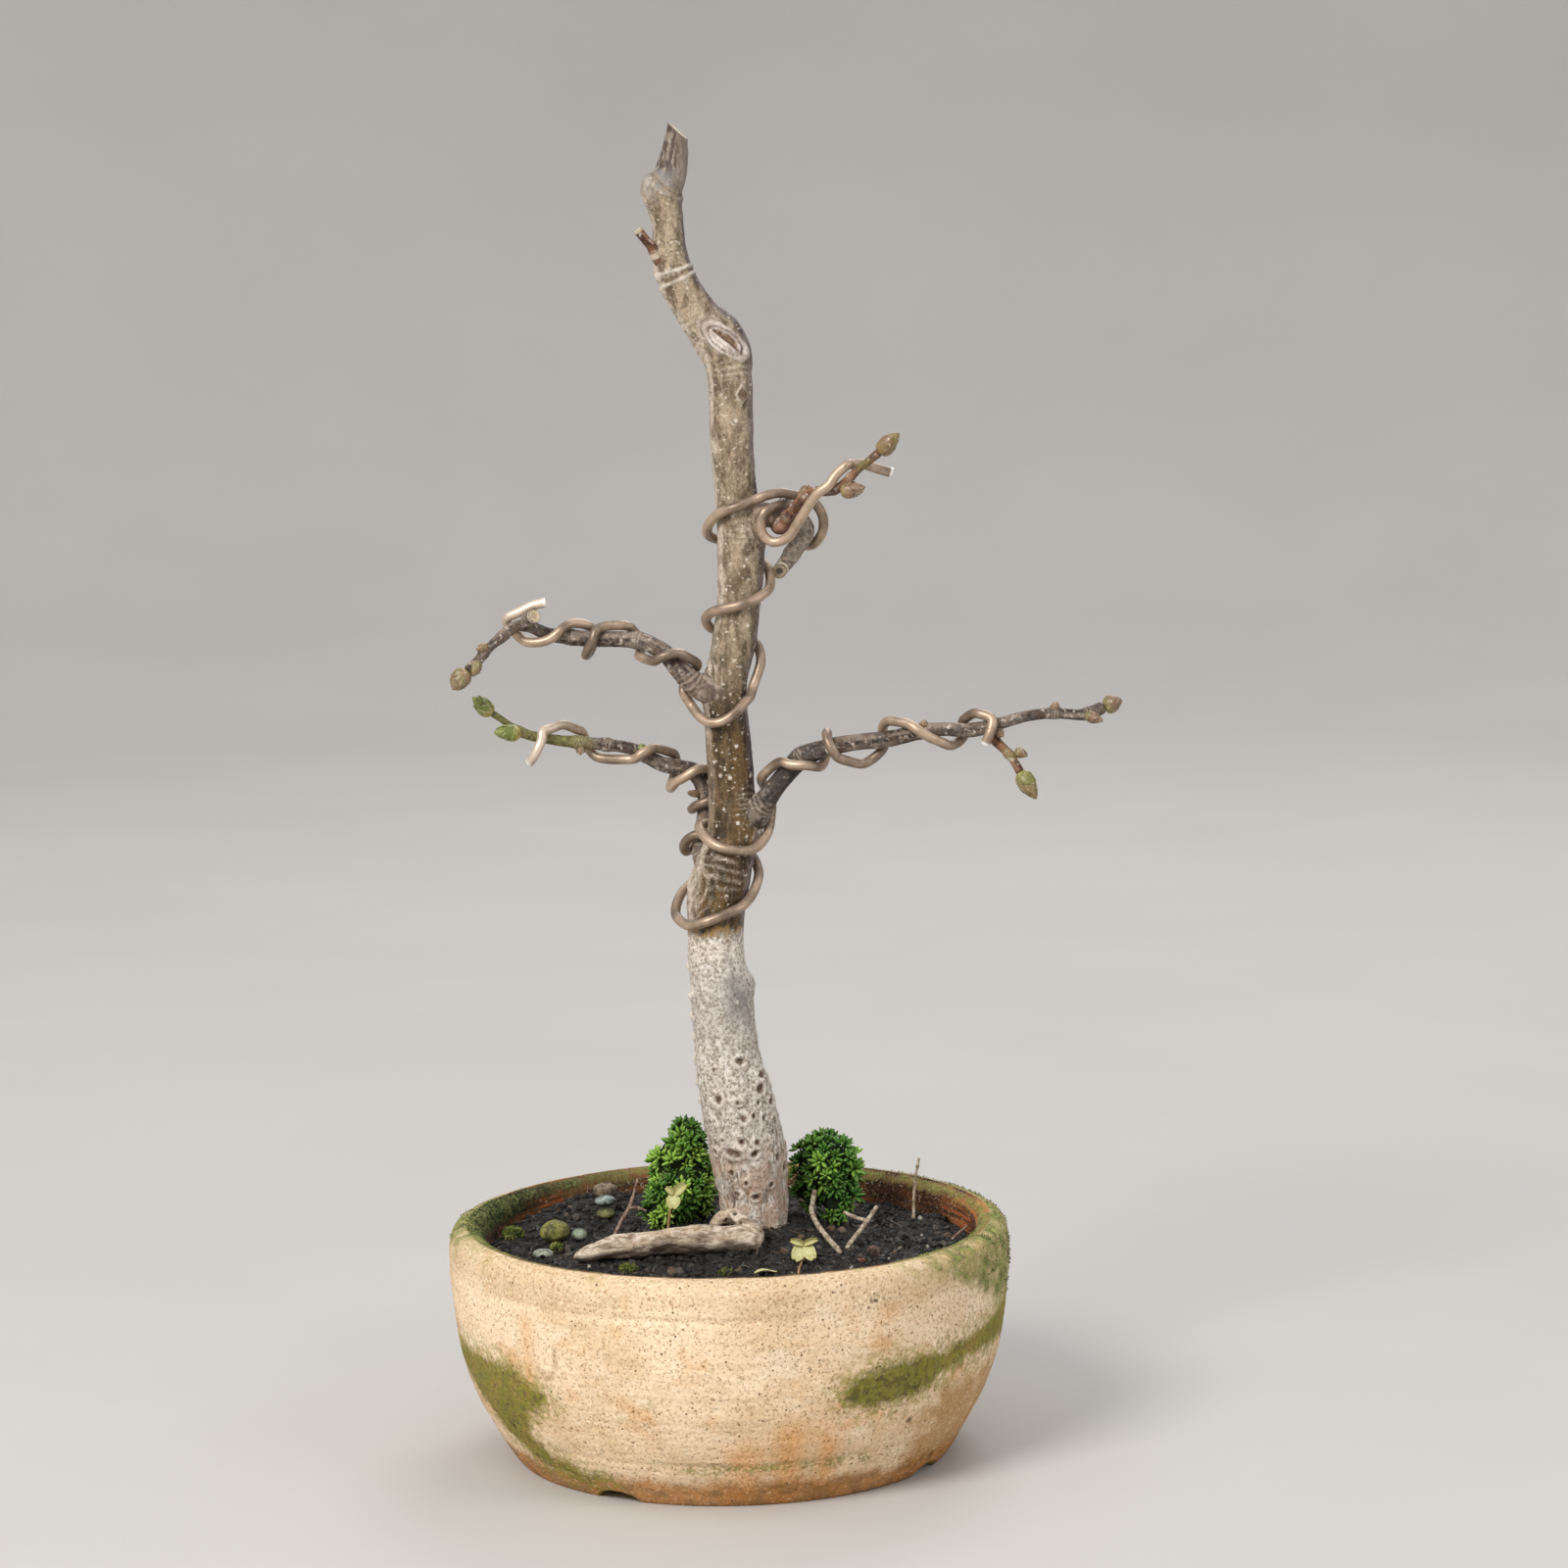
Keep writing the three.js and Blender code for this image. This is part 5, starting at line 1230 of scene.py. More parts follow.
def wood_finish(name, dark, light, grey, warmth):
    """Bark of a thin limb: its collar, green and black stretches, scars, rings, pores and wood."""
    bark = Finish(name)
    streaks = bark.noise(1.0, 5, (1.4, 1.4, 1.4), 2, 0.7)
    fibre = bark.layer("fibre") * 0.3 + streaks * 0.7
    tone = bark.mix(fibre.rises(0.34, 0.66), dark, light)
    ashy = bark.mix(streaks, 0x37302E, grey)
    tone = bark.mix(bark.noise(3.4, 4, shift=5).rises(0.5, 0.62) * 0.7, tone, ashy)
    tone = bark.mix(bark.noise(6, 3, shift=8).rises(0.5, 0.66) * 0.5, tone, warmth)
    lichen = bark.noise(2.6, 5, shift=14, roughness=0.65).rises(0.56, 0.66)
    tone = bark.mix(lichen * 0.75, tone, 0xCBC0B3)
    trunk_tone = bark.mix(bark.noise(3.2, 5, shift=16).rises(0.4, 0.62), 0x55453A, 0xA99A88)
    trunk_tone = bark.shaded(trunk_tone, 0.85 + fibre * 0.3)
    tone = bark.mix(bark.layer("collar") * 0.75, tone, trunk_tone)
    tone = bark.mix(bark.layer("lit"), tone, bark.mix(streaks.rises(0.38, 0.6), 0x6B625A, 0xB2A79B))
    tone = bark.mix(bark.layer("black") * 0.82, tone, 0x262322)
    fresh = bark.mix(streaks.rises(0.3, 0.7), 0x55522A, 0x8C8850)
    tone = bark.mix(bark.layer("green").rises(0.1, 0.8) * 0.85, tone, fresh)
    tone = bark.mix(bark.layer("pink") * 0.7, tone, 0xB0806C)
    tone = bark.mix(bark.layer("ringed") * 0.6, tone, 0xB8A793)
    tone = bark.mix(bark.layer("pale").rises(0.2, 0.8) * 0.85, tone, 0xCDBFA9)
    tone = bark.mix(bark.layer("pit").rises(0.2, 0.8) * 0.8, tone, 0x2B201A)
    wood = bark.mix(bark.noise(0.5, 3, shift=11).rises(0.35, 0.65), 0x9A835F, 0xDCCFB4)
    tone = bark.mix(bark.layer("wood").rises(0.35, 0.7), tone, wood)
    relief = streaks + bark.noise(0.5, 2) * 0.4
    return bark.done(tone, 0.72, relief, 0.16, Specular_IOR_Level=0.35)


def grown(rows, sides, spacing, grain=0.16, seed=0, collar=0):
    """The bark of a branch: its texture, a few scattered pores, and a collar like the trunk's bark."""
    bark = Bark(Limb(rows), sides, spacing)
    if collar:
        ragged = bark.distance + 2 * value_noise(bark.spots, 3, seed)
        bark.paint("collar", step_between(collar, collar * 0.55, ragged))
    bark.raise_by(bark.grain(2.6, grain, 2.2, seed) + bark.grain(7, grain * 1.4, 3, seed + 4))
    fibre = bark.grain(1.5, 1, 5, seed + 9)
    bark.raise_by(0.08 * fibre, "fibre", step_between(-0.6, 0.6, fibre))
    picker = np.random.default_rng(300 + seed)
    for _ in range(int(bark.limb.length / 4.5)):
        level, angle = picker.uniform(8, bark.limb.length), picker.uniform(-180, 180)
        size = picker.uniform(0.3, 0.55)
        near = bark.near(level, angle)
        bark.raise_by(0.14 * hump(near, 0, size))
        bark.paint("pale", hump(near, 0, size) * picker.uniform(0.5, 1))
    return bark


def ring_at(bark, *levels, spread=1.8, pitch=0.95, depth=0.16, swell=0.28):
    """Bud-scale scars, in a slight swelling of the limb."""
    for level in levels:
        bark.raise_by(swell * hump(bark.distance, level, spread * 1.2))
        bark.wrinkles(level, spread, pitch, depth, int(level))


branch_bark = wood_finish("branch_bark", 0x2F2623, 0x857669, 0x716963, 0x624938)

bark = grown(UPPER_LEFT, BRANCH_SIDES, BRANCH_SPACING, seed=1, collar=15)
bark.flare(7.5, 4.5, 1.0)
ring_at(bark, 12.5, spread=4.2, pitch=2.0, depth=0.34, swell=0.1)
ring_at(bark, 36.4, 61.5, 89, 98.6)
bark.raise_by(0.5 * hump(bark.near(85.5, 60), 0, 2.4))
bark.rounded_end(1.2)
upper_left = bark.piece("branch_upper_left_bark", branch_bark)
bark = grown(UPPER_LEFT_STUMP, 28, 0.4, seed=2)
ring_at(bark, 4.6, spread=1.2, pitch=0.9, depth=0.2, swell=0.3)
bark.paint("pale", hump(bark.distance, bark.limb.length, 0.9))
stump = bark.piece("stump", branch_bark, cut=1.0)
keep(join_meshes([upper_left, stump]), "branch_bark", "branch_upper_left")

bark = grown(LOWER_LEFT, BRANCH_SIDES, BRANCH_SPACING, seed=7, collar=20)
bark.flare(6.0, 5, 2.2)
ring_at(bark, 18, spread=4, pitch=1.7, depth=0.24, swell=0.1)
ring_at(bark, 40, 68, 81.5, 92, 114, swell=0.4)
greener = 0.75 + 0.25 * step_between(105, 118, bark.distance)
bark.paint("green", step_between(83, 91, bark.distance) * greener)
bark.rounded_end(1.0)
keep(bark.piece("branch_lower_left_bark", branch_bark), "branch_bark", "branch_lower_left")

bark = grown(RIGHT, BRANCH_SIDES, BRANCH_SPACING, seed=13, collar=13)
bark.flare(8.5, 4, 1.9)
bark.wrinkles(11.5, 3.2, 1.5, 0.3, 3)
ring_at(bark, 34.5, 80.5, 104, 127, 139)
bark.paint("black", step_between(60, 26, bark.distance) * (0.6 + 0.4 * hump(bark.distance, 34, 14)))
bark.paint("pale", hump(bark.distance, 12, 3.4) * step_between(-0.1, 0.6, bark.grain(1.6, 1, 4, 2)))
bark.paint("pink", hump(bark.near(116.2, 180), 0, 1.5))
scar = bark.near(47, 12)  # where a leaf was: a pale ring round a dark dot
bark.raise_by(0.45 * hump(scar, 1.35, 0.7) - 0.3 * hump(scar, 0, 0.7))
bark.paint("pale", hump(scar, 1.35, 0.75))
bark.paint("pit", hump(scar, 0, 0.7))
bark.rounded_end(1.2)
keep(bark.piece("branch_right_bark", branch_bark), "branch_bark", "branch_right")

bark = grown(TOP_STUB, BRANCH_SIDES, 0.42, 0.24, seed=19, collar=12)
bark.flare(5.5, 4, 1.6)
ring_at(bark, 11, spread=3, pitch=1.3, depth=0.26, swell=0.3)
ring_at(bark, 27.5, 36, spread=1.5, swell=0.3)
for level, angle, size in (  # warts
    (3.5, 62, 2.2), (6.5, -25, 1.9), (5, 25, 1.6), (9, -20, 1.5), (11.5, 15, 1.3), (13.5, -55, 1.2),
    (31, 60, 0.9), (38, 20, 0.8),
):
    wart = hump(bark.near(level, angle), 0, size)
    bark.raise_by(0.8 * size * wart)
    bark.paint("pale", wart * 0.6)
    bark.paint("pink", hump(bark.near(level, angle), 0, size * 0.8))
bark.paint("pale", hump(bark.distance, bark.limb.length, 1.1))
bark.paint("lit", step_between(6, 20, bark.distance) * 0.6)
stub = bark.piece("branch_top_bark", branch_bark, cut=1.2, heart=0.1, slant=3.6, reach=6, toward=180)
keep(stub, "branch_bark", "branch_top")

# ----------------------------------------------------------------------------------------------
# The young shoots: last year's growth on the right branch and on the top stub, and a cut spur near
# the trunk's tip. Their bark is thin, smooth and redder.

RIGHT_SIDE = [
    [94.4, -21, 261, 1.5], [95, -21.2, 257.8, 1.6], [96.4, -22.2, 255.6, 1.7], [99.2, -25.4, 253, 1.6],
    [102.2, -29, 249.4, 1.5], [104.2, -31, 245.6, 1.6],
]
TOP_SHOOT = [
    [22.4, 0, 331, 2.6], [22.8, -3.6, 331, 2.5], [24.4, -6.4, 332.6, 2.3], [27.4, -8.8, 336.8, 2.1],
    [31.2, -11, 341, 2], [35.4, -12.6, 342.9, 1.9], [39.4, -14, 343.3, 1.8], [42.4, -15.2, 344, 1.7],
    [45.6, -16.5, 346.6, 1.5], [51, -18.5, 351.6, 1.4], [57.2, -20.2, 356.6, 1.5],
]
SPUR = [(-15, -2, 421, 2), (-20, -6, 427.9, 1.7), (-22.6, -8, 431, 1.5), (-24.9, -9, 434, 1.6)]
SHOOT_SIDES = 36

young_bark = wood_finish("young_bark", 0x40271D, 0x8A6248, 0x7A6A5E, 0x7E5238)

bark = grown(RIGHT_SIDE, SHOOT_SIDES, 0.32, 0.12, seed=23)
bark.flare(1.5, 1.6, 0.6)
ring_at(bark, 4.2, 13.2, spread=1.2, pitch=0.8, depth=0.14)
bark.paint("black", step_between(9, 2, bark.distance) * 0.6)
bark.paint("green", hump(bark.distance, 14.5, 5) * 0.5)
bark.rounded_end(0.8)
keep(bark.piece("shoot_right_bark", young_bark), "young_bark", "shoot_right")

bark = grown(TOP_SHOOT, SHOOT_SIDES, 0.32, 0.14, seed=29)
bark.flare(1.5, 2.2, 0.9)
ring_at(bark, 3.6, 6.2, 9.2, spread=1.0, pitch=0.8, depth=0.2, swell=0.5)
ring_at(bark, 19.2, 30.4, 38, spread=1.1, pitch=0.8, depth=0.14)
bark.paint("pink", hump(bark.near(5.4, 10), 0, 1.5))
bark.paint("green", hump(bark.distance, 45, 4) * 0.6)
bark.rounded_end(0.8)
keep(bark.piece("shoot_top_bark", young_bark), "young_bark", "shoot_top")

bark = grown(SPUR, SHOOT_SIDES, 0.3, 0.14, seed=31)
bark.flare(6.4, 1.4, 1.1)
ring_at(bark, 8.2, spread=1.2, pitch=0.8, depth=0.2, swell=0.3)
bark.paint("pale", hump(bark.distance, 7.4, 1.2))
bark.paint("pale", hump(bark.distance, bark.limb.length, 0.6))
keep(bark.piece("spur_top_bark", young_bark, cut=0.8), "young_bark", "spur_top")

# ----------------------------------------------------------------------------------------------
# The winter buds: each is wrapped in overlapping waxy scales with thin pale edges. The large end
# buds have begun to swell, and show green. Each sits on the limb in the shape it grew in.

BUDS = {  # foot, tip, radius, how many scales show
    "bud_upper_left_end": ((-88.3, -8, 281.9), (-93.1, -11, 275.7), 3, 7),
    "bud_upper_left_side": ((-81, -3, 289.8), (-85, -4.8, 289.3), 1.6, 5),
    "bud_upper_left_low": ((-84.4, -6, 284.8), (-86, -8.8, 280), 1.9, 5),
    "bud_lower_left_end": ((-80.6, 4.3, 265.6), (-87.1, 2, 271.8), 2.6, 4),
    "bud_lower_left_side": ((-71.1, 5.6, 258.2), (-79.9, 1.6, 259.1), 2.7, 4),
    "bud_lower_left_elbow": ((-8, 17, 233.8), (-12.4, 14.2, 235), 1.2, 4),
    "bud_lower_left_low": ((-49.6, 14.6, 252.2), (-50.2, 12.4, 249.2), 1.5, 4),
    "bud_lower_left_top": ((-28.2, 18.8, 248.8), (-28.2, 18.2, 252.4), 1.8, 5),
    "bud_right_end": ((134.6, -14.4, 266.4), (141, -13.6, 268.4), 2.9, 6),
    "bud_right_low": ((128, -17, 263.8), (133.8, -19.6, 261.8), 1.9, 6),
    "bud_right_top": ((116.6, -17.6, 265.4), (117.9, -18, 268.7), 1.7, 5),
    "bud_right_mid": ((71.2, -21, 260.6), (71.6, -21.6, 263.8), 1.6, 5),
    "bud_right_fork": ((96.6, -23, 259.6), (98.8, -25.6, 257.6), 1.4, 5),
    "bud_right_side_end": ((104.2, -31, 245.6), (109.4, -35, 236.8), 3, 4),
    "bud_right_side_low": ((102.6, -28, 252.8), (107.1, -27, 251), 1.7, 6),
    "bud_top_end": ((57.2, -20.2, 356.6), (64.1, -22, 363.3), 2.9, 5),
    "bud_top_side": ((44, -16.4, 342.9), (52.3, -18.4, 344.7), 2.6, 6),
    "bud_top_low": ((30.9, -9.6, 341.4), (32.8, -7.8, 345.2), 2, 5),
}
GREEN_BUDS = {"bud_lower_left_end", "bud_lower_left_side", "bud_lower_left_top"}
MIXED_BUDS = {"bud_right_side_end", "bud_top_end"}  # green, with some brown scales
BUD_OUTLINE = [  # share of the length, share of the radius
    (0, 0.5), (0.06, 0.74), (0.2, 0.97), (0.45, 1.0), (0.68, 0.84), (0.85, 0.54), (0.95, 0.28), (1, 0.05),
]
SCALE_THICKNESS = 0.1


class Gathered:
    """Points, faces and layers of one piece, gathered from several closed shapes."""

    def __init__(self):
        self.points, self.faces, self.layers, self.count = [], [], {}, 0

    def add(self, points, faces, **layers):
        points = np.asarray(points).reshape(-1, 3)
        self.faces += [tuple(self.count + i for i in face) for face in faces]
        self.points.append(points)
        for name in set(self.layers) | set(layers):
            known = self.layers.setdefault(name, [np.zeros(self.count)])
            values = np.asarray(layers.get(name, 0.0), float).reshape(-1)
            known.append(np.broadcast_to(values, (len(points),)))
        self.count += len(points)

    def piece(self, name, finish):
        made = make_object(name, np.concatenate(self.points), self.faces, finish)
        for key, parts in self.layers.items():
            store(made, key, np.concatenate(parts))
        return made


def shell_faces(rows, columns):
    """Faces of a thin closed shape from a grid on its outer side and one on its inner side."""
    grid = np.arange(rows * columns).reshape(rows, columns)
    total = rows * columns
    outer = np.stack([grid[:-1, :-1], grid[:-1, 1:], grid[1:, 1:], grid[1:, :-1]], -1).reshape(-1, 4)
    faces = outer.tolist() + (outer[:, ::-1] + total).tolist()
    border = list(grid[0]) + list(grid[1:, -1]) + list(grid[-1, -2::-1]) + list(grid[-2:0:-1, 0])
    for a, b in zip(border, border[1:] + border[:1]):
        faces.append((b, a, a + total, b + total))
    return faces


def bud_finish(name, low, middle, tip, edge, browned=0.0):
    bud = Finish(name)
    streaks = bud.noise(0.7, 4, shift=3, roughness=0.65)
    tone = bud.mix(bud.layer("along").rises(0.05, 0.4), low, middle)
    tone = bud.mix(bud.layer("along").rises(0.55, 1.0) * 0.8, tone, tip)
    tone = bud.mix(bud.layer("tone").rises(0.55, 0.7) * browned, tone, 0x7A5444)
    tone = bud.shaded(tone, 0.5 + bud.layer("tone") * 0.4 + streaks * 0.55)
    tone = bud.mix(bud.layer("edge").rises(0.6, 1.0) * 0.75, tone, edge)
    tone = bud.mix(bud.noise(1.4, 4, shift=7).rises(0.54, 0.66) * 0.55, tone, 0x4A3528)
    tone = bud.mix(bud.noise(1.1, 4, shift=9).rises(0.58, 0.68) * 0.5, tone, 0xD6CCB4)
    return bud.done(tone, 0.45, streaks, 0.1, Specular_IOR_Level=0.5, Coat_Weight=0.15)


brown_bud = bud_finish("brown_bud", 0x8C8252, 0x82684E, 0x8E7A60, 0xCDBFA4, 0.3)
olive_bud = bud_finish("brown_bud_olive", 0x908452, 0x857850, 0x87735A, 0xC4B594, 0.55)
green_bud = bud_finish("green_bud", 0xA29048, 0x6F7C33, 0x808A48, 0xBDB886)
mixed_bud = bud_finish("green_bud_brown_scales", 0x98904A, 0x7C7C3C, 0x87754E, 0xBFB088, 0.85)


def bud_piece(name, foot, tip, radius, scales, finish):
    foot, tip = np.array(foot, float), np.array(tip, float)
    length = np.linalg.norm(tip - foot)
    axis = (tip - foot) / length
    front = np.array([0.0, -1.0, 0.0]) + axis[1] * axis
    front /= np.linalg.norm(front)
    side = np.cross(axis, front)
    outline = smooth_curve([(h, r, 0) for h, r in BUD_OUTLINE], 8)

    def place(share, angle, lift):
        reach = np.interp(share, outline[:, 0], outline[:, 1]) * radius + lift
        out = front * np.cos(angle)[..., None] + side * np.sin(angle)[..., None]
        return foot + axis * (share * length)[..., None] + out * reach[..., None]

    bud = Gathered()
    stops, turn = np.linspace(0, 1, 22)[:, None], np.linspace(0, 2 * math.pi, 24, endpoint=False)
    share, angle = stops + 0 * turn, turn + 0 * stops
    body = place(share, angle, -0.06 * radius)
    points = np.concatenate([body.reshape(-1, 3), [body[0].mean(0), body[-1].mean(0)]])
    bud.add(points, grid_faces(22, 24), along=np.append(share.reshape(-1), [0, 1]), tone=0.6, edge=0.0)
    wave = sum(ord(letter) for letter in name)
    for k in range(scales):
        inner = k / scales
        last = min(0.42 + 0.6 * inner**0.85, 0.995)
        middle = math.radians(wave * 7 + 180 * k + 22 * math.sin(wave + k * 2.3))
        v, u = np.linspace(0, 1, 14)[:, None], np.linspace(-1, 1, 13)
        half = math.radians(104 - 22 * inner) * np.sqrt(np.clip(1 - v**2.6, 0, 1)) + 0.02
        angle = middle + u * half
        share = last * v * (1 - 0.13 * u**2 * v) + 0 * u
        lift = radius * (0.13 * (1 - inner) + 0.035) * (1 - 0.45 * u**2)
        lift = lift + 0.09 * radius * v**3 * (1 - u**2)
        top = place(share, angle, lift)
        under = place(share, angle, lift - SCALE_THICKNESS - 0.02 * radius)
        edge = np.maximum(np.abs(u) ** 3 + 0 * v, v**4 + 0 * u)
        tone = 0.5 + 0.5 * math.sin(wave * 3.7 + k * 1.9)
        bud.add(
            np.concatenate([top.reshape(-1, 3), under.reshape(-1, 3)]), shell_faces(14, 13),
            along=np.tile(share.reshape(-1), 2), tone=tone, edge=np.tile(edge.reshape(-1), 2),
        )
    return bud.piece(name + "_scales", finish)


for name, (foot, tip, radius, scales) in BUDS.items():
    finish, slot = brown_bud, "brown_bud"
    if name in GREEN_BUDS:
        finish, slot = green_bud, "green_bud"
    elif name in MIXED_BUDS:
        finish, slot = mixed_bud, "green_bud"
    elif name.startswith("bud_upper_left"):
        finish = olive_bud
    keep(bud_piece(name, foot, tip, radius, scales, finish), slot, name)

# ----------------------------------------------------------------------------------------------
# The training wires: two lengths of 3.5 mm soft aluminium wire, anodised bronze. Each is wound by
# hand from a branch round the trunk to another branch, and snipped off bright at both ends.

WIRE_RADIUS = 1.75
WIRE_CLEARANCE = 0.3  # between the wire and the bark
TRACK_SAMPLES = 40  # to each stretch between two rows
# A stretch wound on a limb lists distance along it, degrees round it, and lift off the bark.
# A stretch of free points lists x, y, z.
WIRE_UPPER = [
    [
        (-60.4, 4, 304.6), (-65.4, 4.5, 303.4), (-69.6, 5, 301.4),
    ],
    [
        (83.2, 120, 0.6), (83.5, 150, 0.2), (82.5, 200, 0.2), (76, 275, 1.2), (71, 325, 0.1),
        (65, 395, 0.1), (61, 445, 0.3), (56.5, 480, 0.3), (55, 560, 0.1), (55.5, 640, 1),
        (52, 715, 0.3), (47.5, 795, 0.1), (43, 815, 0.1), (40, 865, 0.1), (36.5, 940, 0.1),
        (33.5, 995, 0.2), (29, 1012, 0.3), (24.5, 1070, 0.1), (21.5, 1130, 0.1), (17.5, 1160, 0.3),
        (13.5, 1205, 0.8),
    ],
    [
        (-11.5, 4.4, 276), (-12.6, 2, 272.4),
    ],
    [
        (211.5, -88, 2.9), (207.5, -60, 0.8), (206, -12, 0.3), (212.5, 42, 0.2), (218.5, 78, 0.3),
        (229, 96, 1.1), (233, 118, 0.3), (236, 190, 0.1), (238.5, 255, 0.7), (241, 274, 1.2),
        (244.5, 308, 0.2), (246.5, 345, 0.1), (249, 385, 0.1), (251.5, 415, 0.1), (254.5, 448, 0.7),
        (259, 470, 0.5), (263.5, 520, 0.1), (268.5, 580, 0.1), (273, 626, 1.4), (276.5, 642, 1.2),
        (280.5, 672, 0.1), (282.5, 715, 0.4), (284, 752, 0.4),
    ],
    [
        (19.4, -4.6, 341.8), (23.2, -3.6, 342.2), (27, -3, 341.4), (31, -2, 340.4), (35.4, 0, 337.4),
        (37.6, 1.2, 332.8), (37.2, 3, 327.6), (33.6, 7, 323), (28.8, 10, 323.4), (26.4, 9.6, 327),
        (25.6, 8, 332), (25.4, 5.8, 336.8), (24.6, 1.4, 339.2), (22.6, -3.6, 338), (19.8, -6.4, 337.2),
        (17, -7.6, 335.6), (15.8, -7.4, 332.6), (15.9, -6.8, 329.4), (17.2, -6.4, 326.8),
        (19.8, -6.8, 325.3), (23.2, -8, 325.8), (26.1, -9.8, 328), (27.9, -11.6, 331),
    ],
    [
        (23.5, 24, 0.2), (29, -22, 0.1), (35, -76, 0.6), (40.5, -112, 0.5),
    ],
    [
        (47.7, -15.2, 352.2), (51.2, -14.2, 352.4), (54.4, -13.2, 351.3), (57.8, -12.6, 350.2),
        (61.8, -12.4, 349),
    ],
]
WIRE_LOWER = [
    [
        (108, -76, 5.6), (106.5, -10, 0.2), (103.5, 68, 0.3), (98.5, 88, 1.8), (93.5, 104, 0.6),
        (89.5, 150, 0.1), (87, 215, 0.1), (81, 272, 1), (74, 297, 0.3), (67.5, 385, 0.1),
        (63.5, 440, 0.1), (58.5, 464, 0.1), (56, 510, 0.1), (55.5, 570, 0.6), (56, 622, 3),
        (53.5, 668, 0.8), (49, 725, 0.1), (47, 765, 0.1), (43, 830, 0.1), (38.5, 890, 0.1),
        (34.5, 945, 0.1), (33, 1000, 0.1), (35, 1050, 0.1), (36.5, 1105, 0.1), (34, 1165, 0.1),
        (28.5, 1230, 0.1), (22, 1290, 0.3), (19.4, 1330, 1), (20.4, 1362, 1.1), (22.2, 1410, 0.2),
        (21.6, 1462, 0.1),
    ],
    [
        (-1.2, 10, 216.4), (1.4, 14, 213.4), (0.8, 18.4, 209.4), (-4.8, 18.2, 205.2),
        (-11.4, 13.2, 202.2), (-15.2, 6, 199.2),
    ],
    [
        (136, -92, 2.2), (133, -50, 0.3), (135, -15, 0.3), (138.5, 20, 0.1), (142.5, 50, 0.1),
        (147.5, 78, 0.1), (153, 96, 0.7), (159, 128, 0.3), (163, 170, 0.1), (166.5, 205, 0.1),
        (168.5, 232, 0.3), (167.5, 266, 1), (163, 304, 0.2), (160.5, 345, 0.4), (161, 380, 0.3),
        (163.5, 422, 0.2), (167, 446, 1.8),
    ],
    [
        (17.4, 1.4, 227.4), (17.6, 4.4, 232.6), (15.4, 4.4, 237.8), (14.4, 0.4, 240.6),
    ],
    [
        (20.5, 268, 0.4), (25.5, 285, 0.1), (32.5, 355, 0.1), (38, 400, 0.1), (41, 490, 0.1),
        (45.5, 605, 0.1), (48.5, 725, 0.1), (51.5, 785, 1), (57, 808, 2.8), (62.5, 838, 0.9),
        (64.5, 900, 0.2), (65, 945, 0.2), (69, 985, 1.2), (73.5, 1006, 0.3), (79, 1064, 0.1),
        (85, 1134, 0.1), (90, 1172, 1.2), (94, 1222, 0.1), (94.5, 1312, 0.1), (99, 1345, 1.2),
        (103.5, 1378, 0.2), (103.3, 1450, 0.4), (100.6, 1490, 2.2),
    ],
]


def wound(limb, rows):
    """Points of a stretch of wire that is wound on a limb."""
    rows = np.array(rows, float)
    track = smooth_curve(rows, TRACK_SAMPLES, 1.0)
    shares = []
    for i, (here, there) in enumerate(zip(rows, rows[1:])):
        steps = max(1, round(abs(there[1] - here[1]) / 20))
        shares += [i + step / steps for step in range(steps)]
    shares = np.array(shares + [len(rows) - 1])
    spots = shares * TRACK_SAMPLES
    distance, angle, lift = (np.interp(spots, np.arange(len(track)), track[:, k]) for k in range(3))
    centre, _, radius, front, side = limb.at(distance)
    turn = np.radians(angle)[:, None]
    reach = radius + WIRE_CLEARANCE + WIRE_RADIUS + np.maximum(0, lift)
    return centre + (front * np.cos(turn) + side * np.sin(turn)) * reach[:, None]


def wire_path(stretches):
    parts = [wound(limb, rows) if limb else np.array(rows, float) for limb, rows in stretches]
    return resample(smooth_curve(np.concatenate(parts), 12), 0.9)


def wire_finish():
    wire = Finish("training_wire")
    along = wire.layer("along") / MM
    patches = wire.noise(13, 3, shift=4)
    tone = wire.mix(patches.rises(0.36, 0.64), 0x7F6E5E, 0xBFA790)
    tone = wire.mix(wire.noise(2.2, 4, shift=9).rises(0.56, 0.72) * 0.45, tone, 0x5E5243)
    scuffs = wire.noise(0.7, 3, shift=11).rises(0.62, 0.72)
    tone = wire.mix(scuffs * 0.5, tone, 0xDCCCB8)
    # the anodising is rubbed off towards the first end, and both ends are cut bright
    worn = (along + (patches - 0.5) * 14).rises(27, 9)
    tone = wire.mix(worn * 0.8, tone, 0xEAD9C6)
    bare = (along - 0.9).rises(0.3, -0.3) + (wire.layer("left") / MM - 0.9).rises(0.3, -0.3)
    tone = wire.mix(bare, tone, 0xF1EFEA)
    roughness = 0.36 + patches * 0.16 - scuffs * 0.06
    return wire.done(tone, roughness, wire.noise(1.6, 3, shift=2) + scuffs * 0.4, 0.06, Metallic=0.55)


def wire_piece(name, stretches, finish):
    path = wire_path(stretches)
    recipe = Recipe(name + "_sweep")
    line = recipe.node("GeometryNodeMeshToCurve", sockets={"Mesh": recipe.shape})
    length = recipe.node("GeometryNodeSplineLength")
    run = recipe.node("GeometryNodeSplineParameter", output="Length")
    line = recipe.marked(line, "along", run, "POINT")
    line = recipe.marked(line, "left", length - run, "POINT")
    swept = recipe.tube(line, 18, recipe.given("Wire radius", WIRE_RADIUS * MM))
    swept = recipe.moved(swept, recipe.jitter(7.0, recipe.given("Kink height", 0.07)))
    made = recipe.run(line_object(name, path), swept, finish)
    sides = [face.loop_total == 4 for face in made.data.polygons]
    made.data.polygons.foreach_set("use_smooth", sides)
    return made


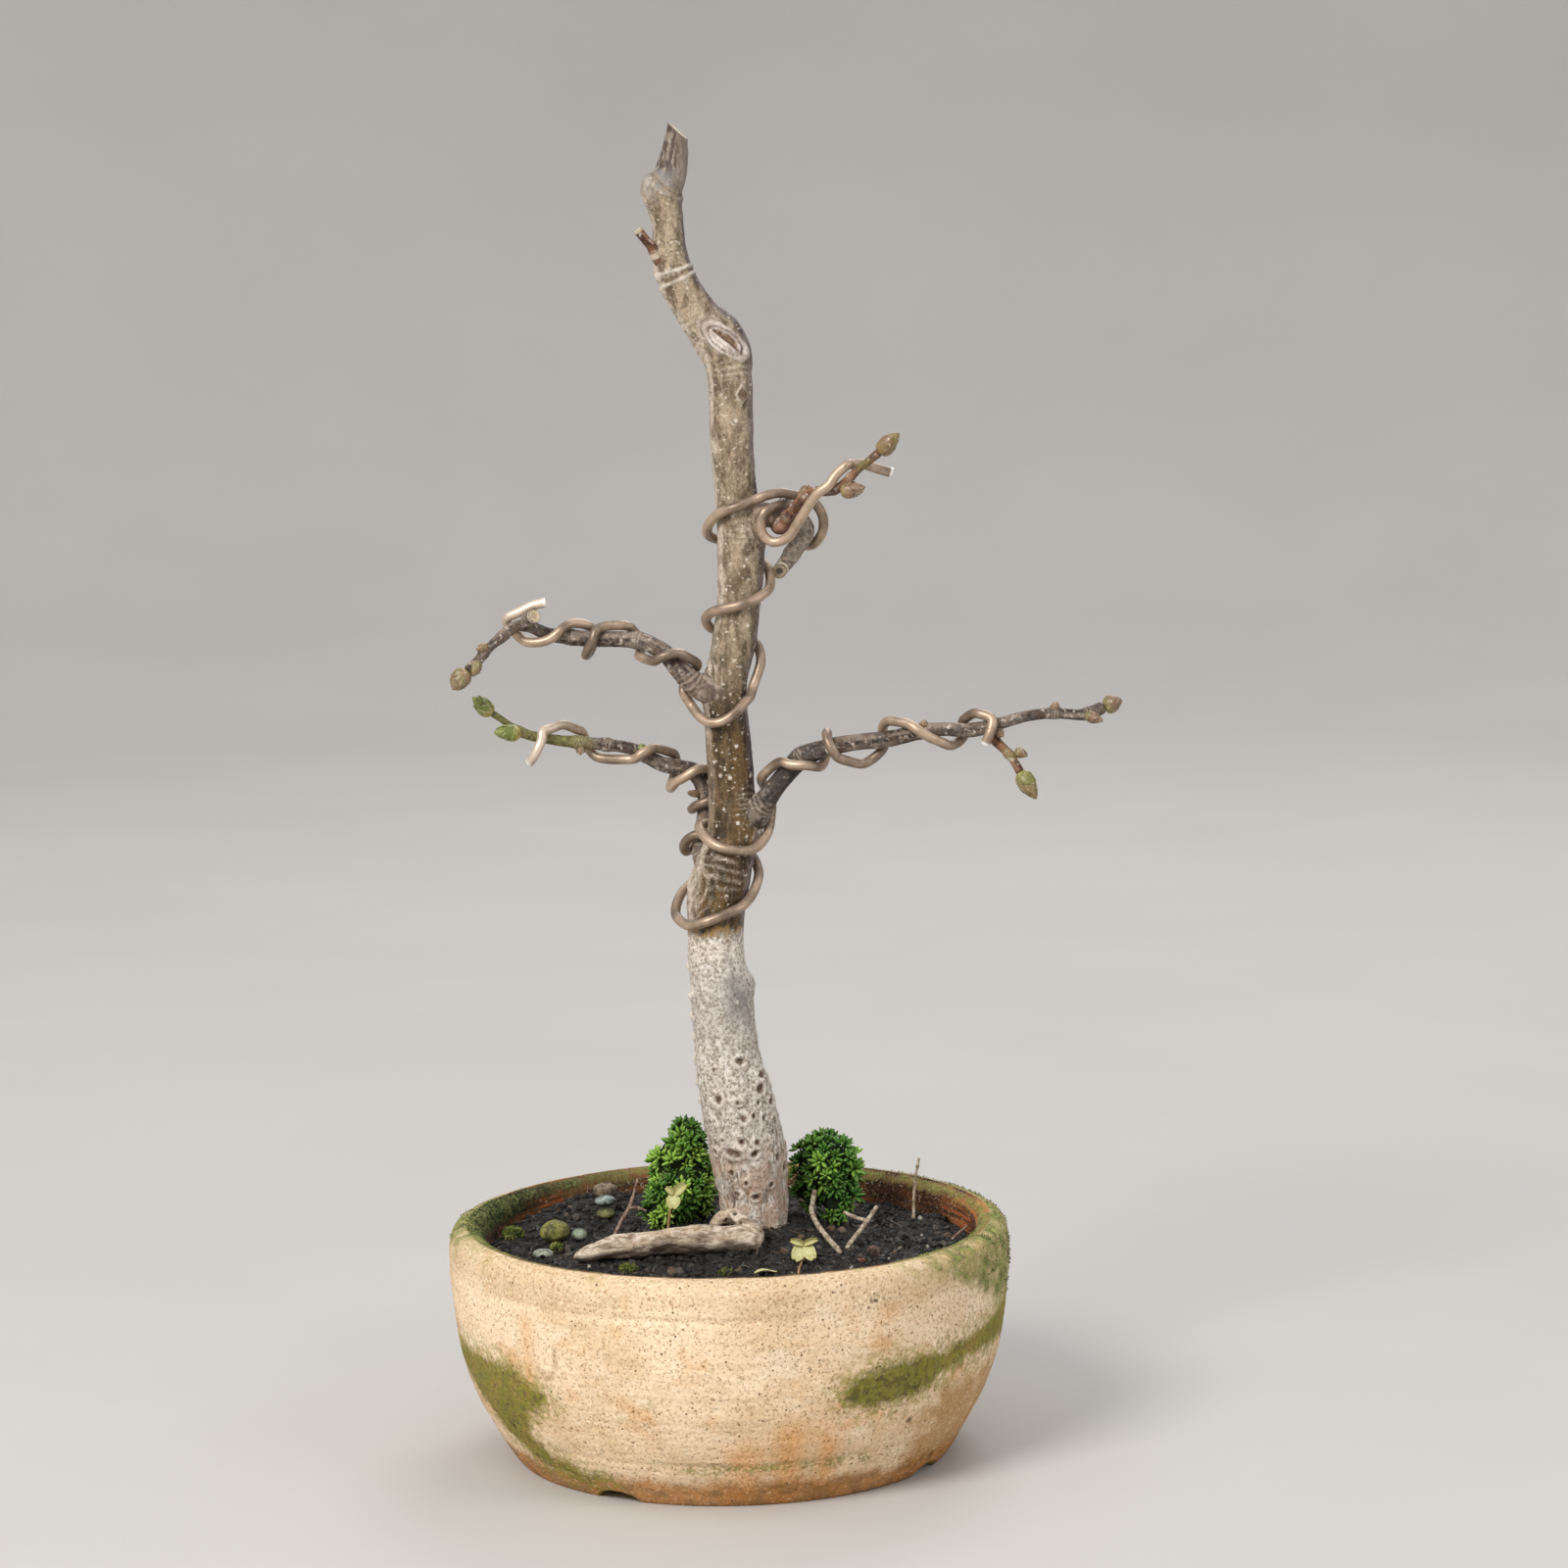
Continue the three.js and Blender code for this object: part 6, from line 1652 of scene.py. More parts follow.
upper_limb, lower_limb, right_limb, top_shoot_limb = map(Limb, (UPPER_LEFT, LOWER_LEFT, RIGHT, TOP_SHOOT))
wire_metal = wire_finish()
upper_wire = wire_piece("wire_upper_turns", [
    (None, WIRE_UPPER[0]), (upper_limb, WIRE_UPPER[1]), (None, WIRE_UPPER[2]), (trunk_limb, WIRE_UPPER[3]),
    (None, WIRE_UPPER[4]), (top_shoot_limb, WIRE_UPPER[5]), (None, WIRE_UPPER[6]),
], wire_metal)
lower_wire = wire_piece("wire_lower_turns", [
    (lower_limb, WIRE_LOWER[0]), (None, WIRE_LOWER[1]), (trunk_limb, WIRE_LOWER[2]),
    (None, WIRE_LOWER[3]), (right_limb, WIRE_LOWER[4]),
], wire_metal)
keep(upper_wire, "training_wire", "wire_upper")
keep(lower_wire, "training_wire", "wire_lower")

# ----------------------------------------------------------------------------------------------
# The dead root: a thick, weathered piece of root that lies on the soil in front of the trunk. Its
# thin neck arches up from the trunk's foot, and its far end runs out into the soil.

ROOT_NECK = [
    [-5, -11.5, 80, 2.2], [-4, -14.2, 84.6, 2.4], [0.5, -16.4, 87, 2.6], [5, -19.4, 85, 3.1],
    [8.6, -24, 81, 3.9], [9.2, -26, 79.6, 3.4],
]
ROOT_BODY = [
    [11.4, -26, 79.4, 3], [8, -26, 80.2, 4.1], [-1, -25.6, 80.8, 4.6], [-15, -25.4, 80.6, 4.5],
    [-28, -25, 79.8, 4.2], [-39, -24.6, 78.4, 3.6], [-48, -24, 76.6, 2.7], [-54.5, -23.6, 75.2, 1.3],
]


def dead_root_finish():
    root = Finish("dead_root")
    fibres = root.noise(1.3, 5, (3.2, 1, 1), 3, 0.65)
    tone = root.mix(fibres.rises(0.34, 0.6), 0x8C7863, 0xDCCBB7)
    tone = root.mix(root.noise(5, 4, (2, 1, 1), 5).rises(0.48, 0.64) * 0.55, tone, 0xA58A6C)
    tone = root.mix(root.noise(1.1, 4, shift=8).rises(0.56, 0.68) * 0.7, tone, 0xE4D9CA)
    tone = root.mix(root.noise(3.2, 4, shift=12).rises(0.62, 0.72) * 0.45, tone, 0x7F7B45)
    tone = root.mix(root.layer("crack").rises(0.15, 0.7) * 0.85, tone, 0x33261D)
    stains = root.noise(2.6, 4, (2.4, 1, 1), 15).rises(0.5, 0.62)
    tone = root.mix(stains * 0.55, tone, 0x6B5442)
    # painted shade on the underside, where the layer damp is
    tone = root.mix(root.layer("damp") * 0.85, tone, 0x2A1F18)
    return root.done(tone, 0.9, fibres + root.noise(0.6, 2) * 0.4, 0.5, Specular_IOR_Level=0.25)


def weathered(rows, seed):
    bark = Bark(Limb(rows), 72, 0.5)
    ridges = bark.grain(3.4, 1.0, 3.5, seed)
    bark.raise_by(0.25 + 1.1 * ridges + bark.grain(8, 0.8, 2, seed + 2) + bark.grain(1.5, 0.28, 2, seed + 4))
    # painted shade: the side that faces down to the soil gets more cracks and the dark layer damp
    below = step_between(0.45, -0.1, bark.out[..., 2])
    bark.paint("crack", step_between(-0.22, -0.5, ridges) * (0.15 + 0.85 * below))
    bark.paint("crack", step_between(0.42, 0.62, bark.grain(2.2, 1.0, 1.5, seed + 7)) * (0.3 + 0.5 * below))
    bark.paint("damp", step_between(0.3, -0.6, bark.out[..., 2] + 0.45 * value_noise(bark.spots, 5, seed)))
    bark.rounded_end(3)
    return bark


dead_root = dead_root_finish()
body = weathered(ROOT_BODY, 61)
for distance, angle, width, height in (
    (52, 70, 4, 1.1), (20, 60, 3.5, 0.9), (36, 20, 3, 0.7), (8, 80, 3, 1.0),
):
    body.raise_by(height * hump(body.near(distance, angle), 0, width))
body = body.piece("dead_root_body", dead_root)
neck = weathered(ROOT_NECK, 75)
for distance, angle in ((11, 10), (13.5, -45), (15, 40), (9, 45), (17.5, -10), (12, 95)):
    near = neck.near(distance, angle)
    neck.raise_by(-0.8 * hump(near, 0, 0.7) + 0.25 * hump(near, 1.1, 0.4))
    neck.paint("crack", hump(near, 0, 0.75))
neck = neck.piece("dead_root_neck", dead_root)
keep(join_meshes([body, neck]), "dead_root", "surface_root")

# ----------------------------------------------------------------------------------------------
# The pebbles and the bits of bark: five small river pebbles and three crumbs of bark and grit,
# half set in the soil round the edge of the bowl.

PEBBLES = {  # middle, half sizes, degrees turned, dark, light, flecks, slot
    "pebble_olive": ((-63, 9, 77), (5.4, 4.6, 4.2), 20, 0x45451E, 0x88843F, 0xB4B080, "olive_stone"),
    "pebble_grey": ((-54.2, 9, 75.7), (2.8, 2.5, 2.4), 0, 0x4C5A46, 0x93A088, 0xC4CCB8, "grey_stone"),
    "pebble_pale": ((-66, -16, 74.9), (3.8, 3, 1.9), 10, 0x62685A, 0xA9AD9C, 0xD9D8CB, "grey_stone"),
    "pebble_yellow": ((-45.4, 31, 78.4), (3.5, 2.9, 2.1), -15, 0x3E4024, 0x7F7C4A, 0xA8A47A, "olive_stone"),
    "pebble_glassy": ((-45.6, 33, 82.7), (3.8, 3.2, 2), 15, 0x48534F, 0x88978F, 0xDCE6E2, "grey_stone"),
}
BARK_BITS = {  # the same, without the slot
    "bark_block": ((-46.2, 51, 82.6), (4.2, 3, 2.5), 25, 0x4A3A2E, 0x94816C, 0xBFAE9A),
    "bark_crumb": ((51.2, -24, 75.6), (2.2, 1.9, 2.1), 30, 0x33221C, 0x755A4C, 0xB09A8C),
    "red_crumb": ((46.2, -33, 74.3), (1.6, 1.2, 1), 0, 0x42241A, 0x87513C, 0xA98674),
}


def stone_finish(name, dark, light, fleck, shine):
    stone = Finish(name)
    cloud = stone.noise(3.4, 4, shift=2)
    tone = stone.mix(cloud.rises(0.35, 0.65), dark, light)
    tone = stone.mix(stone.noise(0.9, 3, shift=6).rises(0.58, 0.7) * 0.7, tone, fleck)
    tone = stone.mix(stone.noise(1.7, 4, shift=9).rises(0.58, 0.7) * 0.6, tone, 0x3A3E24)
    soil_line = (stone.layer("low") + (cloud - 0.5) * 0.5).rises(-0.1, -0.5)
    tone = stone.mix(soil_line * 0.8, tone, 0x231A12)
    return stone.done(tone, 0.78 - shine * 0.45 + cloud * 0.15, cloud + stone.noise(0.5, 2) * 0.3, 0.12)


def lump(name, middle, half, degrees, finish, roughness, size, square=1.0, seed=0):
    """An uneven round or blocky lump. square under 1 draws it towards a box."""
    rings, sides = 40, 56
    tilt = np.linspace(-89.2, 89.2, rings)[:, None]
    turn = np.linspace(0, 360, sides, endpoint=False)
    tilt, turn = np.radians(tilt + 0 * turn), np.radians(turn + 0 * tilt)
    way = np.stack([np.cos(tilt) * np.sin(turn), -np.cos(tilt) * np.cos(turn), np.sin(tilt)], -1)
    shape = np.sign(way) * np.abs(way) ** square
    points = shape * np.array(half)
    out = rough_noise(points, size, 3, 80 + seed)
    points = points + way * (out * roughness)[..., None]
    spin = math.radians(degrees)
    flat = np.array([[math.cos(spin), math.sin(spin)], [-math.sin(spin), math.cos(spin)]])
    points[..., :2] = points[..., :2] @ flat
    return skin(name, points + np.array(middle), finish, {"low": way[..., 2]})


for seed, (name, (middle, half, degrees, dark, light, fleck, slot)) in enumerate(PEBBLES.items()):
    finish = stone_finish(name, dark, light, fleck, 1.0 if name == "pebble_glassy" else 0.3)
    keep(lump(name + "_stone", middle, half, degrees, finish, 0.35, 4, 1.0, seed), slot, name)
for seed, (name, (middle, half, degrees, dark, light, fleck)) in enumerate(BARK_BITS.items()):
    finish = stone_finish(name, dark, light, fleck, 0.0)
    keep(lump(name + "_bit", middle, half, degrees, finish, 0.55, 2.2, 0.62, 20 + seed), "bark_chip", name)

# ----------------------------------------------------------------------------------------------
# The moss: four low pads on the soil, and a thin growth of it on the bowl's rim. Each is a mat of
# short soft tips.

MOSS_PADS = {  # middle, half sizes, degrees turned
    "moss_lump": ((-78.2, 15, 75.3), (3.4, 3.0, 2.0), 0),
    "moss_bead": ((-61.6, -5, 74.7), (1.9, 1.7, 1.2), 0),
    "moss_front": ((-1, -47, 74.2), (2.8, 1.9, 1.1), 12),
    "moss_front_left": ((-35, -38, 74.3), (3.0, 2.1, 1.1), -20),
}
PAD_TIPS, RIM_TIPS = 3.6e6, 4.2e5  # to a square metre


def moss_finish(name, dark, light):
    moss = Finish(name)
    tone = moss.mix(moss.layer("tone").rises(0.0, 1.0), dark, light)
    yellowed = moss.noise(5, 3, shift=4).rises(0.48, 0.66) * moss.layer("tone").rises(-0.2, 0.4)
    tone = moss.mix(yellowed * 0.6, tone, 0x989A50)
    tone = moss.mix(moss.noise(4, 3, shift=9).rises(0.52, 0.64) * 0.6, tone, 0x262C14)
    tone = moss.shaded(tone, 0.65 + moss.noise(0.9, 2) * 0.7)
    return moss.done(tone, 0.9, moss.noise(0.6, 2), 0.1, Specular_IOR_Level=0.25)


def tips_on(recipe, surface, selection, density, tip_size, seed, darker=0.0):
    """Short cones that stand on a surface, each leaning its own way."""
    sockets = {"Mesh": surface, "Density": density, "Seed": seed}
    if selection is not None:
        sockets["Selection"] = selection
    outputs = ("Points", "Rotation")
    points, turned = recipe.node("GeometryNodeDistributePointsOnFaces", None, sockets, outputs)
    sockets = {"Vertices": 5, "Radius Bottom": 0.42, "Radius Top": 0.1, "Depth": 1.0, "Side Segments": 1}
    cone = recipe.node("GeometryNodeMeshCone", sockets=sockets)
    lean = recipe.random((-0.5, -0.5, 0.0), (0.5, 0.5, 6.28), seed + 1)
    sockets = {"Rotation": turned, "Rotate By": lean}
    turned = recipe.node("FunctionNodeRotateRotation", {"rotation_space": "LOCAL"}, sockets)
    size = recipe.scaled(recipe.random((0.6, 0.6, 0.6), (1.2, 1.2, 1.5), seed + 2), tip_size)
    tips = recipe.placed(points, cone, turned, size)
    return recipe.marked(tips, "tone", recipe.random(0.0, 1.0, seed + 3) - darker)


pad_moss = moss_finish("moss", 0x2E3A16, 0x7C8440)
for seed, (name, (middle, half, degrees)) in enumerate(MOSS_PADS.items()):
    pad = lump(name + "_pad", middle, half, degrees, pad_moss, 0.4, 1.6, 1.0, 30 + seed)
    recipe = Recipe(name + "_tips")
    tip_size = recipe.given("Tip size", 0.8 * MM)
    tips = tips_on(recipe, recipe.shape, None, recipe.given("Tips", PAD_TIPS), tip_size, seed + 1)
    keep(recipe.run(pad, recipe.joined(recipe.shape, tips), pad_moss), "moss", name)

rim = bowl.copy()
rim.data = bowl.data.copy()
rim.name = "rim_moss_tips"
scene.collection.objects.link(rim)
recipe = Recipe("rim_moss_tips")
green = recipe.node("GeometryNodeInputNamedAttribute", {"data_type": "FLOAT"}, {"Name": "growth"})
sockets = {"Vector": recipe.position(), "Scale": 1 / 6 / MM, "Detail": 4.0}
ragged = recipe.node("ShaderNodeTexNoise", sockets=sockets)
thick = (green + (ragged - 0.5) * 1.6).math("GREATER_THAN", 0.8)
tip_size = recipe.given("Tip size", 0.55 * MM)
shaded_side = recipe.node("GeometryNodeInputNamedAttribute", {"data_type": "FLOAT"}, {"Name": "shade"})
density = recipe.given("Tips", RIM_TIPS)
tips = tips_on(recipe, recipe.shape, thick, density, tip_size, 40, shaded_side * 0.9)
rim_moss = recipe.run(rim, tips, moss_finish("rim_moss", 0x1E2A12, 0x848F4A))
keep(rim_moss, "moss")

# ----------------------------------------------------------------------------------------------
# The leafy clumps: two cushions of a small creeping weed, one on each side of the trunk. Each is a
# mass of short shoots that end in a rosette of small pointed leaves.

CLUMPS = {  # lumps the cushion is made of: middle and half sizes
    "leafy_clump_left": [
        ((-17, 14, 92), (13, 11.5, 15)), ((-15, 15.5, 106.5), (9.5, 9, 12)),
        ((-22.5, 12, 84), (10, 9, 9)), ((-10, 13.5, 85.5), (7, 7.5, 8)),
        ((-19, 14, 100), (10.5, 9, 12)), ((-26, 12, 90), (6, 6, 7)),
    ],
    "leafy_clump_right": [
        ((34, 18, 97), (12.5, 10.5, 14.5)), ((38.5, 17, 86), (9, 8.5, 10)),
        ((28.5, 18.5, 92), (7.5, 7.5, 11)), ((43.5, 18, 98), (6.4, 6, 7.5)),
    ],
}
ROSETTE_DEPTH = 3.4  # the shoots start this far under the cushion's outside
LEAF_LENGTH, LEAF_WIDTH = 4.4, 1.65
LEAVES = 11
ROSETTE_SPACING = 3.7


def leaf_object():
    """One small pointed leaf, folded along its middle. It stands at the origin and points up."""
    stations = [(0, 0.3), (0.3, 0.85), (0.6, 1.0), (0.85, 0.55)]
    points = []
    for share, width in stations:
        bend = 0.1 * math.sin(share * 2.4)
        points += [(side * width / 2, bend + 0.1 * width, share) for side in (-1, 1)]
        points.append((0, bend - 0.12 * width, share))
    points.append((0, 0.16, 1.0))
    faces = [(0, 1, 2)]
    for ring in range(3):
        for side in range(3):
            a, b = ring * 3 + side, ring * 3 + (side + 1) % 3
            faces.append((a, a + 3, b + 3, b))
    faces += [(9, 12, 10), (10, 12, 11), (11, 12, 9)]
    points = np.array(points) * (LEAF_WIDTH, LEAF_LENGTH, LEAF_LENGTH)
    leaf = make_object("one_leaf", points, faces, None)
    store(leaf, "along", np.array([p[2] / LEAF_LENGTH for p in points]))
    return leaf


def leaf_finish(name, dark, light, young):
    leaf = Finish(name)
    tone = leaf.mix(leaf.layer("tone").rises(0.2, 0.8), light, young)
    tone = leaf.mix(leaf.layer("tone").rises(0.15, -0.2) * 0.5, tone, dark)
    # painted shade: each leaf darkens towards its foot, deep in the rosette, and the cushion under the
    # shoots, which has no along layer, is as dark
    tone = leaf.mix(leaf.layer("along").rises(0.5, 0.04) * 0.95, tone, dark)
    tone = leaf.mix(leaf.layer("along").rises(0.8, 1.0) * 0.35, tone, 0xC3D488)
    tone = leaf.shaded(tone, 0.7 + leaf.noise(2.2, 3) * 0.8)
    roughness = 0.9 - leaf.layer("along").rises(0.1, 0.5) * 0.45
    return leaf.done(tone, roughness, leaf.noise(0.5, 2), 0.05, Specular_IOR_Level=0.35)


def cushion(name, lumps):
    """The closed surface that the shoots stand on."""
    parts = []
    for i, (middle, half) in enumerate(lumps):
        inner = tuple(h - ROSETTE_DEPTH for h in half)
        bump = lump(f"{name}_{i}", middle, inner, 0, None, 1.6, 4.5, 1.0, 50 + i)
        bump.data.attributes.remove(bump.data.attributes["low"])
        parts.append(bump)
    for part in parts[1:]:
        join = parts[0].modifiers.new("union", "BOOLEAN")
        join.operation, join.solver, join.object = "UNION", "MANIFOLD", part
    bake_modifiers(parts[0])
    for part in parts[1:]:
        bpy.data.objects.remove(part)
    parts[0].name = name
    return parts[0]


def leafy(piece, leaf, finish, seed):
    recipe = Recipe(piece.name + "_shoots")
    sockets = {"Object": recipe.given("Leaf", leaf, "Object")}
    one = recipe.node("GeometryNodeObjectInfo", sockets=sockets, output="Geometry")
    leaves = recipe.given("Leaves", LEAVES, "Int")
    # a rosette: leaves round a shoot, the outer ones lying flatter
    centre = recipe.node("GeometryNodePoints", sockets={"Count": leaves, "Position": (0, 0, 0)})
    number = recipe.node("GeometryNodeInputIndex") + 0
    share = number / LEAVES
    lean = (share * -1.15 + 1.38) + recipe.random(-0.15, 0.15, seed + 5)
    turn = number * 2.4
    rotation = recipe.vector(lean * -1, 0.0, turn)
    grown = recipe.vector(share * -0.25 + 1.05, share * -0.3 + 1.0, share * -0.32 + 1.0)
    rosette = recipe.placed(centre, one, rotation, grown)
    sockets = {"Vertices": 5, "Radius Bottom": 0.3 * MM, "Radius Top": 0.4 * MM, "Depth": 3 * MM}
    stalk = recipe.node("GeometryNodeMeshCone", sockets=sockets)
    sockets = {"Geometry": stalk, "Translation": (0, 0, -2.8 * MM)}
    stalk = recipe.node("GeometryNodeTransform", sockets=sockets)
    sockets = {"Geometry": recipe.joined(rosette, stalk)}
    rosette = recipe.node("GeometryNodeRealizeInstances", sockets=sockets)
    # the shoots: spread over the cushion, turned outwards and a little up
    settings, outputs = {"distribute_method": "POISSON"}, ("Points", "Normal")
    sockets = {"Mesh": recipe.shape, "Density Max": 400000, "Seed": seed}
    sockets["Distance Min"] = recipe.given("Rosette spacing", ROSETTE_SPACING * MM)
    points, normal = recipe.node("GeometryNodeDistributePointsOnFaces", settings, sockets, outputs)
    stand = recipe.random(-1.0, 1.9, seed + 6) * MM
    points = recipe.moved(points, recipe.scaled(normal, stand))
    heading = recipe.node("ShaderNodeVectorMath", {"operation": "ADD"}, {0: normal, 1: (0, 0, 0.55)})
    ragged = recipe.random((-0.45, -0.45, -0.25), (0.45, 0.45, 0.3), seed + 1)
    heading = recipe.node("ShaderNodeVectorMath", {"operation": "ADD"}, {0: heading, 1: ragged})
    facing = recipe.node("FunctionNodeAlignRotationToVector", {"axis": "Z"}, {"Vector": heading})
    twist = recipe.vector(0.0, 0.0, recipe.random(0.0, 6.28, seed + 2))
    sockets = {"Rotation": facing, "Rotate By": twist}
    facing = recipe.node("FunctionNodeRotateRotation", {"rotation_space": "LOCAL"}, sockets)
    shoots = recipe.placed(points, rosette, facing, recipe.random(0.65, 1.3, seed + 3))
    sockets = {"Vector": recipe.position(), "Scale": 1 / 9 / MM, "Detail": 1.0}
    drift = recipe.node("ShaderNodeTexNoise", sockets=sockets)
    shoots = recipe.marked(shoots, "tone", recipe.random(0.0, 0.8, seed + 4) + (drift - 0.5) * 1.6)
    return recipe.run(piece, recipe.joined(recipe.shape, shoots), finish)


leaf = leaf_object()
left_leaves = leaf_finish("weed_leaf_left", 0x16240A, 0x4F7A2A, 0x98BE4E)
right_leaves = leaf_finish("weed_leaf_right", 0x101E08, 0x427026, 0x86B046)
left = leafy(cushion("leafy_clump_left_cushion", CLUMPS["leafy_clump_left"]), leaf, left_leaves, 7)
keep(left, "weed_leaf", "leafy_clump_left")
right = leafy(cushion("leafy_clump_right_cushion", CLUMPS["leafy_clump_right"]), leaf, right_leaves, 21)
keep(right, "weed_leaf", "leafy_clump_right")
bpy.data.objects.remove(leaf)

# ----------------------------------------------------------------------------------------------
# The stems: dry stalks and twigs that stand in the soil, two of them reddish. Each one tapers, and
# has a knot or two where leaves have dropped.

DRY_STEMS = {
    "clump_stem": [[
        (30.8, 9, 90.4, 0.8), (30, 3.5, 87.4, 0.85), (29.6, -2, 85.6, 0.85), (31.4, -9, 82.4, 0.9),
        (35, -15, 78.6, 0.9), (39, -22, 75.2, 0.95), (40.6, -25, 71.5, 0.7),
    ]],
    "twig_forked": [
        [(52.8, -2, 86.6, 0.7), (47.6, -10, 81.2, 0.9), (42, -19, 76, 0.8), (40.2, -22, 71.5, 0.55)],
        [(41.2, -2.4, 85, 0.6), (44.6, -5, 83.8, 0.7), (49.2, -7.4, 82.9, 0.6)],
    ],
    "stalk_back": [[(69.2, 34, 96.4, 0.4), (67.4, 33, 86, 0.5), (66.8, 31, 72, 0.55)]],
}
RED_STEMS = {
    "stalk_red": [
        [(-32.4, -0.5, 98, 0.4), (-35, -5, 90, 0.55), (-40, -13, 81.6, 0.6), (-42.6, -18, 72, 0.6)],
        [(-29.4, -5.4, 87.4, 0.4), (-33, -6, 88.8, 0.45), (-36, -6, 88.6, 0.4)],
    ],
    "rootlet": [[(79, 3, 72.4, 0.42), (82.6, 4, 75.6, 0.4), (84.9, 8, 76.2, 0.34), (85.4, 12, 76, 0.34)]],
}


def stem_piece(name, parts, finish, seed):
    made = []
    for k, rows in enumerate(parts):
        bark = Bark(Limb(rows), 20, 0.3)
        bark.raise_by(bark.grain(0.9, 0.1, 3, seed + k) + bark.grain(3, 0.08, 3, seed + k + 2))
        for level in np.arange(3 + k, bark.limb.length - 1, 6.3):
            bark.raise_by(0.22 * hump(bark.distance, level, 0.6))
            bark.paint("knot", hump(bark.distance, level, 0.7))
        bark.rounded_end(0.5)
        made.append(bark.piece(f"{name}_{k}", finish))
    made[0].name = name + "_stalk"
    return join_meshes(made) if len(made) > 1 else made[0]


def stem_finish(name, dark, light, knot):
    stem = Finish(name)
    streaks = stem.noise(0.9, 4, (1, 1, 3), 3)
    tone = stem.mix(streaks.rises(0.34, 0.66), dark, light)
    tone = stem.mix(stem.noise(4, 3, shift=5).rises(0.5, 0.66) * 0.5, tone, knot)
    tone = stem.mix(stem.layer("knot") * 0.7, tone, knot)
    return stem.done(tone, 0.75, streaks, 0.1)


dry_stem = stem_finish("dry_stem", 0x84745E, 0xC9BCA4, 0x6B5340)
red_stem = stem_finish("red_stem", 0x6B5044, 0xAD9482, 0x5A3C30)
for seed, (name, parts) in enumerate(DRY_STEMS.items()):
    keep(stem_piece(name, parts, dry_stem, 90 + seed * 5), "dry_stem", name)
for seed, (name, parts) in enumerate(RED_STEMS.items()):
    keep(stem_piece(name, parts, red_stem, 120 + seed * 5), "red_stem", name)

# ----------------------------------------------------------------------------------------------
# The seedlings and the fallen leaf: two young plants, each with three round leaflets that fold
# along the middle, and one pale leaf that lies on the soil at the front.

SEEDLINGS = {
    "clover_front": {
        "stalk": [
            (24.2, -52, 72, 0.5), (24.6, -47, 75, 0.45), (25.4, -40.5, 75.6, 0.4), (26.4, -36.6, 77.8, 0.4),
            (26.4, -36.8, 81.6, 0.4),
        ],
        # leaflets: degrees clockwise from straight up as seen from the front, length, width, fold
        "leaflets": [(-145, 7.2, 5.2, 0.15), (142, 7.2, 5.0, 0.2), (68, 5.6, 3.6, 1.0), (-70, 5.2, 3.4, 0.9)],
    },
    "clover_left": {
        "stalk": [(-22, -4, 74, 0.5), (-21.4, -3, 84, 0.45), (-19.4, -1, 92.4, 0.4)],
        "leaflets": [(-172, 6.0, 5.2, 0.15), (48, 6.0, 4.6, 0.7), (-50, 4.2, 3.2, 0.8)],
    },
}
FALLEN_LEAF = {"middle": (13.3, -49, 74.9), "length": 8.8, "width": 4.6, "turn": 12}
LEAFLET_THICKNESS = 0.16


def leaflet_grid(length, width, fold):
    """A round leaflet with a notch at its tip: rows from its foot, columns across it."""
    v, u = np.linspace(0.02, 1, 16)[:, None], np.linspace(-1, 1, 15)
    half = width / 2 * np.sin(np.clip(v, 0, 1) ** 0.95 * math.pi * 0.93 + 0.1) ** 0.5
    x = u * half * np.cos(fold * np.abs(u))
    lift = np.abs(u) * half * np.sin(fold * 0.9) + 0.35 * np.sin(v * 3.1) + 0 * u
    y = v * length - 0.09 * length * np.exp(-((u / 0.3) ** 2)) * v**6 + 0 * u
    return np.stack([x + 0 * v, y, lift], -1), np.abs(u) + 0 * v, v + 0 * u


def seedling_finish():
    leaf = Finish("clover_leaf")
    veins = leaf.noise(0.9, 4, shift=3)
    tone = leaf.mix(veins.rises(0.35, 0.65), 0xB0AD6E, 0xCCC890)
    tone = leaf.mix(leaf.noise(2.6, 3, shift=6).rises(0.5, 0.68) * 0.45, tone, 0x98964C)
    tone = leaf.mix(leaf.layer("edge").rises(0.8, 1.0) * 0.6, tone, 0x9A7A48)
    tone = leaf.mix(leaf.layer("edge").rises(0.12, 0.0) * 0.5, tone, 0xD6D4A0)
    tone = leaf.mix(leaf.layer("stalk") * 0.85, tone, 0x9C6A48)
    return leaf.done(tone, 0.55, veins, 0.08, Specular_IOR_Level=0.35)


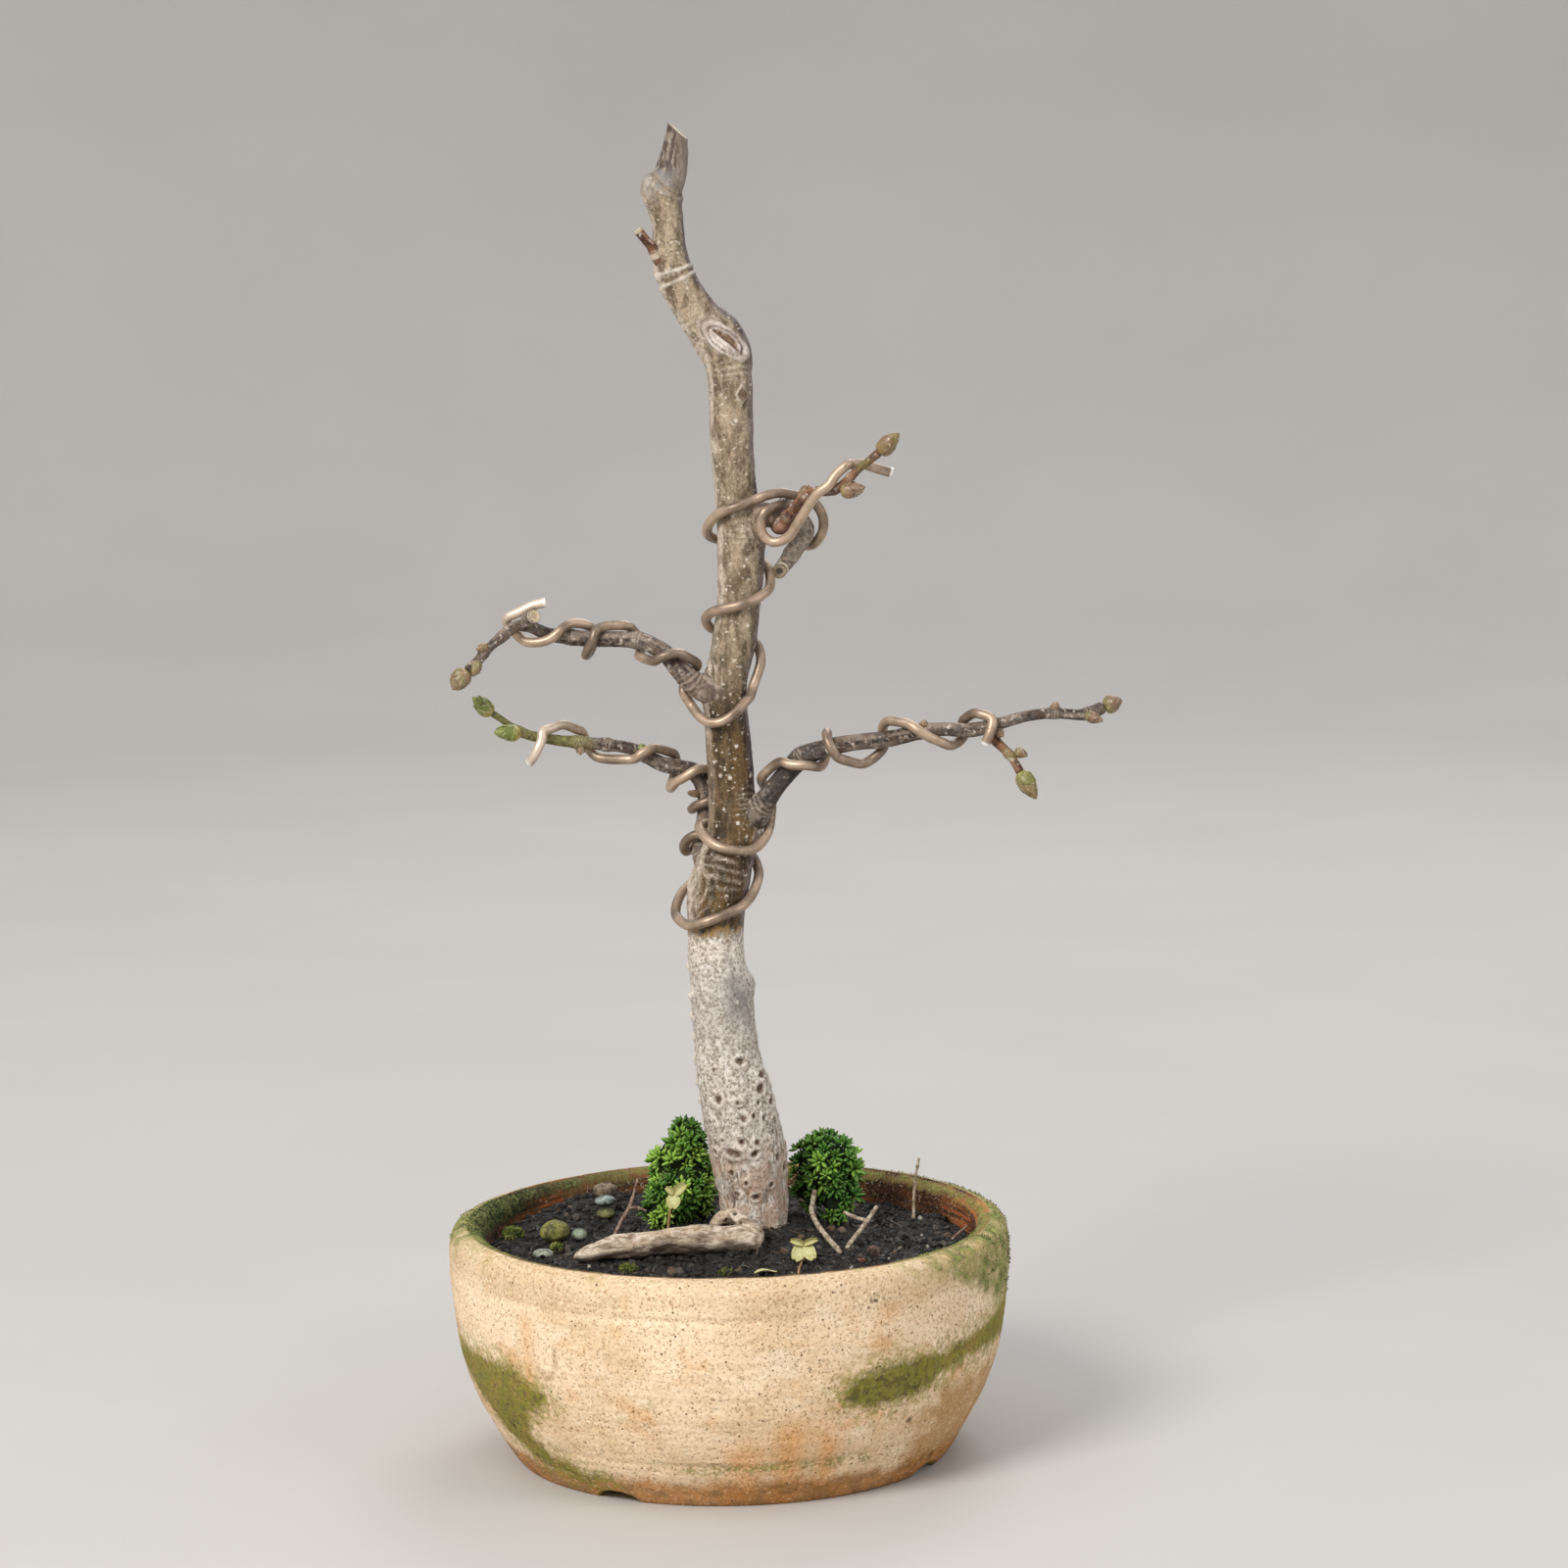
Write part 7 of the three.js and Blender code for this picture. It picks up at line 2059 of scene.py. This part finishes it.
def add_leaflet(plant, grid, edge, v):
    """Adds a thin closed leaflet from its upper face."""
    across = np.gradient(grid, axis=1)
    along = np.gradient(grid, axis=0)
    normal = np.cross(across, along)
    normal /= np.linalg.norm(normal, axis=-1, keepdims=True) + 1e-9
    under = grid - normal * LEAFLET_THICKNESS
    rows, columns = grid.shape[:2]
    points = np.concatenate([grid.reshape(-1, 3), under.reshape(-1, 3)])
    edge = np.maximum(edge**4, v**8)
    plant.add(points, shell_faces(rows, columns), edge=np.tile(edge.reshape(-1), 2), stalk=0.0)


clover_leaf = seedling_finish()
for name, parts in SEEDLINGS.items():
    plant = Gathered()
    stalk = Bark(Limb(parts["stalk"]), 12, 0.6)
    rings = stalk.lift()
    points = np.concatenate([rings.reshape(-1, 3), [rings[0].mean(0), rings[-1].mean(0)]])
    plant.add(points, grid_faces(*rings.shape[:2]), edge=0.5, stalk=1.0)
    head = np.array(parts["stalk"][-1][:3])
    for degrees, length, width, fold in parts["leaflets"]:
        grid, edge, v = leaflet_grid(length, width, fold)
        turn = math.radians(degrees)
        way = np.array([math.sin(turn), -0.75 if math.cos(turn) < 0 else -0.2, math.cos(turn)])
        way /= np.linalg.norm(way)
        up_face = np.array([0.0, -1.0, 0.35]) - way * np.dot([0.0, -1.0, 0.35], way)
        up_face /= np.linalg.norm(up_face)
        side = np.cross(way, up_face)
        spots = head + grid[..., :1] * side + grid[..., 1:2] * way + grid[..., 2:] * up_face
        add_leaflet(plant, spots, edge, v)
    keep(plant.piece(name + "_seedling", clover_leaf), "clover_leaf", name)

fallen = Gathered()
grid, edge, v = leaflet_grid(FALLEN_LEAF["length"], FALLEN_LEAF["width"], 0.2)
turn = math.radians(FALLEN_LEAF["turn"])
way = np.array([math.cos(turn), math.sin(turn), 0.04])
side = np.array([math.sin(turn), -math.cos(turn), 0.1])
curl = grid[..., 2:] + 0.5 * np.sin(grid[..., 1:2] * 0.6)
spots = np.array(FALLEN_LEAF["middle"]) + grid[..., :1] * side
spots = spots + (grid[..., 1:2] - FALLEN_LEAF["length"] / 2) * way
add_leaflet(fallen, spots + curl * np.array([0, -0.2, 1.0]), edge, v)
keep(fallen.piece("fallen_leaf_blade", clover_leaf), "clover_leaf", "fallen_leaf")

size = {"cad": [list(v) for v in cad_box], "visual": [list(v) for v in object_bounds()]}
